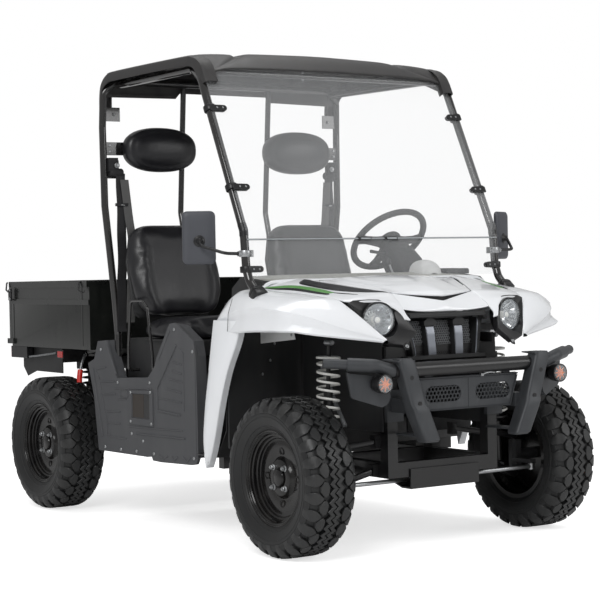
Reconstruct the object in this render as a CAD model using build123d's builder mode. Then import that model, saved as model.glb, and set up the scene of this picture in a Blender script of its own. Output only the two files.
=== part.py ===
"""Side by side utility vehicle: two seats, steel cab frame, tipping cargo bed.

Millimetres. +Z is up, -Y is forward and +X is the driver's side.
The origin is on the ground, midway along the overall length and width.
"""
from build123d import *
from math import atan2, cos, degrees, radians, sin
import os

os.makedirs("parts", exist_ok=True)

# ---------------------------------------------------------------- driving dimensions
overall_length = 2914
wheelbase = 2002
front_track = 1258
rear_track = 1266
front_overhang = 414           # front axle to the bumper's face

front_y = -overall_length / 2
rear_y = overall_length / 2
front_axle_y = front_y + front_overhang
rear_axle_y = front_axle_y + wheelbase
# the front half is laid out from a line behind the front axle, the rear half from one ahead of the rear axle
fore = front_axle_y + 1043
aft = rear_axle_y - 959

# wheels
tyre_radius = 317.5
tyre_width = 225
bead_radius = 178
bead_width = 164
flange_radius = 190
flange_thick = 6
rim_wall = 6
hub_radius = 52
spindle_radius = 24
stud_circle = 112
stud_count = 4
running_gap = 0.05
axle_z = tyre_radius

# general clearances
seat_gap = 0.3                 # a piece resting on its carrier
swing_gap = 6                  # a moving piece past a fixed one

# chassis
rail_x = 260
rail_w = 50
rail_h = 60
lower_rail_z = 325
upper_rail_z = 690
front_rail_z = 790
floor_thick = 6
floor_half = 655
floor_z = lower_rail_z + rail_h / 2 + seat_gap
toe_y = fore - 620
pillar_y = aft + 400
outrigger_half = 615

# cab frame
tube_r = 17.5
post_r = 13
post_x = 652
shoulder_y = aft + 345
shoulder_z = 1960
knee_y = aft + 393
knee_z = 1440
foot_x = 592
inner_x = 240
screen_base = (642, fore - 812, 1056.7)
screen_knee_z = 1311
screen_y = fore - 796
roof_front_y = fore - 492
roof_tube_z = 1938

# windscreen
pane_thick = 5
pane_half = 668
split_z = 1259
split_gap = 8
pane_bottom_z = 1098
pane_top_z = 1905

# roof
roof_half = 657
roof_crown_z = 2080
roof_edge_z = 2050
roof_skirt_z = 1998
roof_wall = 6
roof_nose_y = fore - 560
roof_tail_y = aft + 395

# body
body_wall = 5
fender_leg_x = 722
hood_rear_y = fore - 852
hood_front_y = fore - 1170
hood_peak_y = fore - 1240
dash_front_y = fore - 812

# seats
seat_x = 372
back_w = 460
cushion_w = 430
cushion_z = 832
cushion_h = 93
seat_base_half = 560
seat_base_front = aft - 200
seat_base_rear = aft + 372
headrest_z = 1700
headrest_w = 376
headrest_h = 207
headrest_d = 70
strap_y = aft + 351

# steering
wheel_centre = (370, fore - 408, 1260)
wheel_tilt = 46.2              # the rim's plane from vertical
wheel_ring_r = 178
wheel_grip_r = 14
kingpin_x = 540
steer_arm = 110
tie_rod_z = 280

# bed
bed_half = 650
bed_front_y = aft + 590
bed_bottom_z = 773
bed_top_z = 1097
bed_wall = 6
bed_floor_z = 788
gate_thick = 26
gate_sheet = 8
gate_front_y = rear_y - gate_thick
bed_pivot_y = rear_y - 87
bed_pivot_z = 756
bed_beam_h = 50
pivot_pin_r = 10
gate_pivot_z = bed_floor_z + 10
gate_pivot_y = gate_front_y + 13
gate_pin_r = 5

# side panels
panel_x = 645
panel_thick = 14
panel_front_y = aft - 380

# bumper
bumper_post_w = 78
bumper_post_d = 62
bumper_tube_r = 29
bumper_end_r = 24
bumper_end_x = 392


# ---------------------------------------------------------------- shared shapes
def rod(points, radius, bend=0):
    """A round bar along straight runs joined by arcs."""
    with BuildPart() as run:
        with BuildLine() as path:
            if len(points) > 2:
                FilletPolyline(*points, radius=bend)
            else:
                Line(*points)
        with BuildSketch(Plane(origin=path.line @ 0, z_dir=path.line % 0)):
            Circle(radius)
        sweep(path=path.line)
    return run.part


def slab(plane, outline, thick, holes=()):
    """A flat plate of a straight-sided outline, thick along the plane's normal."""
    with BuildPart() as plate:
        with BuildSketch(plane):
            with BuildLine():
                Polyline(*outline, close=True)
            make_face()
            for across, up, radius in holes:
                with Locations((across, up)):
                    Circle(radius, mode=Mode.SUBTRACT)
        extrude(amount=thick)
    return plate.part


def ruled(stations):
    """A straight-sided loft through outlines in XZ; each row is y, then its points."""
    with BuildPart() as body:
        for y, outline in stations:
            with BuildSketch(Plane.XZ.offset(-y)):
                with BuildLine():
                    Polyline(*outline, close=True)
                make_face()
        loft(ruled=True)
    return body.part


def ruled_across(stations):
    """A straight-sided loft through outlines in YZ; each row is x, then its points."""
    with BuildPart() as body:
        for x, outline in stations:
            with BuildSketch(Plane.YZ.offset(x)):
                with BuildLine():
                    Polyline(*outline, close=True)
                make_face()
        loft(ruled=True)
    return body.part


def block(x0, x1, y0, y1, z0, z1):
    """A box between two opposite corners."""
    with BuildPart() as solid:
        with Locations(((x0 + x1) / 2, (y0 + y1) / 2, (z0 + z1) / 2)):
            Box(x1 - x0, y1 - y0, z1 - z0)
    return solid.part


def write(part, name):
    part.label = name
    export_step(part, f"parts/{name}.step")


# ---------------------------------------------------------------- chassis frame
# columns: x from, x to, y from, y to, z from, z to (right half is mirrored)
rail_in = rail_x - rail_w / 2
rail_out = rail_x + rail_w / 2
lower_z0 = lower_rail_z - rail_h / 2
lower_z1 = lower_rail_z + rail_h / 2
upper_z0 = upper_rail_z - rail_h / 2
upper_z1 = upper_rail_z + rail_h / 2
front_z0 = front_rail_z - rail_h / 2
front_z1 = front_rail_z + rail_h / 2
frame_front_y = front_axle_y - 185
frame_rear_y = bed_pivot_y - 40
riser_y = seat_base_rear + 200
tower_top_z = front_z1 + 40
chassis_boxes = [
    (rail_in, rail_out, frame_front_y, riser_y + rail_w, lower_z0, lower_z1),
    (rail_in, rail_out, riser_y, frame_rear_y, upper_z0, upper_z1),
    (rail_in, rail_out, riser_y, riser_y + rail_w, lower_z1, upper_z0),
    (rail_in, rail_out, frame_front_y, front_axle_y + 290, front_z0, front_z1),
    (rail_in, rail_out, frame_front_y, frame_front_y + rail_w, lower_z1, front_z0),
    (rail_in, rail_out, front_axle_y + 240, front_axle_y + 290, lower_z1, front_z0),
    (rail_in, rail_out, front_axle_y - 25, front_axle_y + 25, front_z1, tower_top_z),
    (0, 430, front_axle_y - 25, front_axle_y + 25, tower_top_z, tower_top_z + 30),
    (0, rail_in, frame_front_y, frame_front_y + rail_w, lower_z0, lower_z1),
    (0, rail_in, frame_front_y, frame_front_y + rail_w, front_z0, front_z1),
    (0, rail_in, front_axle_y + 240, front_axle_y + 290, lower_z0, lower_z1),
    (0, rail_in, aft + 60, aft + 110, lower_z0, lower_z1),
    (0, rail_in, riser_y, riser_y + rail_w, lower_z0, lower_z1),
    (0, rail_in, riser_y, riser_y + rail_w, upper_z0, upper_z1),
    (0, rail_in, frame_rear_y - 60, frame_rear_y - 10, upper_z0, upper_z1),
    (rail_out, outrigger_half, pillar_y - 20, pillar_y + 20, lower_z0 + 10, lower_z1),
    (rail_out, outrigger_half, toe_y + 90, toe_y + 130, lower_z0 + 10, lower_z1),
    (rail_out, 455, rear_axle_y + 60, rear_axle_y + 120, upper_z0, upper_z1),
]
ear_gap = 1.5
ear_thick = 10
beam_in = rail_x - 20
beam_out = rail_x + 20
with BuildPart() as chassis_frame:
    for x0, x1, y0, y1, z0, z1 in chassis_boxes:
        with Locations(((x0 + x1) / 2, (y0 + y1) / 2, (z0 + z1) / 2)):
            Box(x1 - x0, y1 - y0, z1 - z0)
    # ears that hold the bed's pivot pins
    for x0 in (beam_in - ear_gap - ear_thick, beam_out + ear_gap):
        add(slab(Plane.YZ.offset(x0),
                 [(frame_rear_y - 50, upper_z0), (frame_rear_y - 50, upper_z1),
                  (bed_pivot_y - 22, bed_pivot_z + 18), (bed_pivot_y + 8, bed_pivot_z + 18),
                  (bed_pivot_y + 20, bed_pivot_z + 6),
                  (bed_pivot_y + 20, bed_pivot_z - 20), (frame_rear_y + 5, upper_z0)], ear_thick))
    add(rod([(beam_in - ear_gap - ear_thick, bed_pivot_y, bed_pivot_z),
             (beam_out + ear_gap + ear_thick, bed_pivot_y, bed_pivot_z)], pivot_pin_r))
    # bump pads that carry the lowered bed
    for pad_y in (riser_y + 60, rear_axle_y):
        add(block(rail_x - 18, rail_x + 18, pad_y - 25, pad_y + 25,
                  upper_z1, bed_floor_z - bed_wall - bed_beam_h - seat_gap))
    mirror(about=Plane.YZ)
    # hitch receiver: a square tube on a drop plate
    receiver_z = 470
    receiver_out = 63.5
    receiver_bore = 51
    receiver_len = 130
    hitch_pin_r = 8
    add(block(-60, 60, frame_rear_y - 45, frame_rear_y - 35, receiver_z - 45, upper_z0))
    add(block(-receiver_out / 2, receiver_out / 2, frame_rear_y - 35, frame_rear_y - 35 + receiver_len,
              receiver_z - receiver_out / 2, receiver_z + receiver_out / 2))
    add(block(-receiver_bore / 2, receiver_bore / 2, frame_rear_y - 35, frame_rear_y - 35 + receiver_len,
              receiver_z - receiver_bore / 2, receiver_z + receiver_bore / 2), mode=Mode.SUBTRACT)
    receiver_pin_y = frame_rear_y - 35 + receiver_len - 60
    add(rod([(-receiver_out, receiver_pin_y, receiver_z), (receiver_out, receiver_pin_y, receiver_z)],
            hitch_pin_r), mode=Mode.SUBTRACT)
write(chassis_frame.part, "chassis_frame")

# ---------------------------------------------------------------- floor pan
toe_top_z = 905
with BuildPart() as floor_pan:
    with BuildSketch(Plane.YZ.offset(-floor_half)):
        with BuildLine():
            Polyline((seat_base_front - seat_gap, floor_z), (seat_base_front - seat_gap, floor_z + floor_thick),
                     (toe_y + 80, floor_z + floor_thick), (toe_y + floor_thick, floor_z + 120),
                     (toe_y + floor_thick, toe_top_z), (toe_y, toe_top_z), (toe_y, floor_z + 118),
                     (toe_y + 77, floor_z), close=True)
        make_face()
    extrude(amount=2 * floor_half)
    # the sills' side panels stand outside the floor
    for side in (-1, 1):
        x0, x1 = sorted((side * (panel_x - panel_thick - seat_gap), side * (floor_half + 1)))
        add(block(x0, x1, panel_front_y, seat_base_front, floor_z - 1, floor_z + floor_thick + 1), mode=Mode.SUBTRACT)
write(floor_pan.part, "floor_pan")

# ---------------------------------------------------------------- seat base and battery
seat_base_top = cushion_z - seat_gap
base_wall = 6
with BuildPart() as seat_base:
    add(block(-seat_base_half, seat_base_half, seat_base_front, seat_base_rear, floor_z, seat_base_top))
    add(block(-seat_base_half + base_wall, seat_base_half - base_wall, seat_base_front + base_wall,
              seat_base_rear - base_wall, floor_z - 1, seat_base_top - base_wall), mode=Mode.SUBTRACT)
    # a shallow raised pan under each cushion's front edge
    for side in (-1, 1):
        add(block(side * seat_x - cushion_w / 2, side * seat_x + cushion_w / 2, seat_base_front - 12,
                  seat_base_front, seat_base_top - 70, seat_base_top))
write(seat_base.part, "seat_base")

with BuildPart() as battery_pack:
    add(block(-230, 230, seat_base_front + 80, seat_base_rear - 80, lower_z1 + seat_gap, lower_z1 + 300))
write(battery_pack.part, "battery_pack")

# ---------------------------------------------------------------- side panels
# columns: y from the rear half's line, z
panel_rows = [(-357, 312), (-374, 621), (-330, 790), (-208, 906), (-165, 912), (-40, 770), (60, 668), (89, 655),
              (332, 650), (372, 828), (500, 824), (548, 640), (530, 309), (60, 308), (20, 296), (-340, 298)]
panel_outline = [(aft + y, z) for y, z in panel_rows]
# brackets: y, z of each one that ties a panel to the seat base
panel_ties = [(-150, 780), (-150, 420), (210, 560), (320, 420)]
# ribs moulded on each panel: y from, y to, z from, z to
recess = (20, 112, 420, 548)
recess_deep = 8
rib_rise = 3
panel_ribs = [(-330, 500, 326, 338), (470, 500, 360, 800), (380, 440, 700, 712), (380, 452, 610, 622),
              (380, 460, 520, 532), (380, 466, 430, 442), (180, 340, 560, 572), (-300, -60, 520, 532),
              (-310, -60, 600, 612), (-290, -130, 680, 692), recess]
with BuildPart() as side_panels:
    add(slab(Plane.YZ.offset(panel_x - panel_thick), panel_outline, panel_thick))
    fillet(side_panels.faces().sort_by(Axis.X)[-1].edges(), 4)
    for y, z in panel_ties:
        add(block(seat_base_half + seat_gap, panel_x - panel_thick, aft + y - 15, aft + y + 15, z - 20, z + 20))
    # raised ribs and a framed recess on the outer face
    for y0, y1, z0, z1 in panel_ribs:
        add(block(panel_x - 1, panel_x + rib_rise, aft + y0, aft + y1, z0, z1))
    add(block(panel_x - recess_deep, panel_x + rib_rise + 1, aft + recess[0] + 12, aft + recess[1] - 12,
              recess[2] + 12, recess[3] - 12), mode=Mode.SUBTRACT)
    mirror(about=Plane.YZ)
write(side_panels.part, "side_panels")

# ---------------------------------------------------------------- hip hoops
hoop_x = seat_base_half + 55
hoop_r = 6
with BuildPart() as hip_hoops:
    add(rod([(seat_base_half + seat_gap, aft + 264, 690), (hoop_x, aft + 264, 690), (hoop_x, aft + 232, 986),
             (hoop_x, aft + 88, 958), (hoop_x, aft + 42, 690), (seat_base_half + seat_gap, aft + 42, 690)], hoop_r, 22))
    mirror(about=Plane.YZ)
write(hip_hoops.part, "hip_hoops")

# ---------------------------------------------------------------- cab frame
belt_anchor_y = aft + 384
pillar_foot_z = lower_z1 + seat_gap
with BuildPart() as rear_hoop:
    add(rod([(-foot_x, pillar_y, pillar_foot_z), (-foot_x, pillar_y, 420), (-foot_x - 20, pillar_y, 880), (-post_x, knee_y, knee_z),
             (-post_x, shoulder_y, shoulder_z), (-post_x + 90, shoulder_y - 5, 2010),
             (post_x - 90, shoulder_y - 5, 2010), (post_x, shoulder_y, shoulder_z), (post_x, knee_y, knee_z),
             (foot_x + 20, pillar_y, 880), (foot_x, pillar_y, 420), (foot_x, pillar_y, pillar_foot_z)], tube_r, 45))
    tab_z = 1855
    tab_hole_r = 5.5
    tab_hole_x = 612
    tab_y = aft + 355
    for side in (-1, 1):
        # drilled tab
        add(slab(Plane.XZ.offset(-tab_y - 2), [(side * 588, tab_z - 30), (side * 588, tab_z + 30),
                                              (side * post_x, tab_z + 30), (side * post_x, tab_z - 30)],
                 4, holes=[(side * tab_hole_x, tab_z, tab_hole_r)]))
        # strap that carries the headrest, and the seat belt's upper anchor
        add(slab(Plane.XZ.offset(-strap_y - 6), [(side * 470, 1672), (side * 470, 1727),
                                        (side * post_x, 1727), (side * post_x, 1672)], 6))
        add(slab(Plane.XZ.offset(-belt_anchor_y), [(side * 588, 1580), (side * 588, 1640),
                                        (side * post_x, 1640), (side * post_x, 1580)], 5))
write(rear_hoop.part, "rear_hoop")

with BuildPart() as inner_posts:
    add(rod([(inner_x, pillar_y - 28, seat_base_top + seat_gap), (inner_x, pillar_y - 28, 1300),
             (inner_x, knee_y + 10, knee_z - 30), (inner_x, shoulder_y + 7, 1991)], post_r, 60))
    mirror(about=Plane.YZ)
write(inner_posts.part, "inner_posts")

with BuildPart() as front_posts:
    for side in (-1, 1):
        add(rod([(side * screen_base[0], screen_base[1], screen_base[2]),
                 (side * post_x, screen_y, screen_knee_z),
                 (side * (post_x - 4), roof_front_y, roof_tube_z),
                 (side * (post_x - 30), roof_front_y + 120, 1990),
                 (side * (post_x - 60), shoulder_y - tube_r - 8, 1990)], tube_r, 60))
    add(rod([(-(post_x - 8), roof_front_y + 22, roof_tube_z + 8), (post_x - 8, roof_front_y + 22, roof_tube_z + 8)],
            post_r))
write(front_posts.part, "front_posts")

# ---------------------------------------------------------------- windscreen
lean = atan2(roof_front_y - screen_y, roof_tube_z - screen_knee_z)
pane_off = tube_r + seat_gap + pane_thick
knee_face_y = screen_y - pane_off / cos(lean)
foot_slope = (screen_y - screen_base[1]) / (screen_knee_z - screen_base[2])


def pane_y(z):
    """Front face of the screen at a height: nearly upright below the knee, leaning above it."""
    rise = z - screen_knee_z
    return knee_face_y + rise * (sin(lean) / cos(lean) if rise > 0 else foot_slope)


with BuildPart() as windscreen:
    upper = [(pane_y(split_z), split_z + split_gap / 2), (pane_y(screen_knee_z), screen_knee_z),
             (pane_y(pane_top_z), pane_top_z)]
    lower = [(pane_y(pane_bottom_z), pane_bottom_z), (pane_y(split_z), split_z - split_gap / 2)]
    for run in (upper, lower):
        outline = run + [(y + pane_thick, z) for y, z in reversed(run)]
        add(slab(Plane.YZ.offset(-pane_half), outline, 2 * pane_half))
write(windscreen.part, "windscreen")

# clamps: height of each pair that grips a pane to its post
clamp_heights = [1138, 1473, 1808]
clamp_h = 24
clamp_wall = 8
with BuildPart() as screen_clamps:
    for z in clamp_heights:
        low, high = z - clamp_h / 2, z + clamp_h / 2
        front = pane_y(low) - clamp_wall, pane_y(high) - clamp_wall
        plate = [(front[0], low), (pane_y(low) - seat_gap, low), (pane_y(high) - seat_gap, high), (front[1], high)]
        wrap = [(front[0], low), (pane_y(low) + 30, low), (pane_y(high) + 30, high), (front[1], high)]
        add(slab(Plane.YZ.offset(post_x - 50), plate, tube_r + 50 + 6))
        add(slab(Plane.YZ.offset(post_x + tube_r + seat_gap), wrap, 6))
    mirror(about=Plane.YZ)
write(screen_clamps.part, "screen_clamps")

with BuildPart() as screen_rail:
    add(block(-pane_half + 4, pane_half - 4, pane_y(split_z) - 6, pane_y(split_z) + pane_thick,
              split_z - split_gap / 2 + seat_gap, split_z + split_gap / 2 - seat_gap))
write(screen_rail.part, "screen_rail")

# ---------------------------------------------------------------- roof
def roof_section(half, edge_z, crown_z, skirt_z, wall=0):
    """Outline of the roof across the car; wall brings every side in by that much."""
    half, edge_z, crown_z = half - wall, edge_z - wall, crown_z - wall
    return [(-half, skirt_z), (-half, edge_z - 16), (-half + 50, edge_z), (-half * 0.35, crown_z),
            (half * 0.35, crown_z), (half - 50, edge_z), (half, edge_z - 16), (half, skirt_z)]


# columns: y, half width, edge height, crown height, skirt height
roof_rows = [
    (roof_nose_y, roof_half - 70, roof_edge_z - 44, roof_crown_z - 58, roof_skirt_z - 24),
    (roof_nose_y + 70, roof_half - 6, roof_edge_z - 16, roof_crown_z - 25, roof_skirt_z - 16),
    (roof_nose_y + 200, roof_half, roof_edge_z, roof_crown_z - 6, roof_skirt_z),
    (roof_tail_y - 60, roof_half, roof_edge_z + 4, roof_crown_z, roof_skirt_z),
    (roof_tail_y, roof_half, roof_edge_z - 30, roof_crown_z - 40, roof_skirt_z - 30),
]
with BuildPart() as roof:
    add(ruled([(y, roof_section(h, e, c, s)) for y, h, e, c, s in roof_rows]))
    inner_rows = [(roof_rows[0][0] + roof_wall,) + roof_rows[0][1:]] + roof_rows[1:-1]
    inner_rows += [(roof_rows[-1][0] - roof_wall,) + roof_rows[-1][1:]]
    add(ruled([(y, roof_section(h, e, c, s - 60, roof_wall)) for y, h, e, c, s in inner_rows]), mode=Mode.SUBTRACT)
    # pads that rest on the cab frame's top tubes
    for side in (-1, 1):
        for y in (fore - 280, aft + 40, aft + 260):
            add(block(side * 596 - 22, side * 596 + 22, y - 20, y + 20, 1990 + tube_r + seat_gap, roof_edge_z - 3))
    # drooping panel across the back, cut higher in its middle
    add(slab(Plane.XZ.offset(-roof_tail_y + 24),
             [(-roof_half + 18, roof_skirt_z - 20), (-roof_half + 26, 1940), (-270, 1946), (-215, 2006), (215, 2006),
              (270, 1946), (roof_half - 26, 1940), (roof_half - 18, roof_skirt_z - 20), (roof_half - 60, 2012),
              (215, 2040), (-215, 2040), (-roof_half + 60, 2012)], 5))
write(roof.part, "roof")

# ---------------------------------------------------------------- front body
# fender stations: y, then the outer skin from the hood line to the arch's lip (x, z)
fender_rows = [
    (fore - 738, [(602, 1060), (672, 1066), (702, 985), (708, 893)]),
    (fore - 880, [(592, 1046), (668, 1040), (716, 985), (722, 893)]),
    (fore - 1105, [(496, 1010), (590, 988), (698, 935), (718, 890)]),
    (fore - 1217, [(448, 980), (524, 962), (604, 915), (645, 882)]),
    (fore - 1328, [(354, 872), (366, 870), (376, 864), (384, 856)]),
]


def shell(points, wall):
    """Close an open outline with a copy set inboard and down by the wall."""
    return points + [(x - wall, z - wall * 0.6) for x, z in reversed(points)]


leg_rows = [(-738, 1050), (-603, 932), (-584, 850), (-527, 599), (-505, 431), (-524, 315), (-575, 400),
            (-618, 521), (-663, 688), (-743, 804), (-800, 880), (-800, 960)]
leg_outline = [(fore + y, z) for y, z in leg_rows]
with BuildPart() as fenders:
    add(ruled([(y, shell(pts, body_wall)) for y, pts in fender_rows]))
    add(slab(Plane.YZ.offset(floor_half + seat_gap), leg_outline, fender_leg_x - 14 - floor_half - seat_gap))
    mirror(about=Plane.YZ)
write(fenders.part, "fenders")

# hood lid, ending in a shallow V over the nose
# columns: y, half width, edge height, crown height
hood_rows = [(hood_rear_y, 375, 1081.2, 1095.1), (hood_front_y, 202, 1034, 1046), (hood_peak_y + 3, 3, 1010, 1011)]
hood_pin_y = fore - 856
hood_pin_z = 1066
hood_pin_r = 4
hood_knuckle_r = 8
with BuildPart() as hood:
    add(ruled([(y, [(-h, e - body_wall), (-h, e), (-h * 0.7, c), (h * 0.7, c), (h, e), (h, e - body_wall),
                    (h * 0.7, c - body_wall), (-h * 0.7, c - body_wall)]) for y, h, e, c in hood_rows]))
    for side in (-1, 1):
        x0, x1 = sorted((side * 262, side * 338))
        add(block(x0, x1, hood_pin_y - 3, hood_pin_y + 3, hood_pin_z, 1086))
        add(rod([(x0, hood_pin_y, hood_pin_z), (x1, hood_pin_y, hood_pin_z)], hood_knuckle_r))
        add(rod([(x0 - 2, hood_pin_y, hood_pin_z), (x1 + 2, hood_pin_y, hood_pin_z)], hood_pin_r + running_gap),
            mode=Mode.SUBTRACT)
write(hood.part, "hood")

lamp_x = 338.7
lamp_y = fore - 1253
lamp_z = 929.4
lens_r = 67
lamp_turn = 12.8               # lamps and bezels turn outward by this much
lamp_point = Vector(lamp_x, lamp_y, lamp_z)
lamp_dir = Vector(sin(radians(lamp_turn)), -cos(radians(lamp_turn)), 0)

# nose: panels beside the lid running down between lamp and grille, and the panel under the lid's V
# columns: y, inner x, inner z, outer x, outer z
wing_rows = [(dash_front_y - seat_gap, 390, 1090, 588, 1058), (fore - 880, 368, 1080, 576, 1052),
             (fore - 1170, 212, 1031, 462, 1004),
             (fore - 1203, 214, 1012, 440, 1004), (fore - 1240, 220, 990, 330, 1003),
             (fore - 1288, 226, 946, 252, 958), (fore - 1298, 214, 929, 240, 931)]
with BuildPart() as front_cover:
    add(ruled([(y, [(x0, z0 - body_wall), (x0, z0), (x1, z1), (x1, z1 - body_wall)])
               for y, x0, z0, x1, z1 in wing_rows]))
    add(ruled_across([(0, [(hood_peak_y, 1003), (fore - 1258, 956), (fore - 1253, 954), (hood_peak_y + 5, 1000)]),
                      (216, [(fore - 1168, 1031), (fore - 1264, 966), (fore - 1259, 962), (fore - 1160, 1029)])]))
    add(rod([tuple(lamp_point - lamp_dir * 90), tuple(lamp_point + lamp_dir * 120)], lens_r + seat_gap),
        mode=Mode.SUBTRACT)
    mirror(about=Plane.YZ)
write(front_cover.part, "front_cover")

# grille
grille_thick = 28
grille_y = frame_front_y - seat_gap
grille_top = 952
grille_low = 768
with BuildPart() as grille:
    add(slab(Plane.XZ.offset(-grille_y), [(-200, grille_low), (-236, 860), (-200, grille_top), (200, grille_top),
                                         (236, 860), (200, grille_low)], grille_thick))
    for x in (-150, -100, -50, 0, 50, 100, 150):
        add(block(x - 15, x + 15, grille_y - grille_thick - 1, grille_y - 12, grille_low + 25, grille_top - 30),
            mode=Mode.SUBTRACT)
write(grille.part, "grille")

# headlights
bezel_rake = 29                # its face leans back by this much
bezel_thick = 22
face_y = fore - 1276                 # the face, level with the lamp's middle
# across from the lamp's middle, and up its face
bezel_outline = [(128, 80), (104, 92), (-6, 92), (-76, 42), (-138, -58), (-78, -116), (2, -98)]
face_dir = lamp_dir * cos(radians(bezel_rake)) + Vector(0, 0, sin(radians(bezel_rake)))
bezel_plane = Plane(origin=Vector(lamp_x, face_y, lamp_z) - face_dir * bezel_thick,
                    x_dir=(cos(radians(lamp_turn)), sin(radians(lamp_turn)), 0), z_dir=face_dir)
with BuildPart() as headlight_bezels:
    add(slab(bezel_plane, bezel_outline, bezel_thick))
    add(rod([tuple(lamp_point - lamp_dir * 90), tuple(lamp_point + lamp_dir * 120)], lens_r + seat_gap),
        mode=Mode.SUBTRACT)
    add(front_cover.part, mode=Mode.SUBTRACT)
    add(fenders.part, mode=Mode.SUBTRACT)
    for scrap in headlight_bezels.solids().sort_by(SortBy.VOLUME)[:-1]:
        add(scrap, mode=Mode.SUBTRACT)
    mirror(about=Plane.YZ)
write(headlight_bezels.part, "headlight_bezels")
with BuildPart() as headlight_lenses:
    add(rod([tuple(lamp_point - lamp_dir * 52), tuple(lamp_point + lamp_dir * 14)], lens_r))
    mirror(about=Plane.YZ)
write(headlight_lenses.part, "headlight_lenses")

# inner liners of the front wheel wells
with BuildPart() as wheel_liners:
    add(block(rail_out + seat_gap, rail_out + 8, frame_front_y + 20, toe_y - 40, 480, tower_top_z - 2))
    add(block(rail_out + seat_gap, floor_half - 5, toe_y - 12, toe_y - seat_gap, 400, 900))
    mirror(about=Plane.YZ)
write(wheel_liners.part, "wheel_liners")

# skid plate: an upright front with its foot folded back under the rails
skid_half = 178
skid_wall = 8
skid_low = 246
skid_top = lower_z1 - 28
skid_front = frame_front_y - seat_gap - skid_wall
with BuildPart() as skid_plate:
    add(slab(Plane.YZ.offset(-skid_half),
             [(skid_front, skid_low), (skid_front, skid_top), (skid_front + skid_wall, skid_top),
              (skid_front + skid_wall, skid_low + 8), (skid_front + 60, skid_low + 8),
              (skid_front + 190, lower_z0 - seat_gap), (skid_front + 225, lower_z0 - seat_gap),
              (skid_front + 225, lower_z0 - 8), (skid_front + 192, lower_z0 - 8), (skid_front + 62, skid_low)],
             2 * skid_half))
write(skid_plate.part, "skid_plate")

# ---------------------------------------------------------------- bumper
post_top = (352, 783)
post_mid = (296, 600)
post_low = (232, 452)
post_hole_r = 9
hole_points = [(333, 708.5), (295.9, 606.6)]
half_post = bumper_post_w / 2
post_wall = 6
tube_y = front_y + 56
tube_path = [(-640, front_y + 165, 762), (-470, tube_y + 6, 743), (-380, tube_y, 735), (380, tube_y, 735),
             (470, tube_y + 6, 743), (640, front_y + 165, 762)]


def post_outline(inset):
    """Outline of a bumper post, brought in by inset on every side."""
    rows = [(post_low[0], post_low[1] + inset), post_mid, (post_top[0], post_top[1] - inset)]
    half = half_post - inset
    return [(x - half, z) for x, z in rows] + [(x + half, z) for x, z in reversed(rows)]


with BuildPart() as bumper_posts:
    add(slab(Plane.XZ.offset(-front_y - bumper_post_d), post_outline(0), bumper_post_d,
             holes=[(x, z, post_hole_r) for x, z in hole_points]))
    add(slab(Plane.XZ.offset(-front_y - bumper_post_d - 1), post_outline(post_wall), bumper_post_d - post_wall + 1),
        mode=Mode.SUBTRACT)
    add(rod([(-500, tube_y, 735), (500, tube_y, 735)], bumper_tube_r + seat_gap), mode=Mode.SUBTRACT)
    # stays back to the chassis
    add(block(rail_in + 2, rail_out - 2, front_y + bumper_post_d - 20, frame_front_y - 20, 560, 620))
    add(block(rail_in - 20, rail_out + 10, frame_front_y - 20, frame_front_y - seat_gap, 520, 650))
    mirror(about=Plane.YZ)
write(bumper_posts.part, "bumper_posts")

with BuildPart() as bumper_tube:
    add(rod(tube_path, bumper_end_r, 60))
    add(rod([(-bumper_end_x, tube_y, 735), (bumper_end_x, tube_y, 735)], bumper_tube_r))
write(bumper_tube.part, "bumper_tube")

with BuildPart() as bumper_plate:
    plate_y = front_y + 32
    add(slab(Plane.XZ.offset(-plate_y), [(-215, 573), (-253, 693), (253, 693), (215, 573)], 5))
    # folded edges, and brackets up to the tube
    add(slab(Plane.XZ.offset(-plate_y), [(-251, 688), (-253, 693), (253, 693), (251, 688)], -18))
    add(slab(Plane.XZ.offset(-plate_y), [(-217, 578), (-215, 573), (215, 573), (217, 578)], -18))
    for side in (-1, 1):
        add(block(side * 200 - 20, side * 200 + 20, plate_y, tube_y, 688, 735))
        with Locations(Location((side * 118, plate_y - 3, 632), (90, 0, 0))):
            Box(150, 58, 30, mode=Mode.SUBTRACT)
    add(rod([(-500, tube_y, 735), (500, tube_y, 735)], bumper_tube_r + seat_gap), mode=Mode.SUBTRACT)
write(bumper_plate.part, "bumper_plate")

turn_x = 452
turn_z = 691
turn_r = 26
# plates swept back below the tube's ends: across the plate, z
lamp_sweep = 21.7
lamp_plate_rows = [(0, 640), (0, 735), (168, 735), (152, 640), (34, 600)]
lamp_plate_plane = Plane(origin=(394, front_y + 65, 0),
                         x_dir=(cos(radians(lamp_sweep)), sin(radians(lamp_sweep)), 0),
                         z_dir=(sin(radians(lamp_sweep)), -cos(radians(lamp_sweep)), 0))
lamp_cut_plane = lamp_plate_plane.offset(5 + seat_gap)
with BuildPart() as lamp_plates:
    add(slab(lamp_plate_plane, lamp_plate_rows, 5))
    add(rod(tube_path, bumper_end_r + seat_gap, 60), mode=Mode.SUBTRACT)
    mirror(about=Plane.YZ)
write(lamp_plates.part, "lamp_plates")
with BuildPart() as turn_lamps:
    add(rod([(turn_x, front_y + 110, turn_z), (turn_x, front_y + 24, turn_z)], turn_r))
    add(slab(lamp_cut_plane, [(-60, 600), (-60, 780), (220, 780), (220, 600)], -90), mode=Mode.SUBTRACT)
    mirror(about=Plane.YZ)
write(turn_lamps.part, "turn_lamps")

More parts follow.
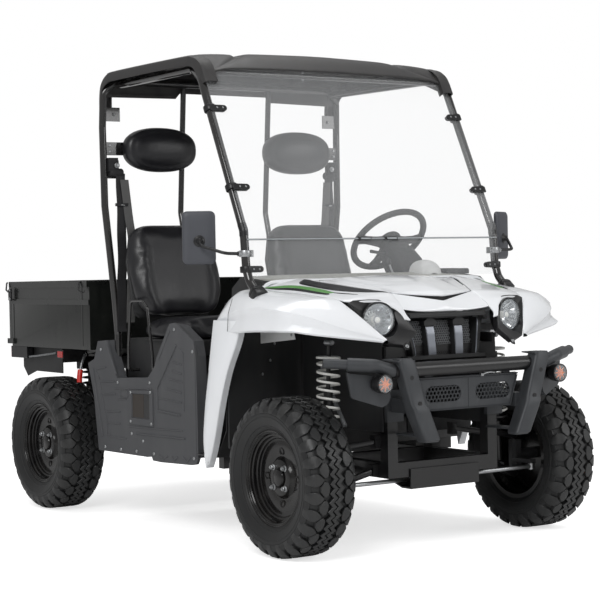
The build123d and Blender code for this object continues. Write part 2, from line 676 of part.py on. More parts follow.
# ---------------------------------------------------------------- dashboard and steering column
dash_half = 585
dash_wall = 5
dash_outline = [(dash_front_y, 1050), (dash_front_y, 1072), (fore - 790, 1088), (fore - 640, 1105),
                (fore - 572, 1060), (fore - 560, 930), (toe_y + floor_thick, toe_top_z + seat_gap),
                (toe_y, toe_top_z + seat_gap), (toe_y, 925), (fore - 640, 1050)]
dash_hollow = [(dash_front_y + 5, 1049), (dash_front_y + 5, 1069), (fore - 789, 1083), (fore - 642, 1100),
               (fore - 577, 1057), (fore - 565, 933), (toe_y + floor_thick, 911), (toe_y + floor_thick, 925),
               (fore - 633, 1049)]
with BuildPart() as dash_solid:
    add(slab(Plane.YZ.offset(-dash_half), dash_outline, 2 * dash_half))
with BuildPart() as dashboard:
    add(dash_solid.part)
    add(slab(Plane.YZ.offset(-dash_half + dash_wall), dash_hollow, 2 * (dash_half - dash_wall)), mode=Mode.SUBTRACT)
    for side in (-1, 1):
        for x0, x1 in ((250, 260), (340, 350)):
            x0, x1 = sorted((side * x0, side * x1))
            add(block(x0, x1, hood_pin_y - 7, dash_front_y + 3, hood_pin_z - 7, hood_pin_z + 1))
        add(rod([(side * 252, hood_pin_y, hood_pin_z), (side * 348, hood_pin_y, hood_pin_z)], hood_pin_r))
write(dashboard.part, "dashboard")

tilt = radians(wheel_tilt)
wheel_axis = Vector(0, cos(tilt), sin(tilt))
hub_point = Vector(*wheel_centre)
column_r = 42
steering_shaft_r = 10
column_bore_r = steering_shaft_r + running_gap
with BuildPart() as steering_column:
    foot = hub_point - wheel_axis * 320
    neck = hub_point - wheel_axis * 40
    add(rod([tuple(foot), tuple(neck)], column_r))
    add(dash_solid.part, mode=Mode.SUBTRACT)
    add(rod([tuple(foot), tuple(hub_point)], column_bore_r), mode=Mode.SUBTRACT)
    column_stub = steering_column.solids().sort_by(Axis.Z)[0]
    if len(steering_column.solids()) > 1:
        add(column_stub, mode=Mode.SUBTRACT)
write(steering_column.part, "steering_column")

with BuildPart() as steering_wheel:
    with BuildSketch(Plane(origin=hub_point, x_dir=(1, 0, 0), z_dir=wheel_axis)):
        with Locations((0, 0)):
            Circle(42)
        for spoke in (0, 180, 270):
            with Locations(Rotation(0, 0, spoke)):
                with Locations((wheel_ring_r / 2, 0)):
                    Rectangle(wheel_ring_r, 30)
    extrude(amount=8, both=True)
    with BuildSketch(Plane(origin=hub_point, x_dir=wheel_axis, z_dir=(1, 0, 0))):
        with Locations((0, wheel_ring_r)):
            Circle(wheel_grip_r)
    revolve(axis=Axis(origin=hub_point, direction=wheel_axis), revolution_arc=360)
    add(rod([tuple(hub_point), tuple(hub_point - wheel_axis * 90)], steering_shaft_r))
write(steering_wheel.part, "steering_wheel")

# ---------------------------------------------------------------- seats
with BuildPart() as seat_cushions:
    for side in (-1, 1):
        add(block(side * seat_x - cushion_w / 2, side * seat_x + cushion_w / 2, seat_base_front - 5, aft + 210,
                  cushion_z, cushion_z + cushion_h))
    fillet(seat_cushions.edges().filter_by(Axis.Z), 60)
write(seat_cushions.part, "seat_cushions")

back_foot = cushion_z + cushion_h + seat_gap
back_outline = [(aft + 145, back_foot), (aft + 236, 1270), (aft + 252, 1335), (aft + 300, 1343),
                (aft + 318, 1300), (aft + 262, back_foot)]
with BuildPart() as seat_backs:
    for side in (-1, 1):
        add(slab(Plane.YZ.offset(side * seat_x - back_w / 2), back_outline, back_w))
write(seat_backs.part, "seat_backs")

with BuildPart() as headrests:
    for side in (-1, 1):
        with BuildSketch(Plane.XZ.offset(-strap_y + seat_gap)):
            with Locations((side * 376, headrest_z)):
                Ellipse(headrest_w / 2, headrest_h / 2)
        extrude(amount=headrest_d)
write(headrests.part, "headrests")

with BuildPart() as seat_belts:
    for side in (-1, 1):
        x0, x1 = sorted((side * 584, side * 630))
        add(block(x0, x1, belt_anchor_y - 33, belt_anchor_y - 5 - seat_gap, 1560, 1650))
        add(block(x0, x1, belt_anchor_y - 32, belt_anchor_y - 29, seat_base_top + 40, 1560))
write(seat_belts.part, "seat_belts")

# ---------------------------------------------------------------- mirrors
mirror_c = (808, fore - 682, 1258)
mirror_turn = 27
mirror_z = 1195
grip_rise = (mirror_z - screen_base[2]) / (screen_knee_z - screen_base[2])
grip_point = Vector(*screen_base) + Vector(post_x - screen_base[0], screen_y - screen_base[1],
                                           screen_knee_z - screen_base[2]) * grip_rise
grip_dir = Vector(post_x - screen_base[0], screen_y - screen_base[1], screen_knee_z - screen_base[2]).normalized()
with BuildPart() as mirrors:
    with BuildSketch(Plane(origin=mirror_c, x_dir=(cos(radians(mirror_turn)), sin(radians(mirror_turn)), 0),
                           z_dir=(sin(radians(mirror_turn)), -cos(radians(mirror_turn)), 0))):
        RectangleRounded(128, 210, 18)
    extrude(amount=9, both=True)
    add(rod([(mirror_c[0] + 2, mirror_c[1] - 6, mirror_c[2]), (mirror_c[0] + 20, mirror_c[1] - 40, mirror_c[2] - 30),
             (760, screen_y - 20, mirror_z), (grip_point.X + tube_r + 3, grip_point.Y, mirror_z)], 7, 20))
    add(rod([tuple(grip_point - grip_dir * 13), tuple(grip_point + grip_dir * 13)], tube_r + 6))
    add(rod([tuple(grip_point - grip_dir * 16), tuple(grip_point + grip_dir * 16)], tube_r + seat_gap),
        mode=Mode.SUBTRACT)
    add(block(600, 700, grip_point.Y - 60, grip_point.Y - tube_r + 2, mirror_z - 30, mirror_z + 30), mode=Mode.SUBTRACT)
    mirror(about=Plane.YZ)
write(mirrors.part, "mirrors")

# ---------------------------------------------------------------- front suspension and steering
arm_r = 14
ball_low_z = 235
ball_up_z = 400
ball_r = 15
with BuildPart() as front_arms:
    for y in (-100, 100):
        add(rod([(rail_out + 14, front_axle_y + y, lower_rail_z - 5), (kingpin_x, front_axle_y, ball_low_z)], arm_r))
        add(rod([(rail_out + 14, front_axle_y + y * 1.2, 440), (kingpin_x, front_axle_y, ball_up_z)], arm_r - 2))
        add(block(rail_out + seat_gap, rail_out + 26, front_axle_y + y - 18, front_axle_y + y + 18,
                  lower_z0 + 6, lower_z1 - 6))
        add(block(rail_out + seat_gap, rail_out + 26, front_axle_y + y * 1.2 - 18, front_axle_y + y * 1.2 + 18, 415, 465))
    for z in (ball_low_z, ball_up_z):
        with Locations((kingpin_x, front_axle_y, z)):
            Sphere(ball_r)
    # saddle under the spring
    add(block(430, 474, front_axle_y - 44, front_axle_y + 44, 252, 280))
    mirror(about=Plane.YZ)
write(front_arms.part, "front_arms")

for side, name in ((-1, "knuckle_right"), (1, "knuckle_left")):
    with BuildPart() as knuckle:
        x0, x1 = sorted((side * (kingpin_x - 8), side * (kingpin_x + 22)))
        add(block(x0, x1, front_axle_y - 24, front_axle_y + 24,
                  ball_low_z + ball_r + 12, ball_up_z - ball_r - seat_gap - 3))
        # round bosses on the kingpin's line
        add(rod([(side * kingpin_x, front_axle_y, ball_low_z + ball_r + 6),
                 (side * kingpin_x, front_axle_y, ball_up_z - ball_r - seat_gap)], 10))
        add(rod([(side * kingpin_x, front_axle_y, axle_z), (side * (front_track / 2 + 28), front_axle_y, axle_z)],
                spindle_radius))
        x0, x1 = sorted((side * (kingpin_x - 14), side * (kingpin_x + 14)))
        add(block(x0, x1, front_axle_y - steer_arm - 14, front_axle_y, tie_rod_z + 8 + seat_gap, tie_rod_z + 25))
    write(knuckle.part, name)

with BuildPart() as tie_rods:
    add(rod([(-kingpin_x, front_axle_y - steer_arm, tie_rod_z - 6), (kingpin_x, front_axle_y - steer_arm, tie_rod_z - 6)], 9))
    for side in (-1, 1):
        add(rod([(side * kingpin_x, front_axle_y - steer_arm, tie_rod_z - 18),
                 (side * kingpin_x, front_axle_y - steer_arm, tie_rod_z + 8)], 14))
write(tie_rods.part, "tie_rods")

# shocks: spring over damper, as one turned shape with a lobe for each coil
# columns: top point, bottom point, coils' share of the length from, to, spring radius
shock_rows = [((432, front_axle_y, tower_top_z - 12), (452, front_axle_y, 284), 0.04, 0.60, 33),
              ((400, rear_axle_y + 90, upper_z0 - 12), (420, rear_axle_y + 48, axle_z + 60), 0.06, 0.74, 30)]
damper_r = 16
coil_count = 7
eye_r = 11
with BuildPart() as shocks:
    for top, low, coil_from, coil_to, spring_r in shock_rows:
        span = Vector(*low) - Vector(*top)
        along = span.normalized()
        pitch = span.length * (coil_to - coil_from) / coil_count
        rows = [(0, 0), (damper_r, 0)]
        for coil in range(coil_count):
            start = span.length * coil_from + coil * pitch
            rows += [(damper_r + 6, start), (spring_r, start + pitch * 0.3), (spring_r, start + pitch * 0.55)]
        rows += [(damper_r + 6, start + pitch), (damper_r, start + pitch + 4), (damper_r, span.length), (0, span.length)]
        with BuildSketch(Plane(origin=top, x_dir=Vector(0, 0, 1).cross(along).normalized(),
                               z_dir=along.cross(Vector(0, 0, 1).cross(along).normalized()) * -1)) as lobes:
            with BuildLine():
                Polyline(*rows, close=True)
            make_face()
        revolve(axis=Axis(origin=top, direction=span))
        # eyes at both ends
        add(rod([(top[0], top[1] - 20, top[2] + 12 - eye_r - seat_gap),
                 (top[0], top[1] + 20, top[2] + 12 - eye_r - seat_gap)], eye_r))
    mirror(about=Plane.YZ)
write(shocks.part, "shocks")

# ---------------------------------------------------------------- rear axle
axle_tube_r = 36
hub_face = 40
with BuildPart() as rear_axle:
    add(rod([(-rear_track / 2 + hub_face, rear_axle_y, axle_z), (rear_track / 2 - hub_face, rear_axle_y, axle_z)], axle_tube_r))
    add(rod([(-rear_track / 2 - 28, rear_axle_y, axle_z), (rear_track / 2 + 28, rear_axle_y, axle_z)], spindle_radius))
    for side in (-1, 1):
        x0, x1 = sorted((side * 385, side * 435))
        add(block(x0, x1, rear_axle_y + 20, rear_axle_y + 75, axle_z - 20, axle_z + 55))
        add(rod([(side * 420, rear_axle_y, axle_z), (side * (rail_out + 20), riser_y + 40, lower_rail_z - 8)], 20))
        x0, x1 = sorted((side * (rail_out + seat_gap), side * (rail_out + 30)))
        add(block(x0, x1, riser_y + 16, riser_y + 49, lower_z0 + 6, lower_z1 - 6))
write(rear_axle.part, "rear_axle")
with BuildPart() as drive_unit:
    add(rod([(-90, rear_axle_y, axle_z - 4), (90, rear_axle_y, axle_z - 4)], 104))
    add(rod([(0, rear_axle_y - 60, axle_z + 90), (0, rear_axle_y - 260, axle_z + 90)], 95))
    add(rod([(-100, rear_axle_y, axle_z), (100, rear_axle_y, axle_z)], axle_tube_r + 0.5), mode=Mode.SUBTRACT)
write(drive_unit.part, "drive_unit")

# ---------------------------------------------------------------- wheels
# columns: node ending, side, axle y, track
wheel_rows = [("front_right", -1, front_axle_y, front_track), ("front_left", 1, front_axle_y, front_track),
              ("rear_right", -1, rear_axle_y, rear_track), ("rear_left", 1, rear_axle_y, rear_track)]
disc_x = 26                    # the disc's inner face, outboard of the wheel's middle
lug_count = 24
lug_share = 0.62               # of the pitch that a lug fills
tread_depth = 11
casing_r = tyre_radius - tread_depth
shoulder_r = tyre_radius - 8   # of the lugs' outer ends
carcass_r = casing_r - 8
shoulder_w = 14                # the carcass's chamfer at each shoulder
wall_r = 268                   # where that chamfer meets the sidewall
crease_r = 240                 # where the sidewall turns in to the rim
lug_in = 7                     # lugs start this far from the tyre's middle


def toothed(radius, turn):
    """Corners of the tread's outline at one section: lugs standing on the casing."""
    pitch = 360 / lug_count
    corners = []
    for lug in range(lug_count):
        for share, r in ((-0.5 * lug_share, radius), (0.5 * lug_share, radius),
                         (0.5 * lug_share + 0.04, casing_r), (0.96 - 0.5 * lug_share, casing_r)):
            angle = radians((lug + share + turn) * pitch)
            corners.append((r * cos(angle), r * sin(angle)))
    return corners


def faceted(x0, r0, x1, r1):
    """A frustum of flat facets, one to a lug; its radii are those of the facets' middles."""
    with BuildPart() as frustum:
        for x, r in ((x0, r0), (x1, r1)):
            with BuildSketch(Plane.YZ.offset(x)):
                RegularPolygon(r, lug_count, major_radius=False)
        loft(ruled=True)
    return frustum.part


def tread_band(x0, x1, r0, r1, turn):
    """A ring of lugs between two sections across the tyre."""
    with BuildPart() as band:
        for x, r in ((x0, r0), (x1, r1)):
            with BuildSketch(Plane.YZ.offset(x)):
                with BuildLine():
                    Polyline(*toothed(r, turn), close=True)
                make_face()
        loft(ruled=True)
    return band.part


half = tyre_width / 2
with BuildPart() as tyre:
    # a casing of flat facets with its lugs fused on, half a pitch out of step across the middle groove
    with BuildSketch(Plane.YZ.offset(-half + shoulder_w)):
        RegularPolygon(carcass_r, lug_count, major_radius=False)
    extrude(amount=2 * (half - shoulder_w))
    for side in (-1, 1):
        add(faceted(side * (half - shoulder_w), carcass_r, side * half, wall_r))
        x_near, x_far = side * lug_in, side * (half - shoulder_w + 2)
        add(tread_band(x_near, x_far, tyre_radius, shoulder_r, 0.25 * side))
        # the sidewall's inner cone, down to the rim's flange
        with BuildSketch(Plane.YZ.offset(side * half)):
            RegularPolygon(crease_r, lug_count, major_radius=False)
        with BuildSketch(Plane.YZ.offset(side * bead_width / 2)):
            RegularPolygon(flange_radius + 4, lug_count, major_radius=False)
        loft(ruled=True, mode=Mode.SUBTRACT)
    with BuildSketch(Plane.YZ.offset(-half)):
        RegularPolygon(bead_radius + seat_gap, lug_count, major_radius=False)
    extrude(amount=tyre_width, mode=Mode.SUBTRACT)

for name, side, y, track in wheel_rows:
    centre = Vector(side * track / 2, y, axle_z)
    write(tyre.part.moved(Location(centre)), f"tyre_{name}")
    cross = Plane(origin=centre, x_dir=(side, 0, 0), z_dir=(0, -side, 0))
    with BuildPart() as rim:
        with BuildSketch(cross):
            with BuildLine():
                edge = bead_width / 2 + seat_gap
                Polyline((-edge - flange_thick, flange_radius), (-edge, flange_radius), (-edge, bead_radius),
                         (edge, bead_radius), (edge, flange_radius), (edge + flange_thick, flange_radius),
                         (edge + flange_thick, bead_radius + 2), (edge - 10, bead_radius - rim_wall),
                         (edge - 16, bead_radius - rim_wall - 6), (disc_x + 28, bead_radius - rim_wall - 8),
                         (disc_x + 24, bead_radius - rim_wall - 16), (disc_x + 14, bead_radius - rim_wall - 18),
                         (disc_x + 10, 96), (disc_x + 8, 84), (disc_x + 26, 72), (disc_x + 28, hub_radius - 12),
                         (disc_x + 38, hub_radius - 16), (disc_x + 38, 0),
                         (disc_x + 26, 0), (disc_x + 26, spindle_radius + running_gap),
                         (-10, spindle_radius + running_gap),
                         (-10, hub_radius), (disc_x, hub_radius), (disc_x, 120), (disc_x + 2, bead_radius - rim_wall - 24),
                         (-edge - flange_thick, bead_radius - rim_wall), close=True)
            make_face()
        revolve(axis=Axis(origin=centre, direction=(1, 0, 0)))
    write(rim.part, f"rim_{name}")

# ---------------------------------------------------------------- cargo bed
side_out = bed_half - 14
bed_end_y = gate_front_y - 6
gate_half = side_out - 2
with BuildPart() as bed_tub:
    add(block(-side_out, side_out, bed_front_y, bed_end_y, bed_bottom_z, bed_top_z))
    add(block(-side_out + bed_wall, side_out - bed_wall, bed_front_y + bed_wall, gate_front_y, bed_floor_z, bed_top_z + 1),
        mode=Mode.SUBTRACT)
    add(block(-side_out + bed_wall, side_out - bed_wall, bed_front_y + bed_wall, gate_front_y, bed_bottom_z - 1,
              bed_floor_z - bed_wall), mode=Mode.SUBTRACT)
    for side in (-1, 1):
        x0, x1 = sorted((side * side_out, side * bed_half))
        add(block(x0, x1, bed_front_y, bed_end_y, bed_top_z - 28, bed_top_z))
        x0, x1 = sorted((side * side_out, side * (side_out + 6)))
        add(block(x0, x1, bed_front_y, bed_end_y, 985, 1010))
        beam_z0 = bed_floor_z - bed_wall - bed_beam_h
        x0, x1 = sorted((side * beam_in, side * beam_out))
        add(block(x0, x1, bed_front_y + 40, bed_pivot_y + 14, beam_z0, bed_floor_z - bed_wall))
        add(rod([(side * (beam_in - 5), bed_pivot_y, bed_pivot_z), (side * (beam_out + 5), bed_pivot_y, bed_pivot_z)],
                pivot_pin_r + running_gap), mode=Mode.SUBTRACT)
        # ears that take the tailgate's pins
        x0, x1 = sorted((side * (gate_half + 2), side * (gate_half + 14)))
        add(block(x0, x1, gate_front_y - 40, rear_y - 1, gate_pivot_z - 13, gate_pivot_z + 13))
        add(rod([(x0 - 1, gate_pivot_y, gate_pivot_z), (x1 + 1, gate_pivot_y, gate_pivot_z)], gate_pin_r + running_gap),
            mode=Mode.SUBTRACT)
write(bed_tub.part, "bed_tub")

with BuildPart() as tailgate:
    add(block(-gate_half, gate_half, gate_front_y, rear_y, bed_floor_z - 4, bed_top_z))
    add(block(-gate_half + 30, gate_half - 30, gate_front_y + gate_sheet, rear_y + 1,
              bed_floor_z + 26, bed_top_z - 30), mode=Mode.SUBTRACT)
    # the lower front corner is cut away so that it swings clear of the floor
    add(block(-gate_half, gate_half, gate_front_y - 1, gate_pivot_y, bed_floor_z - 5, gate_pivot_z - 4),
        mode=Mode.SUBTRACT)
    add(rod([(-gate_half - 12, gate_pivot_y, gate_pivot_z), (gate_half + 12, gate_pivot_y, gate_pivot_z)], gate_pin_r))
write(tailgate.part, "tailgate")

with BuildPart() as tail_lamps:
    add(block(600, side_out, gate_front_y - 169, gate_front_y + 9, bed_bottom_z - 58, bed_bottom_z - seat_gap))
    mirror(about=Plane.YZ)
write(tail_lamps.part, "tail_lamps")

# mudguards hung under the bed, over the rear tyres
guard_x = 596
guard_in = 470
guard_wall = 5
guard_top = bed_floor_z - bed_wall - seat_gap
guard_rows = [(-4, 648), (-4, guard_top), (426, guard_top), (426, 668), (379, 622), (281, 650)]
with BuildPart() as rear_guards:
    add(slab(Plane.YZ.offset(guard_x - guard_wall), [(rear_axle_y + y, z) for y, z in guard_rows], guard_wall))
    add(block(guard_in, guard_x, rear_axle_y - 4, rear_axle_y + 426, 700, 700 + guard_wall))
    for y in (rear_axle_y - 4, rear_axle_y + 426 - guard_wall):
        add(block(guard_in, guard_x, y, y + guard_wall, 700, guard_top))
    mirror(about=Plane.YZ)
write(rear_guards.part, "rear_guards")
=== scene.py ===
"""Side by side utility vehicle: the finished looks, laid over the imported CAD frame.

Shapes are worked out in millimetres and made in metres. +Z is up, -Y is forward and +X is the
driver's side.
"""

import math

import bmesh
import bpy
from mathutils import Matrix, Vector
from mathutils.bvhtree import BVHTree


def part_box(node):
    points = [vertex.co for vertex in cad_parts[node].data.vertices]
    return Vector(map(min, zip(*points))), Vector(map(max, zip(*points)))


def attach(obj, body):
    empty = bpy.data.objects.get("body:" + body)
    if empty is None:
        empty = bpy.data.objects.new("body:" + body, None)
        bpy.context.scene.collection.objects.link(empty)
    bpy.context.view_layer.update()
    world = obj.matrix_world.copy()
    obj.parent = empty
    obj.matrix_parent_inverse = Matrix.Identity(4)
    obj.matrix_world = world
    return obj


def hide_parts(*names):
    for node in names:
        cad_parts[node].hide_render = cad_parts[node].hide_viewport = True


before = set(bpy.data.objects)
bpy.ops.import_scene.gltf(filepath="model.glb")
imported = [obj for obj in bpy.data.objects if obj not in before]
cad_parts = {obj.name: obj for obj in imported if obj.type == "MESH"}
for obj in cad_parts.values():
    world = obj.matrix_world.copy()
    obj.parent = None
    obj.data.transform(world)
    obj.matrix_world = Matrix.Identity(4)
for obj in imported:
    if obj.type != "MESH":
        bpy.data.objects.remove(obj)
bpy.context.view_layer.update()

bl_info = {
    "name": "Side by Side Utility Vehicle",
    "version": (1, 0, 0),
    "blender": (4, 5, 0),
    "location": "View3D > Sidebar > Utility Vehicle",
    "description": "Builds the finished pieces of a two-seat utility vehicle over its CAD frame",
    "category": "Add Mesh",
}

MM = 0.001
FRONT_AXLE = -1043.0
REAR_AXLE = 959.0
AXLE_Z = 317.5
SIDES = (-1, 1)
WELD = 2e-5  # metres within which two vertices count as one
BEVEL_ROUNDS = 2
ARC_STEPS = 8


def at(node, corner, axis):
    """One face of a CAD piece's box in millimetres: corner 0 is the low one and 1 the high one."""
    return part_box(node)[corner][axis] / MM


def tone(red, green, blue):
    """Linear colour for a paint given from 0 to 255."""
    parts = []
    for value in (red, green, blue):
        share = value / 255.0
        parts.append(share / 12.92 if share <= 0.04045 else ((share + 0.055) / 1.055) ** 2.4)
    return tuple(parts)


# ---------------------------------------------------------------- settings
def paint(name, words, colour):
    """A colour that a user may change."""
    return bpy.props.FloatVectorProperty(
        name=name, description=words, subtype="COLOR", size=3, min=0.0, max=1.0, default=colour
    )


def length(name, words, value):
    """A length in metres, from its millimetres."""
    return bpy.props.FloatProperty(
        name=name, description=words, subtype="DISTANCE", unit="LENGTH", min=0.0, default=value * MM
    )


class UtvColours(bpy.types.PropertyGroup):
    """Paints and mouldings."""

    body: paint("Body", "Gloss paint of fenders, hood and nose", tone(238, 240, 243))
    stripe: paint("Stripe", "Accent stripe beside the hood", tone(88, 150, 72))
    # this dark paint also colours the painted shadow laid in the gap beside the green stripe
    blade_and_gap_shadow: paint("Blade stripe and gap shadow", "Dark stripes along the hood", tone(20, 21, 24))
    tubes: paint("Cab tubes", "Gloss coat of the cab's tubes", tone(14, 14, 16))
    roof: paint("Roof", "Moulded roof", tone(40, 39, 40))
    bumper: paint("Bumper", "Textured coat of the bumper", tone(56, 58, 61))
    panels: paint("Side panels", "Moulded lower doors", tone(68, 69, 72))
    mould: paint("Dark mouldings", "Liners, grille and dashboard", tone(30, 31, 33))
    bed: paint("Cargo bed", "Coated sheet of the bed", tone(17, 19, 18))
    rubber: paint("Rubber", "Tyres", tone(25, 26, 27))
    rims: paint("Rims", "Gloss coat of the rims", tone(9, 9, 11))
    vinyl: paint("Seat vinyl", "Cushions and backs", tone(26, 26, 29))
    cowl: paint("Cowl", "Pale dashboard cowl", tone(176, 176, 170))
    spring: paint("Springs", "Front springs", tone(226, 226, 222))
    web: paint("Webbing", "Seat belts", tone(26, 26, 29))
    silver: paint("Grille bars", "Satin bars of the grille", tone(128, 132, 140))


class UtvSizes(bpy.types.PropertyGroup):
    """Sizes that set how fine or how deep the details are."""

    tread_pitches: bpy.props.IntProperty(
        name="Tread pitches", description="Times the tread pattern repeats round a tyre",
        default=27, min=12, max=48
    )
    tread_depth: length("Tread depth", "Height of the tread blocks above the casing", 12.5)
    spring_turns: bpy.props.FloatProperty(
        name="Spring turns", description="Turns of wire in a front spring", default=7.5, min=3.0,
        max=14.0
    )
    spring_wire: length("Spring wire", "Thickness of a front spring's wire", 10.4)
    screw_head: length("Screw head", "Diameter of the panel screws", 15.0)
    mesh_cell: length("Mesh cell", "Width of a cell in the bumper's perforated windows", 18.0)
    pad_rise: length("Pad rise", "Furthest that a seat pad may swell", 24.0)


def colours():
    """The scene's paints."""
    return bpy.context.scene.utv_colours


def sizes():
    """The scene's sizes."""
    return bpy.context.scene.utv_sizes


# ---------------------------------------------------------------- mesh tools
def rounded_path(points, bend):
    """Corners of a path turned into arcs of one radius."""
    points = [Vector(p) for p in points]
    if bend <= 0 or len(points) < 3:
        return points
    path = [points[0]]
    for before, corner, after in zip(points, points[1:], points[2:]):
        a, b = (before - corner), (after - corner)
        reach_a, reach_b = a.length, b.length
        a.normalize()
        b.normalize()
        half = a.angle(b, math.pi) / 2
        if half > math.radians(89):
            path.append(corner)
            continue
        cut = min(bend / math.tan(half), reach_a * 0.49, reach_b * 0.49)
        radius = cut * math.tan(half)
        centre = corner + (a + b).normalized() * (radius / math.sin(half))
        start, end = corner + a * cut - centre, corner + b * cut - centre
        sweep = start.angle(end, 0.0)
        for step in range(ARC_STEPS + 1):
            t = step / ARC_STEPS
            if sweep < 1e-4:
                path.append(centre + start.lerp(end, t))
            else:
                low = math.sin((1 - t) * sweep) / math.sin(sweep)
                high = math.sin(t * sweep) / math.sin(sweep)
                path.append(centre + start * low + end * high)
    path.append(points[-1])
    return path


def smooth_line(points, steps):
    """A curve through every point, straight at its ends."""
    points = [Vector(p) for p in points]
    line = []
    for i in range(len(points) - 1):
        p1, p2 = points[i], points[i + 1]
        p0 = points[i - 1] if i else p1 * 2 - p2
        p3 = points[i + 2] if i + 2 < len(points) else p2 * 2 - p1
        for step in range(steps):
            t = step / steps
            line.append(
                (p1 * 2 + (p2 - p0) * t + (p0 * 2 - p1 * 5 + p2 * 4 - p3) * t * t
                 + (p1 * 3 - p0 - p2 * 3 + p3) * t * t * t) * 0.5
            )
    line.append(points[-1])
    return line


def smooth_net(rows, along, across):
    """A finer net through every point of a coarse one."""
    fine = [smooth_line(row, across) for row in rows]
    columns = [smooth_line(column, along) for column in zip(*fine)]
    return [list(row) for row in zip(*columns)]


def squared(value, power):
    """A sine or cosine pushed out toward a square's corner; a power of 1 keeps the circle."""
    return math.copysign(abs(value) ** power, value)


def walled(net, scale, back, down):
    """A net's rows, each closed into a thin section by its copy narrowed, set back and let down."""
    return [[tuple(p) for p in row]
            + [(p[0] * scale, p[1] + back, p[2] - down) for p in reversed(row)]
            for row in net]


def shade(data, sharp):
    """Smooth shading, broken where two faces meet at more than an angle in degrees."""
    data.polygons.foreach_set("use_smooth", [True] * len(data.polygons))
    data.set_sharp_from_angle(angle=math.radians(sharp))


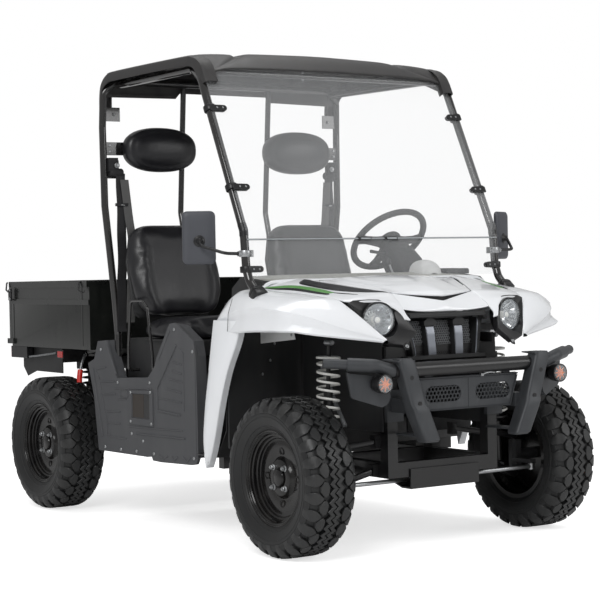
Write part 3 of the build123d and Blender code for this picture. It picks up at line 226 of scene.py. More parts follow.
class Shape:
    """Faces gathered in millimetres, each with the number of its finish."""

    def __init__(self):
        """Starts with nothing gathered."""
        self.points, self.faces, self.finishes = [], [], []

    def add(self, points, faces, finish=0):
        """Takes in points, and faces whose numbers count from the first of them."""
        start = len(self.points)
        self.points.extend(Vector(p) for p in points)
        for face in faces:
            self.faces.append([start + i for i in face])
            self.finishes.append(finish)

    def prism(self, outline, step, finish=0):
        """A plate: an outline in space carried along step."""
        n = len(outline)
        step = Vector(step)
        points = [Vector(p) for p in outline] + [Vector(p) + step for p in outline]
        sides = [(i, (i + 1) % n, n + (i + 1) % n, n + i) for i in range(n)]
        self.add(points, [tuple(reversed(range(n))), tuple(range(n, 2 * n))] + sides, finish)

    def plate_x(self, x0, x1, outline, finish=0):
        """A plate across X, from an outline of (y, z)."""
        self.prism([(x0, y, z) for y, z in outline], (x1 - x0, 0, 0), finish)

    def plate_y(self, y0, y1, outline, finish=0):
        """A plate across Y, from an outline of (x, z)."""
        self.prism([(x, y0, z) for x, z in outline], (0, y1 - y0, 0), finish)

    def plate_z(self, z0, z1, outline, finish=0):
        """A plate across Z, from an outline of (x, y)."""
        self.prism([(x, y, z0) for x, y in outline], (0, 0, z1 - z0), finish)

    def box(self, x0, x1, y0, y1, z0, z1, finish=0):
        """A block between two values on each axis."""
        self.plate_z(z0, z1, [(x0, y0), (x1, y0), (x1, y1), (x0, y1)], finish)

    def loft(self, rows, finish=0, round=True, ends=True):
        """Skin through rows of as many points each; round joins each row's ends."""
        n = len(rows[0])
        points = [p for row in rows for p in row]
        faces = []
        for i in range(len(rows) - 1):
            for j in range(n if round else n - 1):
                k = (j + 1) % n
                faces.append((i * n + j, i * n + k, (i + 1) * n + k, (i + 1) * n + j))
        if ends and round:
            faces.append(tuple(reversed(range(n))))
            faces.append(tuple(range(len(points) - n, len(points))))
        self.add(points, faces, finish)

    def tube(self, points, radius, bend=0, sides=20, finish=0, tip=None):
        """A round bar along a path; tip is its radius at the far end."""
        path = rounded_path(points, bend)
        spots = [path[0]]
        for p in path[1:]:
            if (p - spots[-1]).length > 1e-3:
                spots.append(p)
        rows, across = [], None
        for i, p in enumerate(spots):
            ahead = spots[min(i + 1, len(spots) - 1)] - p
            behind = p - spots[max(i - 1, 0)]
            run = (ahead.normalized() + behind.normalized()).normalized()
            if across is None:
                across = run.orthogonal().normalized()
            across = (across - run * across.dot(run)).normalized()
            other = run.cross(across)
            share = i / (len(spots) - 1)
            r = radius if tip is None else radius + (tip - radius) * share
            rows.append([p + across * (r * math.cos(2 * math.pi * j / sides))
                         + other * (r * math.sin(2 * math.pi * j / sides)) for j in range(sides)])
        self.loft(rows, finish)

    def turned(self, centre, axis, profile, sides=48, finish=0, ring=False, start=0.0):
        """A profile of (along, radius) turned about an axis; ring joins its ends."""
        centre, axis = Vector(centre), Vector(axis).normalized()
        across = axis.orthogonal().normalized()
        other = axis.cross(across)
        rows = []
        for j in range(sides):
            angle = start + 2 * math.pi * j / sides
            out = across * math.cos(angle) + other * math.sin(angle)
            rows.append([centre + axis * a + out * max(r, 1e-4) for a, r in profile])
        n = len(profile)
        points = [p for row in rows for p in row]
        faces = []
        for i in range(sides):
            for j in range(n if ring else n - 1):
                k, m = (j + 1) % n, (i + 1) % sides
                faces.append((i * n + j, i * n + k, m * n + k, m * n + j))
        self.add(points, faces, finish)

    def hexagon(self, centre, axis, width, height, finish=0, start=0.0):
        """A nut or a screw's hexagon head, with its corners taken off."""
        r = width / math.sqrt(3)
        self.turned(centre, axis,
                    [(0, 0), (0, r), (height * 0.8, r), (height, r * 0.86), (height, 0)], 6, finish,
                    start=start)

    def mirror(self):
        """Adds the other hand of everything so far."""
        n = len(self.points)
        self.points.extend([Vector((-p.x, p.y, p.z)) for p in self.points])
        for face, finish in list(zip(self.faces, self.finishes)):
            self.faces.append([n + i for i in reversed(face)])
            self.finishes.append(finish)
        return self

    def mesh(self, name, finishes, merge=0.02, turn_out=True, sharp=32.0):
        """The gathered faces as a mesh in metres, with its finishes by name."""
        data = bpy.data.meshes.new(name)
        data.from_pydata([p * MM for p in self.points], [], self.faces)
        for finish in finishes:
            data.materials.append(bpy.data.materials[finish])
        data.polygons.foreach_set("material_index", self.finishes)
        work = bmesh.new()
        work.from_mesh(data)
        bmesh.ops.remove_doubles(work, verts=work.verts, dist=merge * MM)
        bmesh.ops.dissolve_degenerate(work, edges=work.edges, dist=1e-6)
        if turn_out:
            bmesh.ops.recalc_face_normals(work, faces=work.faces)
        work.to_mesh(data)
        work.free()
        shade(data, sharp)
        return data

    def piece(self, name, finishes, body, slot, nodes=(), edge=0.0, sharp=32.0, turn_out=True,
              wall=0.0, wall_side=-1.0):
        """The gathered faces as a finished piece on a body."""
        data = self.mesh(name, finishes, turn_out=turn_out, sharp=sharp)
        return settle(data, name, body, nodes, edge, sharp, wall, wall_side)


def settle(data, name, body, nodes=(), edge=0.0, sharp=32.0, wall=0.0, wall_side=-1.0):
    """Puts a mesh on its body, with a wall and soft edges where asked."""
    item = bpy.data.objects.new(name, data)
    bpy.context.scene.collection.objects.link(item)
    if wall:
        skin = item.modifiers.new("Wall", "SOLIDIFY")
        skin.thickness = wall * MM
        skin.offset = wall_side
        skin.use_even_offset = False
    if edge:
        soft = item.modifiers.new("Soft edges", "BEVEL")
        soft.width = edge * MM
        soft.segments = BEVEL_ROUNDS
        soft.limit_method = "ANGLE"
        soft.angle_limit = math.radians(sharp)
        soft.harden_normals = True
    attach(item, body)
    if nodes:
        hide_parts(*nodes)
    return item


DRESSED_SHARP = 38.0


def dress(name, body, finish, edge):
    """A softened copy of a CAD piece, merged first so that its edges can be rounded."""
    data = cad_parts[name].data.copy()
    data.name = name + "_finished"
    data.materials.clear()
    data.materials.append(bpy.data.materials[finish])
    work = bmesh.new()
    work.from_mesh(data)
    bmesh.ops.remove_doubles(work, verts=work.verts, dist=WELD)
    bmesh.ops.dissolve_limit(work, angle_limit=math.radians(1.0), verts=work.verts,
                             edges=work.edges)
    work.to_mesh(data)
    work.free()
    if data.uv_layers:
        data.uv_layers.remove(data.uv_layers[0])
    data.polygons.foreach_set("material_index", [0] * len(data.polygons))
    shade(data, DRESSED_SHARP)
    return settle(data, name + "_finished", body, (name,), edge, DRESSED_SHARP)


# ---------------------------------------------------------------- geometry node tools
def add_inputs(tree, inputs):
    """Input sockets from rows of label, kind and default."""
    for label, kind, value in inputs:
        socket = tree.interface.new_socket(name=label, in_out="INPUT", socket_type=kind)
        if value is not None:
            socket.default_value = value


def new_tree(name, inputs):
    """An empty geometry tree with a geometry input and the named inputs that follow it."""
    tree = bpy.data.node_groups.new(name, "GeometryNodeTree")
    tree.interface.new_socket(name="Geometry", in_out="INPUT", socket_type="NodeSocketGeometry")
    add_inputs(tree, inputs)
    tree.interface.new_socket(name="Geometry", in_out="OUTPUT", socket_type="NodeSocketGeometry")
    return tree, tree.nodes.new("NodeGroupInput"), tree.nodes.new("NodeGroupOutput")


def node(tree, kind, values=(), **settings):
    """A node with its settings, each named or numbered socket filled or linked."""
    made = tree.nodes.new(kind)
    for key, value in settings.items():
        setattr(made, key, value)
    for socket, value in dict(values).items():
        target = made.inputs[socket]
        if isinstance(value, bpy.types.NodeSocket):
            tree.links.new(value, target)
        else:
            target.default_value = value
    return made


def ring_tree():
    """Copies of a part, turned evenly about the X axis."""
    name = "Repeat about the axle"
    if name in bpy.data.node_groups:
        return bpy.data.node_groups[name]
    tree, given, out = new_tree(name, [("Count", "NodeSocketInt", 27),
                                       ("Finish", "NodeSocketMaterial", None)])
    spots = node(tree, "GeometryNodePoints", {"Count": given.outputs["Count"]})
    turn = node(tree, "ShaderNodeMath", {0: 2 * math.pi, 1: given.outputs["Count"]},
                operation="DIVIDE")
    place = node(tree, "GeometryNodeInputIndex")
    angle = node(tree, "ShaderNodeMath", {0: place.outputs[0], 1: turn.outputs[0]},
                 operation="MULTIPLY")
    euler = node(tree, "ShaderNodeCombineXYZ", {"X": angle.outputs[0]})
    rotation = node(tree, "FunctionNodeEulerToRotation", {0: euler.outputs[0]})
    copies = node(tree, "GeometryNodeInstanceOnPoints", {
        "Points": spots.outputs[0], "Instance": given.outputs["Geometry"],
        "Rotation": rotation.outputs[0]})
    real = node(tree, "GeometryNodeRealizeInstances", {0: copies.outputs[0]})
    join = node(tree, "GeometryNodeMergeByDistance",
                {"Geometry": real.outputs[0], "Distance": WELD})
    finish = node(tree, "GeometryNodeSetMaterial",
                  {"Geometry": join.outputs[0], "Material": given.outputs["Finish"]})
    tree.links.new(finish.outputs[0], out.inputs[0])
    return tree


def spots_tree():
    """One part stood on every vertex of the input, along that vertex's stored direction."""
    name = "Stand on points"
    if name in bpy.data.node_groups:
        return bpy.data.node_groups[name]
    tree, given, out = new_tree(name, [
        ("Part", "NodeSocketObject", None), ("Size", "NodeSocketFloat", 1.0),
        ("Finish", "NodeSocketMaterial", None)])
    spots = node(tree, "GeometryNodeMeshToPoints", {0: given.outputs["Geometry"]})
    part = node(tree, "GeometryNodeObjectInfo", {"Object": given.outputs["Part"]})
    facing = node(tree, "GeometryNodeInputNamedAttribute", {"Name": "facing"},
                  data_type="FLOAT_VECTOR")
    rotation = node(tree, "FunctionNodeAlignRotationToVector", {"Vector": facing.outputs[0]},
                    axis="Z")
    scale = node(tree, "ShaderNodeCombineXYZ", {
        "X": given.outputs["Size"], "Y": given.outputs["Size"], "Z": given.outputs["Size"]})
    copies = node(tree, "GeometryNodeInstanceOnPoints", {
        "Points": spots.outputs[0], "Instance": part.outputs["Geometry"],
        "Rotation": rotation.outputs[0], "Scale": scale.outputs[0]})
    real = node(tree, "GeometryNodeRealizeInstances", {0: copies.outputs[0]})
    finish = node(tree, "GeometryNodeSetMaterial",
                  {"Geometry": real.outputs[0], "Material": given.outputs["Finish"]})
    tree.links.new(finish.outputs[0], out.inputs[0])
    return tree


def through_tree(data, tree, values, name):
    """A mesh put through a geometry tree, as a plain mesh."""
    carrier = bpy.data.objects.new(name + "_carrier", data)
    bpy.context.scene.collection.objects.link(carrier)
    step = carrier.modifiers.new("Nodes", "NODES")
    step.node_group = tree
    for item in tree.interface.items_tree:
        if item.item_type == "SOCKET" and item.in_out == "INPUT" and item.name in values:
            step[item.identifier] = values[item.name]
    ready = carrier.evaluated_get(bpy.context.evaluated_depsgraph_get())
    made = bpy.data.meshes.new_from_object(ready)
    made.name = name
    bpy.data.objects.remove(carrier)
    return made


def joined(meshes, name, finishes, sharp=32.0):
    """Several meshes as one; each keeps its own finish by name."""
    data = bpy.data.meshes.new(name)
    for finish in finishes:
        data.materials.append(bpy.data.materials[finish])
    work = bmesh.new()
    for mesh in meshes:
        start = len(work.faces)
        work.from_mesh(mesh)
        work.faces.ensure_lookup_table()
        names = [m.name if m else finishes[0] for m in mesh.materials] or [finishes[0]]
        for face in work.faces[start:]:
            face.material_index = finishes.index(names[min(face.material_index, len(names) - 1)])
    work.to_mesh(data)
    work.free()
    for layer in list(data.uv_layers):
        data.uv_layers.remove(layer)
    shade(data, sharp)
    return data


def fixings(name, rows, part, size, finish, body):
    """Small parts such as screws, stood on points by rows of (x, y, z, facing)."""
    spots = bpy.data.meshes.new(name + "_spots")
    spots.from_pydata([Vector(row[:3]) * MM for row in rows], [], [])
    facing = spots.attributes.new("facing", "FLOAT_VECTOR", "POINT")
    facing.data.foreach_set("vector", [v for row in rows for v in Vector(row[3]).normalized()])
    carrier = bpy.data.objects.new(name + "_part", part)
    data = through_tree(spots, spots_tree(),
                        {"Part": carrier, "Size": size, "Finish": bpy.data.materials[finish]}, name)
    bpy.data.objects.remove(carrier)
    shade(data, 32)
    return settle(data, name, body)


def screw_head():
    """A button head with a hexagon socket, one millimetre to the unit and 10 mm wide."""
    head = Shape()
    head.turned((0, 0, 0), (0, 0, 1),
                [(-1, 0), (-1, 5.0), (0.8, 5.0), (2.2, 4.1), (2.9, 2.4), (1.2, 2.1), (1.2, 0)], 12)
    return head.mesh("screw_head", ["Zinc"])


def bolt_head():
    """A flanged hexagon head, 10 mm across its flange."""
    head = Shape()
    head.turned((0, 0, 0), (0, 0, 1), [(-1, 0), (-1, 5.0), (0.6, 5.0), (1.2, 3.8), (1.2, 0)], 14)
    head.hexagon((0, 0, 1.0), (0, 0, 1), 6.2, 3.2)
    return head.mesh("bolt_head", ["Zinc"])


def skin_of(data):
    """A search tree over a mesh, for laying strips on it."""
    return BVHTree.FromPolygons([v.co.copy() for v in data.vertices],
                                [tuple(p.vertices) for p in data.polygons])


DROP_FROM = 3.0  # metres: above the whole vehicle
SKIN_Z = 1.05  # metres: about the height of the panels beside the lid


def laid_strip(shape, skin, rows, lift, steps, finish):
    """A strip of film on a skin: rows of two (x, y) edges, found from above."""
    down = Vector((0, 0, -1))
    net = []
    for (ax, ay), (bx, by) in rows:
        row = []
        for step in range(steps + 1):
            share = step / steps
            x, y = ax + (bx - ax) * share, ay + (by - ay) * share
            spot, normal, _, _ = skin.ray_cast(Vector((x * MM, y * MM, DROP_FROM)), down)
            if spot is None:
                spot, normal, _, _ = skin.find_nearest(Vector((x * MM, y * MM, SKIN_Z)))
            if normal.dot(down) > 0:
                normal = -normal
            row.append(spot / MM + normal * lift)
        net.append(row)
    shape.loft(net, finish, False, False)


# ---------------------------------------------------------------- shader groups
def shader_group(name, inputs, outputs):
    """An empty shader group with its named sockets."""
    tree = bpy.data.node_groups.new(name, "ShaderNodeTree")
    add_inputs(tree, inputs)
    for label, kind in outputs:
        tree.interface.new_socket(name=label, in_out="OUTPUT", socket_type=kind)
    return tree, tree.nodes.new("NodeGroupInput"), tree.nodes.new("NodeGroupOutput")


def maths(tree, operation, a, b=0.0, c=0.0):
    """Output of a maths node; each value is a number or a socket."""
    made = node(tree, "ShaderNodeMath", {0: a, 1: b, 2: c}, operation=operation)
    return made.outputs[0]


def mixed(tree, factor, a, b):
    """Output of a colour mix; a and b are colours or sockets."""
    made = tree.nodes.new("ShaderNodeMix")
    made.data_type = "RGBA"
    for socket, value in ((made.inputs[0], factor), (made.inputs[6], a), (made.inputs[7], b)):
        if isinstance(value, bpy.types.NodeSocket):
            tree.links.new(value, socket)
        elif isinstance(value, (int, float)):
            socket.default_value = value
        else:
            socket.default_value = (*value[:3], 1.0)
    return made.outputs[2]


def build_groups():
    """Effects that several finishes share: grain, age, film ripple, weave and pips."""
    vector, number, colour = "NodeSocketVector", "NodeSocketFloat", "NodeSocketColor"
    tree, given, out = shader_group(
        "Moulded grain",
        [("Vector", vector, None), ("Cells", number, 700.0), ("Soft", number, 0.6)],
        [("Height", number), ("Mask", number)])
    cells = node(tree, "ShaderNodeTexVoronoi",
                 {"Vector": given.outputs[0], "Scale": given.outputs[1]}, feature="SMOOTH_F1")
    fine = node(tree, "ShaderNodeTexNoise",
                {"Vector": given.outputs[0], "Scale": given.outputs[1], "Detail": 2.0})
    blend = node(tree, "ShaderNodeMix",
                 {0: given.outputs[2], 2: cells.outputs["Distance"], 3: fine.outputs["Fac"]})
    tree.links.new(blend.outputs[0], out.inputs[0])
    tree.links.new(maths(tree, "MULTIPLY", cells.outputs["Distance"], 1.4), out.inputs[1])

    tree, given, out = shader_group(
        "Age and handling",
        [("Vector", vector, None), ("Colour", colour, (0.5, 0.5, 0.5, 1)),
         ("Film", colour, (0.3, 0.28, 0.25, 1)), ("Amount", number, 0.1),
         ("Roughness", number, 0.5), ("Patches", number, 3.0)],
        [("Colour", colour), ("Roughness", number)])
    broad = node(tree, "ShaderNodeTexNoise",
                 {"Vector": given.outputs[0], "Scale": given.outputs["Patches"],
                  "Detail": 6.0, "Roughness": 0.62})
    streak = node(tree, "ShaderNodeMapping", {"Vector": given.outputs[0], "Scale": (9.0, 9.0, 1.6)})
    runs = node(tree, "ShaderNodeTexNoise",
                {"Vector": streak.outputs[0], "Scale": given.outputs["Patches"],
                 "Detail": 4.0})
    both = maths(tree, "MULTIPLY", broad.outputs["Fac"], runs.outputs["Fac"])
    mask = maths(tree, "MULTIPLY_ADD", both, 3.4, -0.45)
    mask = node(tree, "ShaderNodeClamp", {0: mask}).outputs[0]
    share = maths(tree, "MULTIPLY", mask, given.outputs["Amount"])
    tree.links.new(mixed(tree, share, given.outputs["Colour"], given.outputs["Film"]),
                   out.inputs[0])
    rise = maths(tree, "MULTIPLY_ADD", share, 0.7, given.outputs["Roughness"])
    tree.links.new(rise, out.inputs[1])

    tree, given, out = shader_group(
        "Film ripple", [("Vector", vector, None), ("Scale", number, 90.0)], [("Height", number)])
    ripple = node(tree, "ShaderNodeTexNoise",
                  {"Vector": given.outputs[0], "Scale": given.outputs[1],
                   "Detail": 3.0, "Roughness": 0.45})
    tree.links.new(ripple.outputs["Fac"], out.inputs[0])

    tree, given, out = shader_group(
        "Woven web", [("Vector", vector, None), ("Threads", number, 900.0)],
        [("Height", number), ("Mask", number)])
    across = node(tree, "ShaderNodeTexWave",
                  {"Vector": given.outputs[0], "Scale": given.outputs[1]}, wave_type="BANDS",
                  bands_direction="X")
    along = node(tree, "ShaderNodeTexWave", {"Vector": given.outputs[0], "Scale": given.outputs[1]},
                 wave_type="BANDS", bands_direction="Z")
    weave = maths(tree, "MULTIPLY", across.outputs["Fac"], along.outputs["Fac"])
    tree.links.new(weave, out.inputs[0])
    tree.links.new(weave, out.inputs[1])

    tree, given, out = shader_group(
        "Tread pips", [("Vector", vector, None), ("Pips", number, 260.0)],
        [("Height", number), ("Mask", number)])
    pips = node(tree, "ShaderNodeTexVoronoi",
                {"Vector": given.outputs[0], "Scale": given.outputs[1],
                 "Randomness": 0.12})
    dots = node(tree, "ShaderNodeMapRange",
                {0: pips.outputs["Distance"], 1: 0.2, 2: 0.5, 3: 1.0, 4: 0.0})
    noise = node(tree, "ShaderNodeTexNoise",
                 {"Vector": given.outputs[0], "Scale": 900.0, "Detail": 2.0})
    height = maths(tree, "MULTIPLY_ADD", noise.outputs["Fac"], 0.4, dots.outputs[0])
    tree.links.new(height, out.inputs[0])
    tree.links.new(dots.outputs[0], out.inputs[1])


def finish(name, colour, roughness=0.5, metallic=0.0, coat=0.0, film=(0.32, 0.29, 0.25), age=0.12,
           patches=3.0, grain="Moulded grain", scale=700.0, depth=0.15, reach=0.4, alpha=None,
           ior=1.5, glow=None, glow_level=0.0, specular=0.5):
    """A finish: its colour and gloss vary with age, and its surface with a fine grain."""
    material = bpy.data.materials.new(name)
    material.use_nodes = True
    tree = material.node_tree
    shader = tree.nodes["Principled BSDF"]
    place = tree.nodes.new("ShaderNodeTexCoord").outputs["Object"]
    worn = tree.nodes.new("ShaderNodeGroup")
    worn.node_tree = bpy.data.node_groups["Age and handling"]
    worn.inputs["Colour"].default_value = (*colour[:3], 1.0)
    worn.inputs["Film"].default_value = (*film, 1.0)
    worn.inputs["Amount"].default_value = age
    worn.inputs["Roughness"].default_value = roughness
    worn.inputs["Patches"].default_value = patches
    tree.links.new(place, worn.inputs["Vector"])
    tree.links.new(worn.outputs["Colour"], shader.inputs["Base Color"])
    tree.links.new(worn.outputs["Roughness"], shader.inputs["Roughness"])
    if depth:
        texture = tree.nodes.new("ShaderNodeGroup")
        texture.node_tree = bpy.data.node_groups[grain]
        tree.links.new(place, texture.inputs["Vector"])
        texture.inputs[1].default_value = scale
        bump = node(tree, "ShaderNodeBump", {"Strength": depth, "Distance": reach * MM,
                                             "Height": texture.outputs["Height"]})
        tree.links.new(bump.outputs[0], shader.inputs["Normal"])
    shader.inputs["Metallic"].default_value = metallic
    shader.inputs["Coat Weight"].default_value = coat
    shader.inputs["Coat Roughness"].default_value = 0.06
    shader.inputs["IOR"].default_value = ior
    shader.inputs["Specular IOR Level"].default_value = specular
    if alpha is not None:
        shader.inputs["Alpha"].default_value = alpha
    if glow:
        shader.inputs["Emission Color"].default_value = (*glow, 1.0)
        shader.inputs["Emission Strength"].default_value = glow_level
    return material


def build_finishes():
    """Every finish that the pieces use; the main ones take the user's colours."""
    c = colours()
    ripple = dict(grain="Film ripple", scale=60.0, depth=0.05, reach=0.5)
    finish("Body gloss", c.body, 0.16, coat=0.6, age=0.05, film=tone(205, 203, 198), **ripple)
    finish("Stripe film", c.stripe, 0.32, coat=0.3, age=0.25, film=tone(52, 96, 44), patches=14.0,
           **ripple)
    # the blade paint also serves as the painted shadow of the gap beside the green stripe
    finish("Blade film", c.blade_and_gap_shadow, 0.4, specular=0.25, age=0.15, film=tone(70, 72, 76), **ripple)
    finish("Tube gloss", c.tubes, 0.12, coat=0.7, age=0.06, grain="Film ripple", scale=160.0,
           depth=0.06, reach=0.5)
    finish("Roof mould", c.roof, 0.42, age=0.22, film=tone(96, 94, 90), scale=420.0, depth=0.25)
    finish("Bumper coat", c.bumper, 0.42, metallic=0.25, age=0.16, film=tone(104, 106, 108),
           scale=1100.0, depth=0.3, reach=0.25)
    finish("Panel mould", c.panels, 0.56, age=0.22, film=tone(112, 112, 112), scale=600.0,
           depth=0.4)
    finish("Dark mould", c.mould, 0.5, age=0.18, film=tone(78, 76, 72), scale=520.0, depth=0.3)
    finish("Glove mould", tone(16, 16, 18), 0.34, age=0.12, film=tone(60, 60, 60), scale=420.0,
           depth=0.25)
    finish("Bed coat", c.bed, 0.26, coat=0.35, age=0.14, film=tone(70, 72, 66), grain="Film ripple",
           scale=120.0, depth=0.16, reach=0.6)
    finish("Chassis coat", tone(9, 9, 11), 0.38, coat=0.2, age=0.14, film=tone(46, 43, 40),
           grain="Film ripple", scale=150.0, depth=0.15)
    finish("Tyre side", c.rubber, 0.42, age=0.16, film=tone(60, 58, 55), scale=500.0, depth=0.18,
           specular=0.4)
    finish("Tyre tread", c.rubber, 0.36, age=0.2, film=tone(70, 69, 66), grain="Tread pips",
           scale=300.0, depth=0.5, reach=0.5, specular=0.55)
    finish("Rim gloss", c.rims, 0.18, coat=0.12, age=0.05, specular=0.3, **ripple)
    finish("Seat vinyl", c.vinyl, 0.33, age=0.1, film=tone(62, 62, 66), scale=520.0, depth=0.35,
           reach=0.5)
    finish("Cowl mould", c.cowl, 0.45, age=0.1, film=tone(132, 128, 120), scale=500.0, depth=0.25)
    finish("White mould", tone(226, 227, 226), 0.34, coat=0.2, age=0.08, film=tone(186, 184, 178),
           scale=500.0, depth=0.15)
    finish("Spring coat", c.spring, 0.32, coat=0.4, age=0.2, film=tone(140, 132, 120), patches=12.0,
           **ripple)
    finish("Zinc", tone(176, 178, 180), 0.3, metallic=0.95, age=0.25, film=tone(120, 118, 112),
           patches=20.0, grain="Film ripple", scale=400.0, depth=0.2)
    finish("Cast alloy", tone(84, 85, 87), 0.46, metallic=0.7, age=0.3, film=tone(84, 78, 70),
           scale=300.0, depth=0.4)
    finish("Satin bar", c.silver, 0.34, metallic=0.5, coat=0.2, age=0.12, film=tone(96, 98, 104),
           **ripple)
    finish("Grip foam", tone(38, 38, 40), 0.62, age=0.18, film=tone(76, 74, 70), scale=650.0,
           depth=0.5)
    finish("Belt web", c.web, 0.62, age=0.16, film=tone(62, 60, 58), grain="Woven web", scale=900.0,
           depth=0.6)
    finish("Belt edge", tone(84, 84, 84), 0.62, age=0.2, film=tone(110, 108, 104),
           grain="Woven web", scale=900.0, depth=0.6)
    finish("Reflector chrome", tone(212, 215, 218), 0.1, metallic=1.0, age=0.1,
           film=tone(150, 152, 156), patches=18.0, **ripple)
    finish("Bulb", tone(240, 240, 236), 0.25, age=0.05, glow=(1.0, 0.97, 0.9), glow_level=0.15,
           **ripple)
    finish("Amber lens", tone(222, 112, 30), 0.12, coat=0.5, age=0.06, film=tone(160, 80, 24),
           glow=tone(230, 120, 40), glow_level=0.12, grain="Tread pips", scale=360.0, depth=0.5)
    finish("Red lens", tone(178, 20, 18), 0.14, coat=0.5, age=0.06, film=tone(110, 14, 12),
           grain="Tread pips", scale=330.0, depth=0.45)
    finish("Red grip", tone(206, 44, 34), 0.32, coat=0.3, age=0.1, film=tone(150, 34, 28), **ripple)
    finish("Mirror shell", tone(66, 68, 74), 0.42, age=0.14, film=tone(96, 98, 104), scale=500.0,
           depth=0.2)
    finish("Mirror face", tone(196, 199, 203), 0.04, metallic=1.0, age=0.03,
           film=tone(170, 172, 175), **ripple)
    # painted shade: the insert's brown is darkened so that the flat plate reads as a recess
    finish("Brown insert", tone(44, 37, 31), 0.5, age=0.2, film=tone(70, 60, 50), scale=420.0,
           depth=0.4)
    finish("Underside grey", tone(118, 120, 122), 0.5, age=0.2, film=tone(92, 92, 92), scale=420.0,
           depth=0.2)
    finish("Screen edge", tone(196, 201, 204), 0.2, coat=0.3, age=0.06, film=tone(170, 174, 176),
           alpha=0.62, **ripple)
    clear = finish("Screen clear", tone(236, 238, 240), 0.06, age=0.2, film=tone(250, 250, 250),
                   grain="Film ripple", scale=8.0, depth=0.03, alpha=0.11, ior=1.45)
    clear.surface_render_method = "BLENDED"
    lens = finish("Lens clear", tone(226, 231, 234), 0.03, age=0.02, grain="Film ripple",
                  scale=30.0, depth=0.02, alpha=0.16)
    lens.surface_render_method = "BLENDED"


# ---------------------------------------------------------------- stage
FLOOR = [(-14, -14, 0), (14, -14, 0), (14, 18, 0), (-14, 18, 0)]
FLOOR_GLOW = 0.66
CAMERA_PLACE = (-4.5866, -6.8373, 1.1449)
CAMERA_TURN = (34.747, 1.070, -1.127)  # degrees: yaw, pitch down, roll
CAMERA_LENS = 106.95
WORLD_LEVEL = 0.45
# columns: name, place, aim, width, height, watts
LAMPS = [
    ("key", (-4.6, -4.2, 4.6), (0.0, -0.3, 0.8), 3.0, 2.6, 168.0),
    ("fill", (3.6, -5.6, 3.2), (0.1, -0.4, 0.8), 2.6, 2.2, 66.0),
    ("top", (0.2, 0.6, 6.2), (0.0, 0.0, 0.8), 4.2, 4.2, 122.0),
]


def build_stage():
    """Pale floor, soft lamps, and the camera."""
    scene = bpy.context.scene
    floor = bpy.data.meshes.new("floor")
    floor.from_pydata(FLOOR, [], [(0, 1, 2, 3)])
    paper = bpy.data.materials.new("Floor paper")
    paper.use_nodes = True
    tree = paper.node_tree
    shader = tree.nodes["Principled BSDF"]
    place = tree.nodes.new("ShaderNodeTexCoord").outputs["Object"]
    noise = node(tree, "ShaderNodeTexNoise", {"Vector": place, "Scale": 2.0, "Detail": 3.0})
    pale = node(tree, "ShaderNodeMapRange", {0: noise.outputs["Fac"], 3: 0.955, 4: 0.97})
    tree.links.new(pale.outputs[0], shader.inputs["Base Color"])
    shader.inputs["Roughness"].default_value = 0.9
    shader.inputs["Specular IOR Level"].default_value = 0.1
    rays = tree.nodes.new("ShaderNodeLightPath")
    seen = maths(tree, "MAXIMUM", rays.outputs["Is Camera Ray"],
                 rays.outputs["Is Transmission Ray"])
    tree.links.new(maths(tree, "MULTIPLY", seen, FLOOR_GLOW), shader.inputs["Emission Strength"])
    shader.inputs["Emission Color"].default_value = (1, 1, 1, 1)
    floor.materials.append(paper)
    ground = bpy.data.objects.new("floor", floor)
    scene.collection.objects.link(ground)

    world = bpy.data.worlds.new("Studio")
    scene.world = world
    world.use_nodes = True
    tree = world.node_tree
    back = tree.nodes["Background"]
    back.inputs["Color"].default_value = (1, 1, 1, 1)
    rays = tree.nodes.new("ShaderNodeLightPath")
    seen = maths(tree, "MAXIMUM", rays.outputs["Is Camera Ray"],
                 rays.outputs["Is Transmission Ray"])
    level = maths(tree, "MULTIPLY_ADD", seen, 1.0 - WORLD_LEVEL, WORLD_LEVEL)
    tree.links.new(level, back.inputs["Strength"])

    for name, place, aim, wide, tall, power in LAMPS:
        data = bpy.data.lights.new(name, "AREA")
        data.shape = "RECTANGLE"
        data.size, data.size_y = wide, tall
        data.energy = power
        lamp = bpy.data.objects.new(name, data)
        scene.collection.objects.link(lamp)
        lamp.location = place
        lamp.rotation_euler = (Vector(aim) - Vector(place)).to_track_quat("-Z", "Y").to_euler()

    data = bpy.data.cameras.new("Camera")
    data.lens = CAMERA_LENS
    data.sensor_width = 36.0
    data.clip_end = 60.0
    camera = bpy.data.objects.new("Camera", data)
    scene.collection.objects.link(camera)
    yaw, pitch, roll = [math.radians(angle) for angle in CAMERA_TURN]
    ahead = Vector((math.sin(yaw) * math.cos(pitch), math.cos(yaw) * math.cos(pitch),
                    -math.sin(pitch)))
    right = Vector((math.cos(yaw), -math.sin(yaw), 0))
    up = right.cross(ahead)
    across = right * math.cos(roll) + up * math.sin(roll)
    upward = up * math.cos(roll) - right * math.sin(roll)
    turn = Matrix((across, upward, -ahead)).transposed()
    camera.matrix_world = Matrix.Translation(Vector(CAMERA_PLACE)) @ turn.to_4x4()
    scene.camera = camera
    scene.view_settings.view_transform = "Standard"



# ---------------------------------------------------------------- wheels
# columns: node ending, body, side, axle y, wheel middle x
WHEELS = [
    ("front_right", "wheel_front_right", -1, FRONT_AXLE, -629.0),
    ("front_left", "wheel_front_left", 1, FRONT_AXLE, 629.0),
    ("rear_right", "wheel_rear_right", -1, REAR_AXLE, -633.0),
    ("rear_left", "wheel_rear_left", 1, REAR_AXLE, 633.0),
]
TREAD_TOP = 317.5
BLOCK_EASE = 2.4  # how far the top edges of a tread block are eased
BLOCK_ROOT = 2.0  # how far a block is sunk into the casing


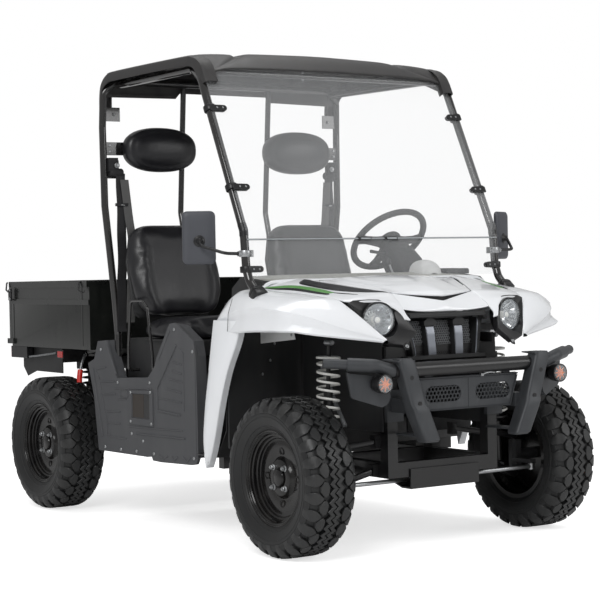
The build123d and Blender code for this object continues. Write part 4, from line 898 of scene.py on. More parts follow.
def crown(across):
    """Radius of the tread's face at a distance from the tyre's middle."""
    x = abs(across)
    rows = [(0, 317.5), (55, 317.2), (74, 315.0), (88, 308.0), (98, 298.5), (106, 286.0),
            (112, 272.0), (116, 262.0)]
    for (x0, r0), (x1, r1) in zip(rows, rows[1:]):
        if x <= x1:
            return r0 + (r1 - r0) * (x - x0) / (x1 - x0)
    return rows[-1][1]


def on_tyre(across, around, radius):
    """A place on the tyre: across it, round it along the tread, and out from the axle."""
    angle = around / TREAD_TOP
    return Vector((across, -radius * math.sin(angle), radius * math.cos(angle)))


def tread_block(shape, side, middle, stations, depth):
    """A tread block: stations of (across, half length round the tyre), its top edge eased."""
    ease = BLOCK_EASE
    rows = []
    inner, outer = stations[0], stations[-1]
    ends = [(inner[0] - 0.8, inner[1], -ease)]
    ends += [(x, half, 0.0) for x, half in stations]
    ends.append((outer[0] + 0.8, outer[1], -ease))
    for across, half, drop in ends:
        x = across * side
        top = crown(x) + drop
        base = crown(x) - depth - BLOCK_ROOT
        edge = top - (ease * 0.9 if drop == 0 else 0)
        flat = max(half - ease, 0.5)
        rows.append([
            on_tyre(x, middle - half - 1.5, base), on_tyre(x, middle - half, edge),
            on_tyre(x, middle - flat, top), on_tyre(x, middle, top), on_tyre(x, middle + flat, top),
            on_tyre(x, middle + half, edge), on_tyre(x, middle + half + 1.5, base)])
    shape.loft(rows, 0, False, False)
    for row in (rows[0], rows[-1]):
        shape.add(row, [tuple(range(7))])


def tread_pitch(pitch, depth):
    """One repeat of the tread: two zigzag ribs, hexagon blocks and shoulder lugs."""
    shape = Shape()
    for x0, x1 in ((-25.0, -3.2), (3.2, 25.0)):
        rows = []
        for around, swing in ((0.0, 9.5), (pitch / 4, -9.5), (pitch / 2, 9.5), (pitch * 0.75, -9.5),
                              (pitch, 9.5)):
            a, b = x0 + swing, x1 + swing
            rows.append([on_tyre(a - 1, around, crown(a) - depth - BLOCK_ROOT),
                         on_tyre(a, around, crown(a) - 1.8), on_tyre(a + 1.8, around, crown(a)),
                         on_tyre(b - 1.8, around, crown(b)), on_tyre(b, around, crown(b) - 1.8),
                         on_tyre(b + 1, around, crown(b) - depth - BLOCK_ROOT)])
        shape.loft(rows, 0, False, False)
    for side, middle in ((1, pitch * 0.5), (-1, pitch)):
        tread_block(shape, side, middle,
                    [(37.0, 12.0), (42.0, 25.5), (48.0, 30.5), (58.0, 30.0), (66.0, 22.0),
                     (74.0, 11.0)], depth)
        tread_block(shape, side, middle + pitch / 2,
                    [(61.0, 4.0), (70.0, 13.5), (80.0, 22.5), (90.0, 25.0),
                     (99.0, 24.5), (107.0, 21.0), (111.5, 15.0)], depth * 0.85)
    return shape


def build_tyres():
    """A turned casing with raised rings on its walls, under a ring of repeated tread."""
    s = sizes()
    depth = s.tread_depth / MM
    pitch = 2 * math.pi * TREAD_TOP / s.tread_pitches
    lugs = tread_pitch(pitch, depth).mesh("tread_pitch", ["Tyre tread"], merge=0.01, sharp=28)
    ring = through_tree(lugs, ring_tree(),
                        {"Count": s.tread_pitches, "Finish": bpy.data.materials["Tyre tread"]},
                        "tread_ring")
    casing = Shape()
    outer = [(60.0, 178.4), (81.8, 178.4), (84.5, 181.0), (85.5, 190.0), (91.5, 194.5),
             (93.5, 198.5), (97.0, 202.0), (103.5, 216.0), (109.0, 232.0), (112.2, 248.0),
             (112.4, 256.0), (110.6, 258.0), (111.6, 262.0), (109.5, 272.0), (104.5, 284.0)]
    shoulder = [(x, crown(x) - depth - 1.0) for x in (98.0, 88.0, 74.0, 55.0, 30.0, 0.0)]
    half = smooth_line([(x, r, 0) for x, r in outer + shoulder], 2)
    profile = [(p.x, p.y) for p in half] + [(-p.x, p.y) for p in reversed(half[:-1])]
    casing.turned((0, 0, 0), (1, 0, 0), profile, 108, ring=True)
    # fine raised rings on the walls
    for side in SIDES:
        for r, x in ((207.0, 99.6), (243.5, 111.5)):
            casing.turned((0, 0, 0), (1, 0, 0),
                          [(side * (x - 2), r - 2.2), (side * (x + 1.1), r - 1.2),
                           (side * (x + 1.1), r + 1.2), (side * (x - 2), r + 2.2)], 108, ring=True)
    wall = casing.mesh("casing", ["Tyre side"], sharp=40)
    for name, body, side, y, x in WHEELS:
        data = joined([wall, ring], f"tyre_{name}_finished", ["Tyre side", "Tyre tread"], 30)
        data.transform(Matrix.Translation(Vector((x, y, AXLE_Z)) * MM))
        settle(data, f"tyre_{name}_finished", body, (f"tyre_{name}",))


# the rim's closed section: outward from the wheel's middle, radius
RIM_BARREL = [(-88.2, 190.0), (-84.0, 191.0), (-82.4, 188.0), (-82.4, 178.0), (-60, 177.8),
              (-40, 165.0), (30, 165.0), (50, 177.8), (82.4, 178.0), (82.4, 188.0), (84.0, 191.0),
              (87.5, 190.6), (88.6, 187.5), (86.6, 184.0), (83.0, 181.8), (82.0, 176.6),
              (78.0, 173.6), (70.0, 172.8), (68.0, 170.0), (67.0, 166.2), (62.0, 164.6),
              (54.0, 163.8), (52.0, 161.0), (51.0, 157.4), (46.0, 155.8), (42.0, 155.0),
              (39.5, 151.0), (39.0, 146.0), (40.5, 138.0), (41.5, 120.0), (38.0, 96.0),
              (37.0, 84.0), (43.0, 76.0), (52.0, 71.0), (54.0, 66.0), (54.0, 42.0), (50.0, 36.0),
              (50.0, 27.0), (44.0, 25.0), (28.0, 25.0), (27.0, 60.0), (30.0, 110.0), (33.0, 148.0),
              (24.0, 158.6), (-36, 158.6), (-58.0, 171.4), (-88.0, 171.6)]


def build_rims():
    """Steel rims: stepped outer lip, deep dish, hub cap and four nuts."""
    for name, body, side, y, x in WHEELS:
        rim = Shape()
        centre, axis = (x, y, AXLE_Z), (side, 0, 0)
        rim.turned(centre, axis, RIM_BARREL, 96, ring=True)
        rim.turned(centre, axis,
                   [(44.0, 0), (44.0, 36.0), (58.0, 35.0), (63.0, 32.0), (65.0, 27.0), (65.0, 0)],
                   40)
        hub = Vector((x, y, AXLE_Z))
        for k in range(4):
            angle = math.radians(45 + 90 * k)
            spot = hub + Vector((side * 53.0, 56 * math.cos(angle), 56 * math.sin(angle)))
            rim.turned(spot, axis, [(0, 0), (0, 12.5), (3.0, 12.5), (4.5, 10.6), (4.5, 0)], 20, 1)
            rim.hexagon(spot + Vector((side * 4.0, 0, 0)), axis, 17.0, 11.0, 1, start=angle)
            rim.turned(spot + Vector((side * 14.0, 0, 0)), axis,
                       [(0, 0), (0, 6.0), (5.0, 5.2), (6.4, 3.0), (6.4, 0)], 14, 1)
            # pressed dimples between the hub and the dish
            lobe = math.radians(90 * k)
            out = hub + Vector((side * 39.2, 104 * math.cos(lobe), 104 * math.sin(lobe)))
            rim.turned(out, axis,
                       [(-3.0, 15.0), (2.6, 15.0), (3.6, 12.5), (1.6, 9.0), (-1.0, 8.0), (-1.0, 0)],
                       24)
        # valve stem
        stem = hub + Vector((side * 74.0, 0, -164.0))
        rim.turned(stem, (side, 0, 0.35),
                   [(-8, 0), (-8, 6), (2, 5.2), (10, 4.2), (22, 4.0), (24, 3.0), (24, 0)], 14, 2)
        rim.piece(f"rim_{name}_finished", ["Rim gloss", "Zinc", "Tyre side"], body, "rim_black",
                  (f"rim_{name}",), sharp=26)


# ---------------------------------------------------------------- front body
def skin_ring(outer, wall):
    """A closed outline: an open one with its copy set inboard and down."""
    return outer + [(x - wall * 0.8, y, z - wall * 0.8) for x, y, z in reversed(outer)]


# columns: y, then x and z of the hood line, the crease and the arch's lip
FENDER_ROWS = [
    (-606.0, 634, 938, 700, 905, 704, 868),
    (-640.0, 616, 990, 702, 932, 706, 872),
    (-690.0, 606, 1040, 703, 950, 707, 880),
    (-738.0, 602, 1057, 703, 962, 708, 887),
    (-800.0, 598, 1059, 708, 976, 714, 890),
    (-870.0, 590, 1051, 715, 981, 720, 893),
    (-950.0, 562, 1043, 713, 986, 721, 896),
    (-1030.0, 528, 1036, 709, 981, 719, 897),
    (-1105.0, 496, 1026, 698, 974, 718, 898),
    (-1160.0, 472, 1016, 659, 960, 688, 896),
    (-1217.0, 448, 978, 608, 938, 645, 886),
    (-1270.0, 405, 922, 500, 896, 520, 868),
    (-1320.0, 360, 863, 381, 858, 388, 850),
    (-1328.0, 355, 855, 372, 851, 378, 846),
]
# columns: front edge y, rear edge y, z of the leg's sections
LEG_ROWS = [(-800, -603, 932), (-772, -584, 850), (-694, -556, 725), (-640, -527, 599),
            (-606, -510, 495), (-584, -504, 431), (-557, -511, 368), (-530, -521, 318)]


def fender_section(y, xa, za, xc, zc, xd, zd):
    """Across one fender: crowned top, crease, inset flank, rolled lip."""
    inset = 7.0 * min(1.0, (zc - zd) / 60.0)
    return [(xa, y, za - 14), (xa + 1, y, za - 2), (xa + (xc - xa) * 0.14, y, za + 0.5),
            (xa + (xc - xa) * 0.42, y, za - (za - zc) * 0.06),
            (xa + (xc - xa) * 0.7, y, za - (za - zc) * 0.28),
            (xa + (xc - xa) * 0.9, y, za - (za - zc) * 0.7), (xc, y, zc),
            (xc - inset * 0.7, y, zc - (zc - zd) * 0.16), (xc - inset, y, zc - (zc - zd) * 0.3),
            (xc - inset * 0.4, y, zc - (zc - zd) * 0.65), (xd, y, zd), (xd - 5, y, zd - 4),
            (xd - 16, y, zd - 2)]


def build_fenders():
    """Crowned fenders with a rolled lip, the bowed legs behind them, and the seams."""
    fender = Shape()
    net = smooth_net([fender_section(*row) for row in FENDER_ROWS], 5, 1)
    fender.loft([skin_ring([tuple(p) for p in row], 4.0) for row in net])
    # leg down to the floor, bowed outward, its edges returned inboard
    rows = []
    for front, rear, z in LEG_ROWS:
        wide = rear - front
        bow = min(12.0, wide * 0.12)
        rows.append([(664, front + 6, z), (694, front + 2, z),
                     (700, front + min(12, wide * 0.2), z),
                     (700 + bow * 0.7, front + wide * 0.3, z), (700 + bow, front + wide * 0.55, z),
                     (700 + bow * 0.8, front + wide * 0.8, z), (701, rear - 5, z), (694, rear, z),
                     (664, rear - 3, z)])
    leg = smooth_net(rows, 4, 1)
    fender.loft([skin_ring([tuple(p) for p in row], 3.5) for row in leg])
    fender.mirror()
    fender.piece("fenders_finished", ["Body gloss"], "chassis", "body_white", ("fenders",),
                 edge=1.2, sharp=34)
    # dark line of the seam between fender and leg
    seam = Shape()
    seam.tube([(717.0, -738, 888), (711.0, -738, 962), (690.0, -738, 1020)], 1.1, 20, 8)
    seam.mirror()
    seam.piece("fender_seams", ["Glove mould"], "chassis", "trim_black")


def build_hood():
    """The lid: a raised middle, then a chin that folds down to the V over the nose."""
    across = [-1.0, -0.86, -0.74, -0.64, -0.4, -0.18, 0.0, 0.18, 0.4, 0.64, 0.74, 0.86, 1.0]
    shares = [0.0, 0.15, 0.35, 0.55, 0.75, 0.88, 0.955, 1.0]
    middle = [1097.0, 1094.0, 1086.0, 1074.0, 1058.0, 1045.0, 1036.0, 1019.0]
    rows = []
    for share, peak in zip(shares, middle):
        row = []
        for u in across:
            rear = Vector((375 * u, -852.0, 0))
            front = Vector((204 * u, -1239.0 + 69.0 * abs(u), 0))
            spot = rear.lerp(front, share)
            edge = 1083.0 + (1034.0 - 1083.0) * share
            fall = min(1.0, max(0.0, (abs(u) - 0.64) / 0.1))
            plateau = (0.66 if share < 1 else 0.0) * (1 - fall)
            bend = abs(u) ** 1.4
            row.append((spot.x, spot.y, peak + (edge - peak) * bend + plateau * 9.0 * (1 - share)))
        rows.append(row)
    net = smooth_net(rows[:-1], 3, 2)
    tip = smooth_line([Vector(p) for p in rows[-1]], 2)
    net.append(tip)
    lid = Shape()
    lid.loft(walled(net, 0.985, 2, 5))
    lid.piece("hood_finished", ["Body gloss"], "hood_lid", "body_white", ("hood",), edge=1.0,
              sharp=36)
    hinge = Shape()
    for side in SIDES:
        hinge.box(side * 300 - 38, side * 300 + 38, -859, -853, 1066, 1088)
        hinge.turned((side * 300 - 38, -856, 1066), (1, 0, 0),
                     [(0, 4.1), (0, 8), (76, 8), (76, 4.1)], 24, ring=True)
    hinge.piece("hood_hinges", ["Zinc"], "hood_lid", "steel", edge=0.6)


# columns: y, inner x, inner z, outer x, outer z of the panel beside the lid
WING_ROWS = [(-812.4, 390, 1092, 592, 1062), (-880, 370, 1083, 583, 1051),
             (-960, 326, 1069, 554, 1044), (-1030, 289, 1057, 526, 1037),
             (-1105, 248, 1043, 495, 1026), (-1170, 213, 1031, 467, 1014),
             (-1203, 215, 1013, 442, 1006), (-1240, 220, 990, 332, 1001),
             (-1268, 224, 966, 276, 978), (-1288, 226, 946, 254, 955), (-1299, 216, 927, 241, 930)]
# columns: finish, then pairs of edges: x, y of one, x, y of the other
STRIPES = [
    ("Stripe film", [(-578, -816, -590, -816), (-548, -846, -562, -862), (-508, -884, -528, -905),
                     (-474, -936, -506, -950), (-452, -1000, -487, -1018),
                     (-440, -1060, -470, -1068), (-434, -1094, -460, -1090)]),
    # painted shadow: this dark strip just outboard of the green one stands for the shadow in the
    # gap between the fender and the panel beside the lid
    ("Blade film",
     [(-592, -818, -590.5, -823), (-562.5, -864, -570, -878), (-529, -908, -545, -925),
      (-507, -953, -526, -972), (-488, -1021, -505, -1042), (-471, -1071, -482, -1090),
      (-461, -1092, -466, -1102)]),
    ("Blade film", [(-397, -832, -404, -838), (-372, -880, -460, -884), (-346, -930, -457, -940),
                    (-318, -985, -443, -1000), (-288, -1040, -423, -1056),
                    (-258, -1098, -380, -1108), (-234, -1144, -310, -1150),
                    (-221, -1166, -228, -1169)]),
    ("Blade film",
     [(-436, -1092, -442, -1096), (-412, -1118, -420, -1124), (-388, -1146, -394, -1150),
      (-372, -1164, -374, -1166)]),
]


def wing_net():
    """The panel beside the lid, folding down between the lamp and the grille."""
    rows = []
    for y, x0, z0, x1, z1 in WING_ROWS:
        rise = 7.0 * min(1.0, (x1 - x0) / 180.0)
        wide = x1 - x0
        rows.append([(x0, y, z0), (x0 + wide * 0.07, y, z0 + rise * 0.5),
                     (x0 + wide * 0.33, y, z0 + (z1 - z0) * 0.3 + rise),
                     (x0 + wide * 0.66, y, z0 + (z1 - z0) * 0.62 + rise),
                     (x0 + wide * 0.93, y, z1 + rise * 0.4), (x1, y, z1 - 1)])
    return smooth_net(rows, 5, 3)


def build_front_cover():
    """Panels beside the lid, nose under its V, cowl, dark slit and tray, the stripes, and a dark
    strip painted as the shadow in the gap at the fender.
    """
    net = wing_net()
    panel = Shape()
    panel.loft(walled(net, 1.0, 1.5, 4.5))
    panel.mirror()
    # panel under the lid's V
    nose = []
    for share, bulge in ((0.0, 0.0), (0.1, 3.0), (0.4, 7.0), (0.75, 6.0), (0.93, 2.0), (1.0, -3.0)):
        row = []
        for u in (-1.0, -0.8, -0.5, -0.2, 0.0, 0.2, 0.5, 0.8, 1.0):
            a = Vector((213 * u, -1243.0 + 74 * abs(u), 997.0 + 34 * abs(u)))
            b = Vector((222 * u, -1259.0 - 6 * abs(u), 954.0 + 14 * abs(u) ** 3))
            spot = a.lerp(b, share)
            row.append((spot.x, spot.y - bulge, spot.z))
        nose.append(row)
    net = smooth_net(nose, 2, 2)
    panel.loft(walled(net, 1.0, 5, 1))
    # raised cowl ahead of the screen's foot, with its two fairings
    cowl = []
    for y, drop in ((-819, 5.0), (-812, 0.0), (-802, 1.0), (-790, 6.0)):
        cowl.append([(x, y, z - drop - (2.0 if y == -819 else 0)) for x, z in (
            (-592, 1066), (-572, 1080), (-545, 1090), (-500, 1094), (-430, 1096), (-395, 1096),
            (-300, 1095), (-120, 1096), (0, 1097), (120, 1096), (300, 1095), (395, 1096),
            (430, 1096), (500, 1094), (545, 1090), (572, 1080), (592, 1066))])
    net = smooth_net(cowl, 3, 2)
    panel.loft(walled(net, 1.0, 0, 6))
    panel.piece("front_cover_finished", ["Body gloss"], "chassis", "body_white", ("front_cover",),
                edge=1.0, sharp=36)

    # the dark slit behind the V
    slit = Shape()
    line = [(-196, -1164, 1024, 4), (-100, -1196, 1008, 14), (0, -1226, 992, 20),
            (100, -1196, 1008, 14), (196, -1164, 1024, 4)]
    slit.loft([[(x, y + 6, z - 14), (x, y + 6, z + tall), (x, y + 12, z + tall),
                (x, y + 12, z - 14)]
               for x, y, z, tall in line])
    slit.piece("nose_slit", ["Glove mould"], "chassis", "trim_black", sharp=40)
    # dark tray under the lid's rear edge
    tray = Shape()
    tray.box(-384, 384, -872, -806, 1014, 1019)
    tray.plate_x(-384, 384, [(-811, 1014), (-806, 1014), (-806, 1082), (-811, 1082)])
    tray.piece("cowl_tray", ["Glove mould"], "chassis", "trim_black", edge=1.0)

    film = Shape()
    kinds = ["Stripe film", "Blade film"]
    surface = Shape()
    surface.loft([[tuple(p) for p in row] for row in wing_net()], 0, False, False)
    surface.mirror()
    skin = skin_of(surface.mesh("wing_skin", ["Body gloss"]))
    for side in SIDES:
        for coat, rows in STRIPES if side > 0 else STRIPES[:2]:
            fine = smooth_line([Vector((a, b, 0)) for a, b, _, _ in rows], 4)
            other = smooth_line([Vector((c, d, 0)) for _, _, c, d in rows], 4)
            laid_strip(film, skin,
                       [((p.x * side, p.y), (q.x * side, q.y)) for p, q in zip(fine, other)], 0.6,
                       4, kinds.index(coat))
    film.piece("hood_stripes", kinds, "chassis", "trim_black", turn_out=False, wall=0.4,
               wall_side=1.0)


# ---------------------------------------------------------------- headlights
LAMP = Vector((338.7, -1253.0, 929.4))
LAMP_TURN = math.radians(12.8)
LAMP_AIM = Vector((math.sin(LAMP_TURN), -math.cos(LAMP_TURN), 0))
LAMP_ACROSS = Vector((math.cos(LAMP_TURN), math.sin(LAMP_TURN), 0))


def build_lamps():
    """Clear lens over a faceted, ribbed bowl with a shaded bulb."""
    glass, bowl = Shape(), Shape()
    dome = [(-30, 66.0), (2, 66.4), (10, 64.5), (16, 58.0), (21, 44.0), (24, 24.0), (25, 0)]
    inner = [(22, 0), (21, 24.0), (18, 43.0), (13, 56.0), (7, 61.8), (0, 63.4), (-30, 63.4)]
    glass.turned(LAMP, LAMP_AIM, dome + inner, 72, ring=True)
    bowl.turned(LAMP, LAMP_AIM,
                [(-2, 65.9), (1, 63.0), (-4, 60.5), (-8, 60.0), (-12, 55.0), (-26, 46.0),
                 (-38, 30.0), (-44, 12.0), (-44, 0), (-52, 0), (-52, 62.0)], 72, 0)
    for k in range(18):
        a = 2 * math.pi * k / 18
        out = LAMP_ACROSS * math.cos(a) + Vector((0, 0, math.sin(a)))
        tangent = LAMP_ACROSS * -math.sin(a) + Vector((0, 0, math.cos(a)))
        rib = []
        for depth, r, half in ((-9, 57.5, 4.4), (-24, 46.0, 3.6), (-37, 29.5, 2.4)):
            centre = LAMP + LAMP_AIM * depth + out * r
            rib.append([centre - tangent * half, centre - out * 2.4 + LAMP_AIM * 1.2,
                        centre + tangent * half, centre + out * 3])
        bowl.loft(rib)
    bowl.turned(LAMP, LAMP_AIM, [(-46, 0), (-46, 15), (-18, 13.5), (-9, 11.5), (-5, 7.0), (-4, 0)],
                28, 1)
    bowl.turned(LAMP, LAMP_AIM, [(-14, 13.8), (-12, 18.0), (-10.4, 18.0), (-10.4, 12.0)], 28, 0,
                ring=True)
    # dark trim ring
    bowl.turned(LAMP, LAMP_AIM, [(-6, 66.6), (3, 67.4), (5.5, 69.6), (3.5, 71.6), (-6, 72.0)], 72,
                2, ring=True)
    glass.mirror()
    bowl.mirror()
    glass.piece("headlight_lenses_finished", ["Lens clear"], "chassis", "lens_clear",
                ("headlight_lenses",), sharp=50)
    bowl.piece("headlight_bowls", ["Reflector chrome", "Bulb", "Glove mould"], "chassis",
               "lens_clear", sharp=34)


BEZEL_RAKE = math.radians(29)
BEZEL_HOLE = 73.0
BEZEL_LINE = [(128, 80), (104, 92), (40, 94), (-6, 92), (-44, 70), (-76, 42), (-112, -12),
              (-138, -58), (-112, -84), (-78, -116), (-30, -108), (2, -98), (50, -40), (96, 30)]


def build_bezels():
    """Faceted dark surrounds, recessed toward the lamps, with a bolted tab below."""
    face = LAMP_AIM * math.cos(BEZEL_RAKE) + Vector((0, 0, math.sin(BEZEL_RAKE)))
    up = face.cross(LAMP_ACROSS)
    if up.z < 0:
        up = -up
    base = Vector((LAMP.x, -1276.0, LAMP.z))

    def spot(a, b, depth):
        """A place on the surround: across it, up it and out of it."""
        return base + LAMP_ACROSS * a + up * b + face * depth

    surround = Shape()
    rows = []
    for inset, depth in ((0.0, -24.0), (0.0, -3.0), (0.04, 0.5), (0.1, -1.0), (0.42, -14.0)):
        row = []
        for a, b in BEZEL_LINE:
            reach = math.hypot(a, b)
            share = inset if inset < 0.4 else 1.0
            target = Vector((a, b)) * (BEZEL_HOLE / reach if reach > BEZEL_HOLE else 0.98)
            spot_ab = Vector((a, b)).lerp(target, share)
            row.append(spot(spot_ab.x, spot_ab.y, depth))
        rows.append(row)
    last = []
    for a, b in BEZEL_LINE:
        reach = math.hypot(a, b)
        out = LAMP_ACROSS * (a / reach) + Vector((0, 0, b / reach))
        last.append(LAMP + out * BEZEL_HOLE - LAMP_AIM * 16)
    rows.append(last)
    rows.append([p - LAMP_AIM * 26 for p in last])
    surround.loft(rows + [rows[0]], ends=False)
    # tab and bolt below
    tab = [(-100, -86), (-62, -110), (-70, -134), (-88, -128)]
    surround.prism([spot(a, b, -6) for a, b in tab], face * 5)
    surround.mirror()
    surround.piece("headlight_bezels_finished", ["Glove mould"], "chassis", "bezel_black",
                   ("headlight_bezels",), edge=1.4, sharp=24)
    bolts = []
    for side in SIDES:
        p = spot(-80, -118, -1)
        bolts.append((p.x * side, p.y, p.z, (face.x * side, face.y, face.z)))
    fixings("bezel_bolts", bolts, bolt_head(), 1.5, "Zinc", "chassis")


# ---------------------------------------------------------------- grille
GRILLE_FACE = [(768, -1258.0), (800, -1254.0), (860, -1248.0), (903, -1243.0), (930, -1240.0)]
# columns: foot's inner and outer x, head's inner and outer x, z of foot and head, depth, finish
# of the face
GRILLE_BARS = [(49, 90, 52, 97, 774, 900, 58, 1), (152, 157, 178, 184, 772, 926, 50, 1),
               (157, 168, 184, 206, 772, 926, 40, 0)]
GRILLE_CELL = 11.0  # width of a cell of the honeycomb


def grille_face(z):
    """Y of the bars' faces at a height."""
    for (z0, y0), (z1, y1) in zip(GRILLE_FACE, GRILLE_FACE[1:]):
        if z <= z1:
            return y0 + (y1 - y0) * (z - z0) / (z1 - z0)
    return GRILLE_FACE[-1][1]


def build_grille():
    """Top bar, two broad satin bars, thin-edged outer blades, and honeycomb deep between them."""
    front = -1256.0
    grille = Shape()
    grille.plate_y(front + 76, front + 80,
                   [(-196, 769), (-226, 860), (-199, 950), (199, 950), (226, 860), (196, 769)])
    # top bar, with a pointed brow over each opening
    brow = [(-214, 916), (-203, 952), (203, 952), (214, 916), (184, 932), (60, 928), (-60, 928),
            (-184, 932)]
    grille.plate_y(front - 6, front + 30, brow)
    rows = []
    for y, top, low in ((front - 6, 948, 930), (front - 13, 944, 933), (front - 13, 938, 935)):
        rows.append([(-196, y, low), (-196, y, top), (196, y, top), (196, y, low)])
    grille.loft(rows)
    grille.plate_y(front - 4, front + 60, [(-200, 764), (-204, 778), (204, 778), (200, 764)])
    for side in SIDES:
        for x0, x1, x2, x3, z0, z1, depth, coat in GRILLE_BARS:
            flank, face = [], []
            for k in range(7):
                share = k / 6
                z = z0 + (z1 - z0) * share
                a, b = side * (x0 + (x2 - x0) * share), side * (x1 + (x3 - x1) * share)
                y = grille_face(z)
                ease = 6.0 if k in (0, 6) else 0.0
                flank.append([(a, y + depth, z), (a, y + 2, z), (b, y + 2, z), (b, y + depth, z)])
                inset = min(3.0, abs(b - a) * 0.2) * (1 if b > a else -1)
                face.append([(a + inset * 0.2, y + 3, z), (a + inset, y - 2 + ease, z),
                             (b - inset, y - 2 + ease, z), (b - inset * 0.2, y + 3, z)])
            grille.loft(flank, 0)
            grille.loft(face, coat)
        # pointed dark head over the broad bar
        head = [(side * 44, 898), (side * 105, 898), (side * 106, 916), (side * 77, 937),
                (side * 43, 916)]
        grille.prism([(x, -1248.0, z) for x, z in head], (0, 60, 0))
    grille.piece("grille_finished", ["Dark mould", "Satin bar"], "chassis", "trim_black",
                 ("grille",), edge=1.2, sharp=28)
    cells = Shape()
    pitch = GRILLE_CELL
    for x0, x1 in ((-152, -100), (-46, 46), (100, 152)):
        z, row = 786.0, 0
        while z < 918:
            x = x0 + (pitch / 2 if row % 2 else 0)
            while x <= x1:
                cells.turned((x, front + 34 + (z - 786) * 0.1, z), (0, -1, 0),
                             [(0, pitch * 0.56), (0, pitch * 0.43), (6, pitch * 0.43),
                              (6, pitch * 0.56)], 6, ring=True, start=math.radians(30))
                x += pitch
            z += pitch * 0.87
            row += 1
    cells.piece("grille_honeycomb", ["Underside grey"], "chassis", "trim_black", sharp=30)


# ---------------------------------------------------------------- side panels
PANEL_LINE = [(-321, 306), (-357, 312), (-374, 340), (-374, 621), (-368, 773), (-352, 838),
              (-226, 904), (-190, 912), (-155, 908), (-40, 760), (-17, 716), (12, 690), (43, 666),
              (323, 653), (412, 824), (500, 818), (538, 734), (600, 712), (548, 560), (511, 311),
              (60, 312), (21, 316), (11, 300), (-60, 298)]
PANEL_X = 645.0
# raised lines on the panel: y, z to y, z, width, rise
PANEL_RIBS = [
    (552, 690, 467, 378, 9, 5), (529, 684, 490, 641, 6, 3), (490, 641, 470, 575, 6, 3),
    (470, 575, 444, 499, 6, 3), (444, 499, 424, 439, 6, 3), (424, 439, 424, 389, 6, 3),
    (505, 688, 424, 699, 7, 3), (484, 630, 346, 637, 7, 3), (458, 573, 338, 579, 7, 3),
    (438, 496, 296, 500, 7, 3), (418, 442, 298, 446, 7, 3), (-212, 818, -40, 623, 9, 5),
    (-40, 623, -41, 525, 8, 4), (-41, 525, -235, 515, 9, 5), (-237, 805, -266, 780, 5, 2.5),
    (-266, 780, -266, 530, 5, 2.5), (-178, 742, -254, 734, 6, 3), (-168, 704, -252, 694, 6, 3),
    (-140, 668, -258, 657, 6, 3), (-120, 625, -250, 612, 6, 3), (-54, 579, -248, 570, 6, 3),
    (-360, 800, -360, 334, 7, 3), (348, 604, 8, 616, 6, 3), (320, 556, 240, 560, 6, 3),
    (221, 438, -252, 448, 7, 3), (156, 410, -271, 416, 8, 4), (426, 383, 246, 378, 7, 3),
    (292, 600, 226, 602, 5, 3), (226, 602, 226, 569, 5, 3), (226, 569, 292, 567, 5, 3),
    (292, 567, 292, 600, 5, 3), (-46, 328, -84, 312, 7, 3), (-84, 312, -120, 330, 7, 3),
    (-150, 332, -176, 314, 7, 3), (-176, 314, -205, 332, 7, 3), (-250, 336, -282, 316, 7, 3),
    (-282, 316, -310, 336, 7, 3), (412, 800, 328, 668, 8, 4), (-158, 880, -60, 752, 6, 3),
]
PANEL_SCREWS = [(446, 331), (298, 329), (154, 331), (-1, 331), (195, 408), (93, 381), (-340, 336),
                (26, 644), (316, 634), (-196, 884), (-345, 792), (470, 780)]


def rib(shape, a, b, width, rise):
    """A raised line on the side panel, its top narrower than its foot."""
    a, b = Vector((0, *a)), Vector((0, *b))
    run = (b - a).normalized()
    over = Vector((0, -run.z, run.y))
    rows = []
    for depth, half, pull in ((-1.0, width / 2 + 0.8, 0.0), (rise * 0.55, width / 2, 0.6),
                              (rise, width / 2 - 1.6, 2.0)):
        out = Vector((PANEL_X + depth, 0, 0))
        rows.append([out + a - over * half + run * pull, out + b - over * half - run * pull,
                     out + b + over * half - run * pull, out + a + over * half + run * pull])
    shape.loft(rows)


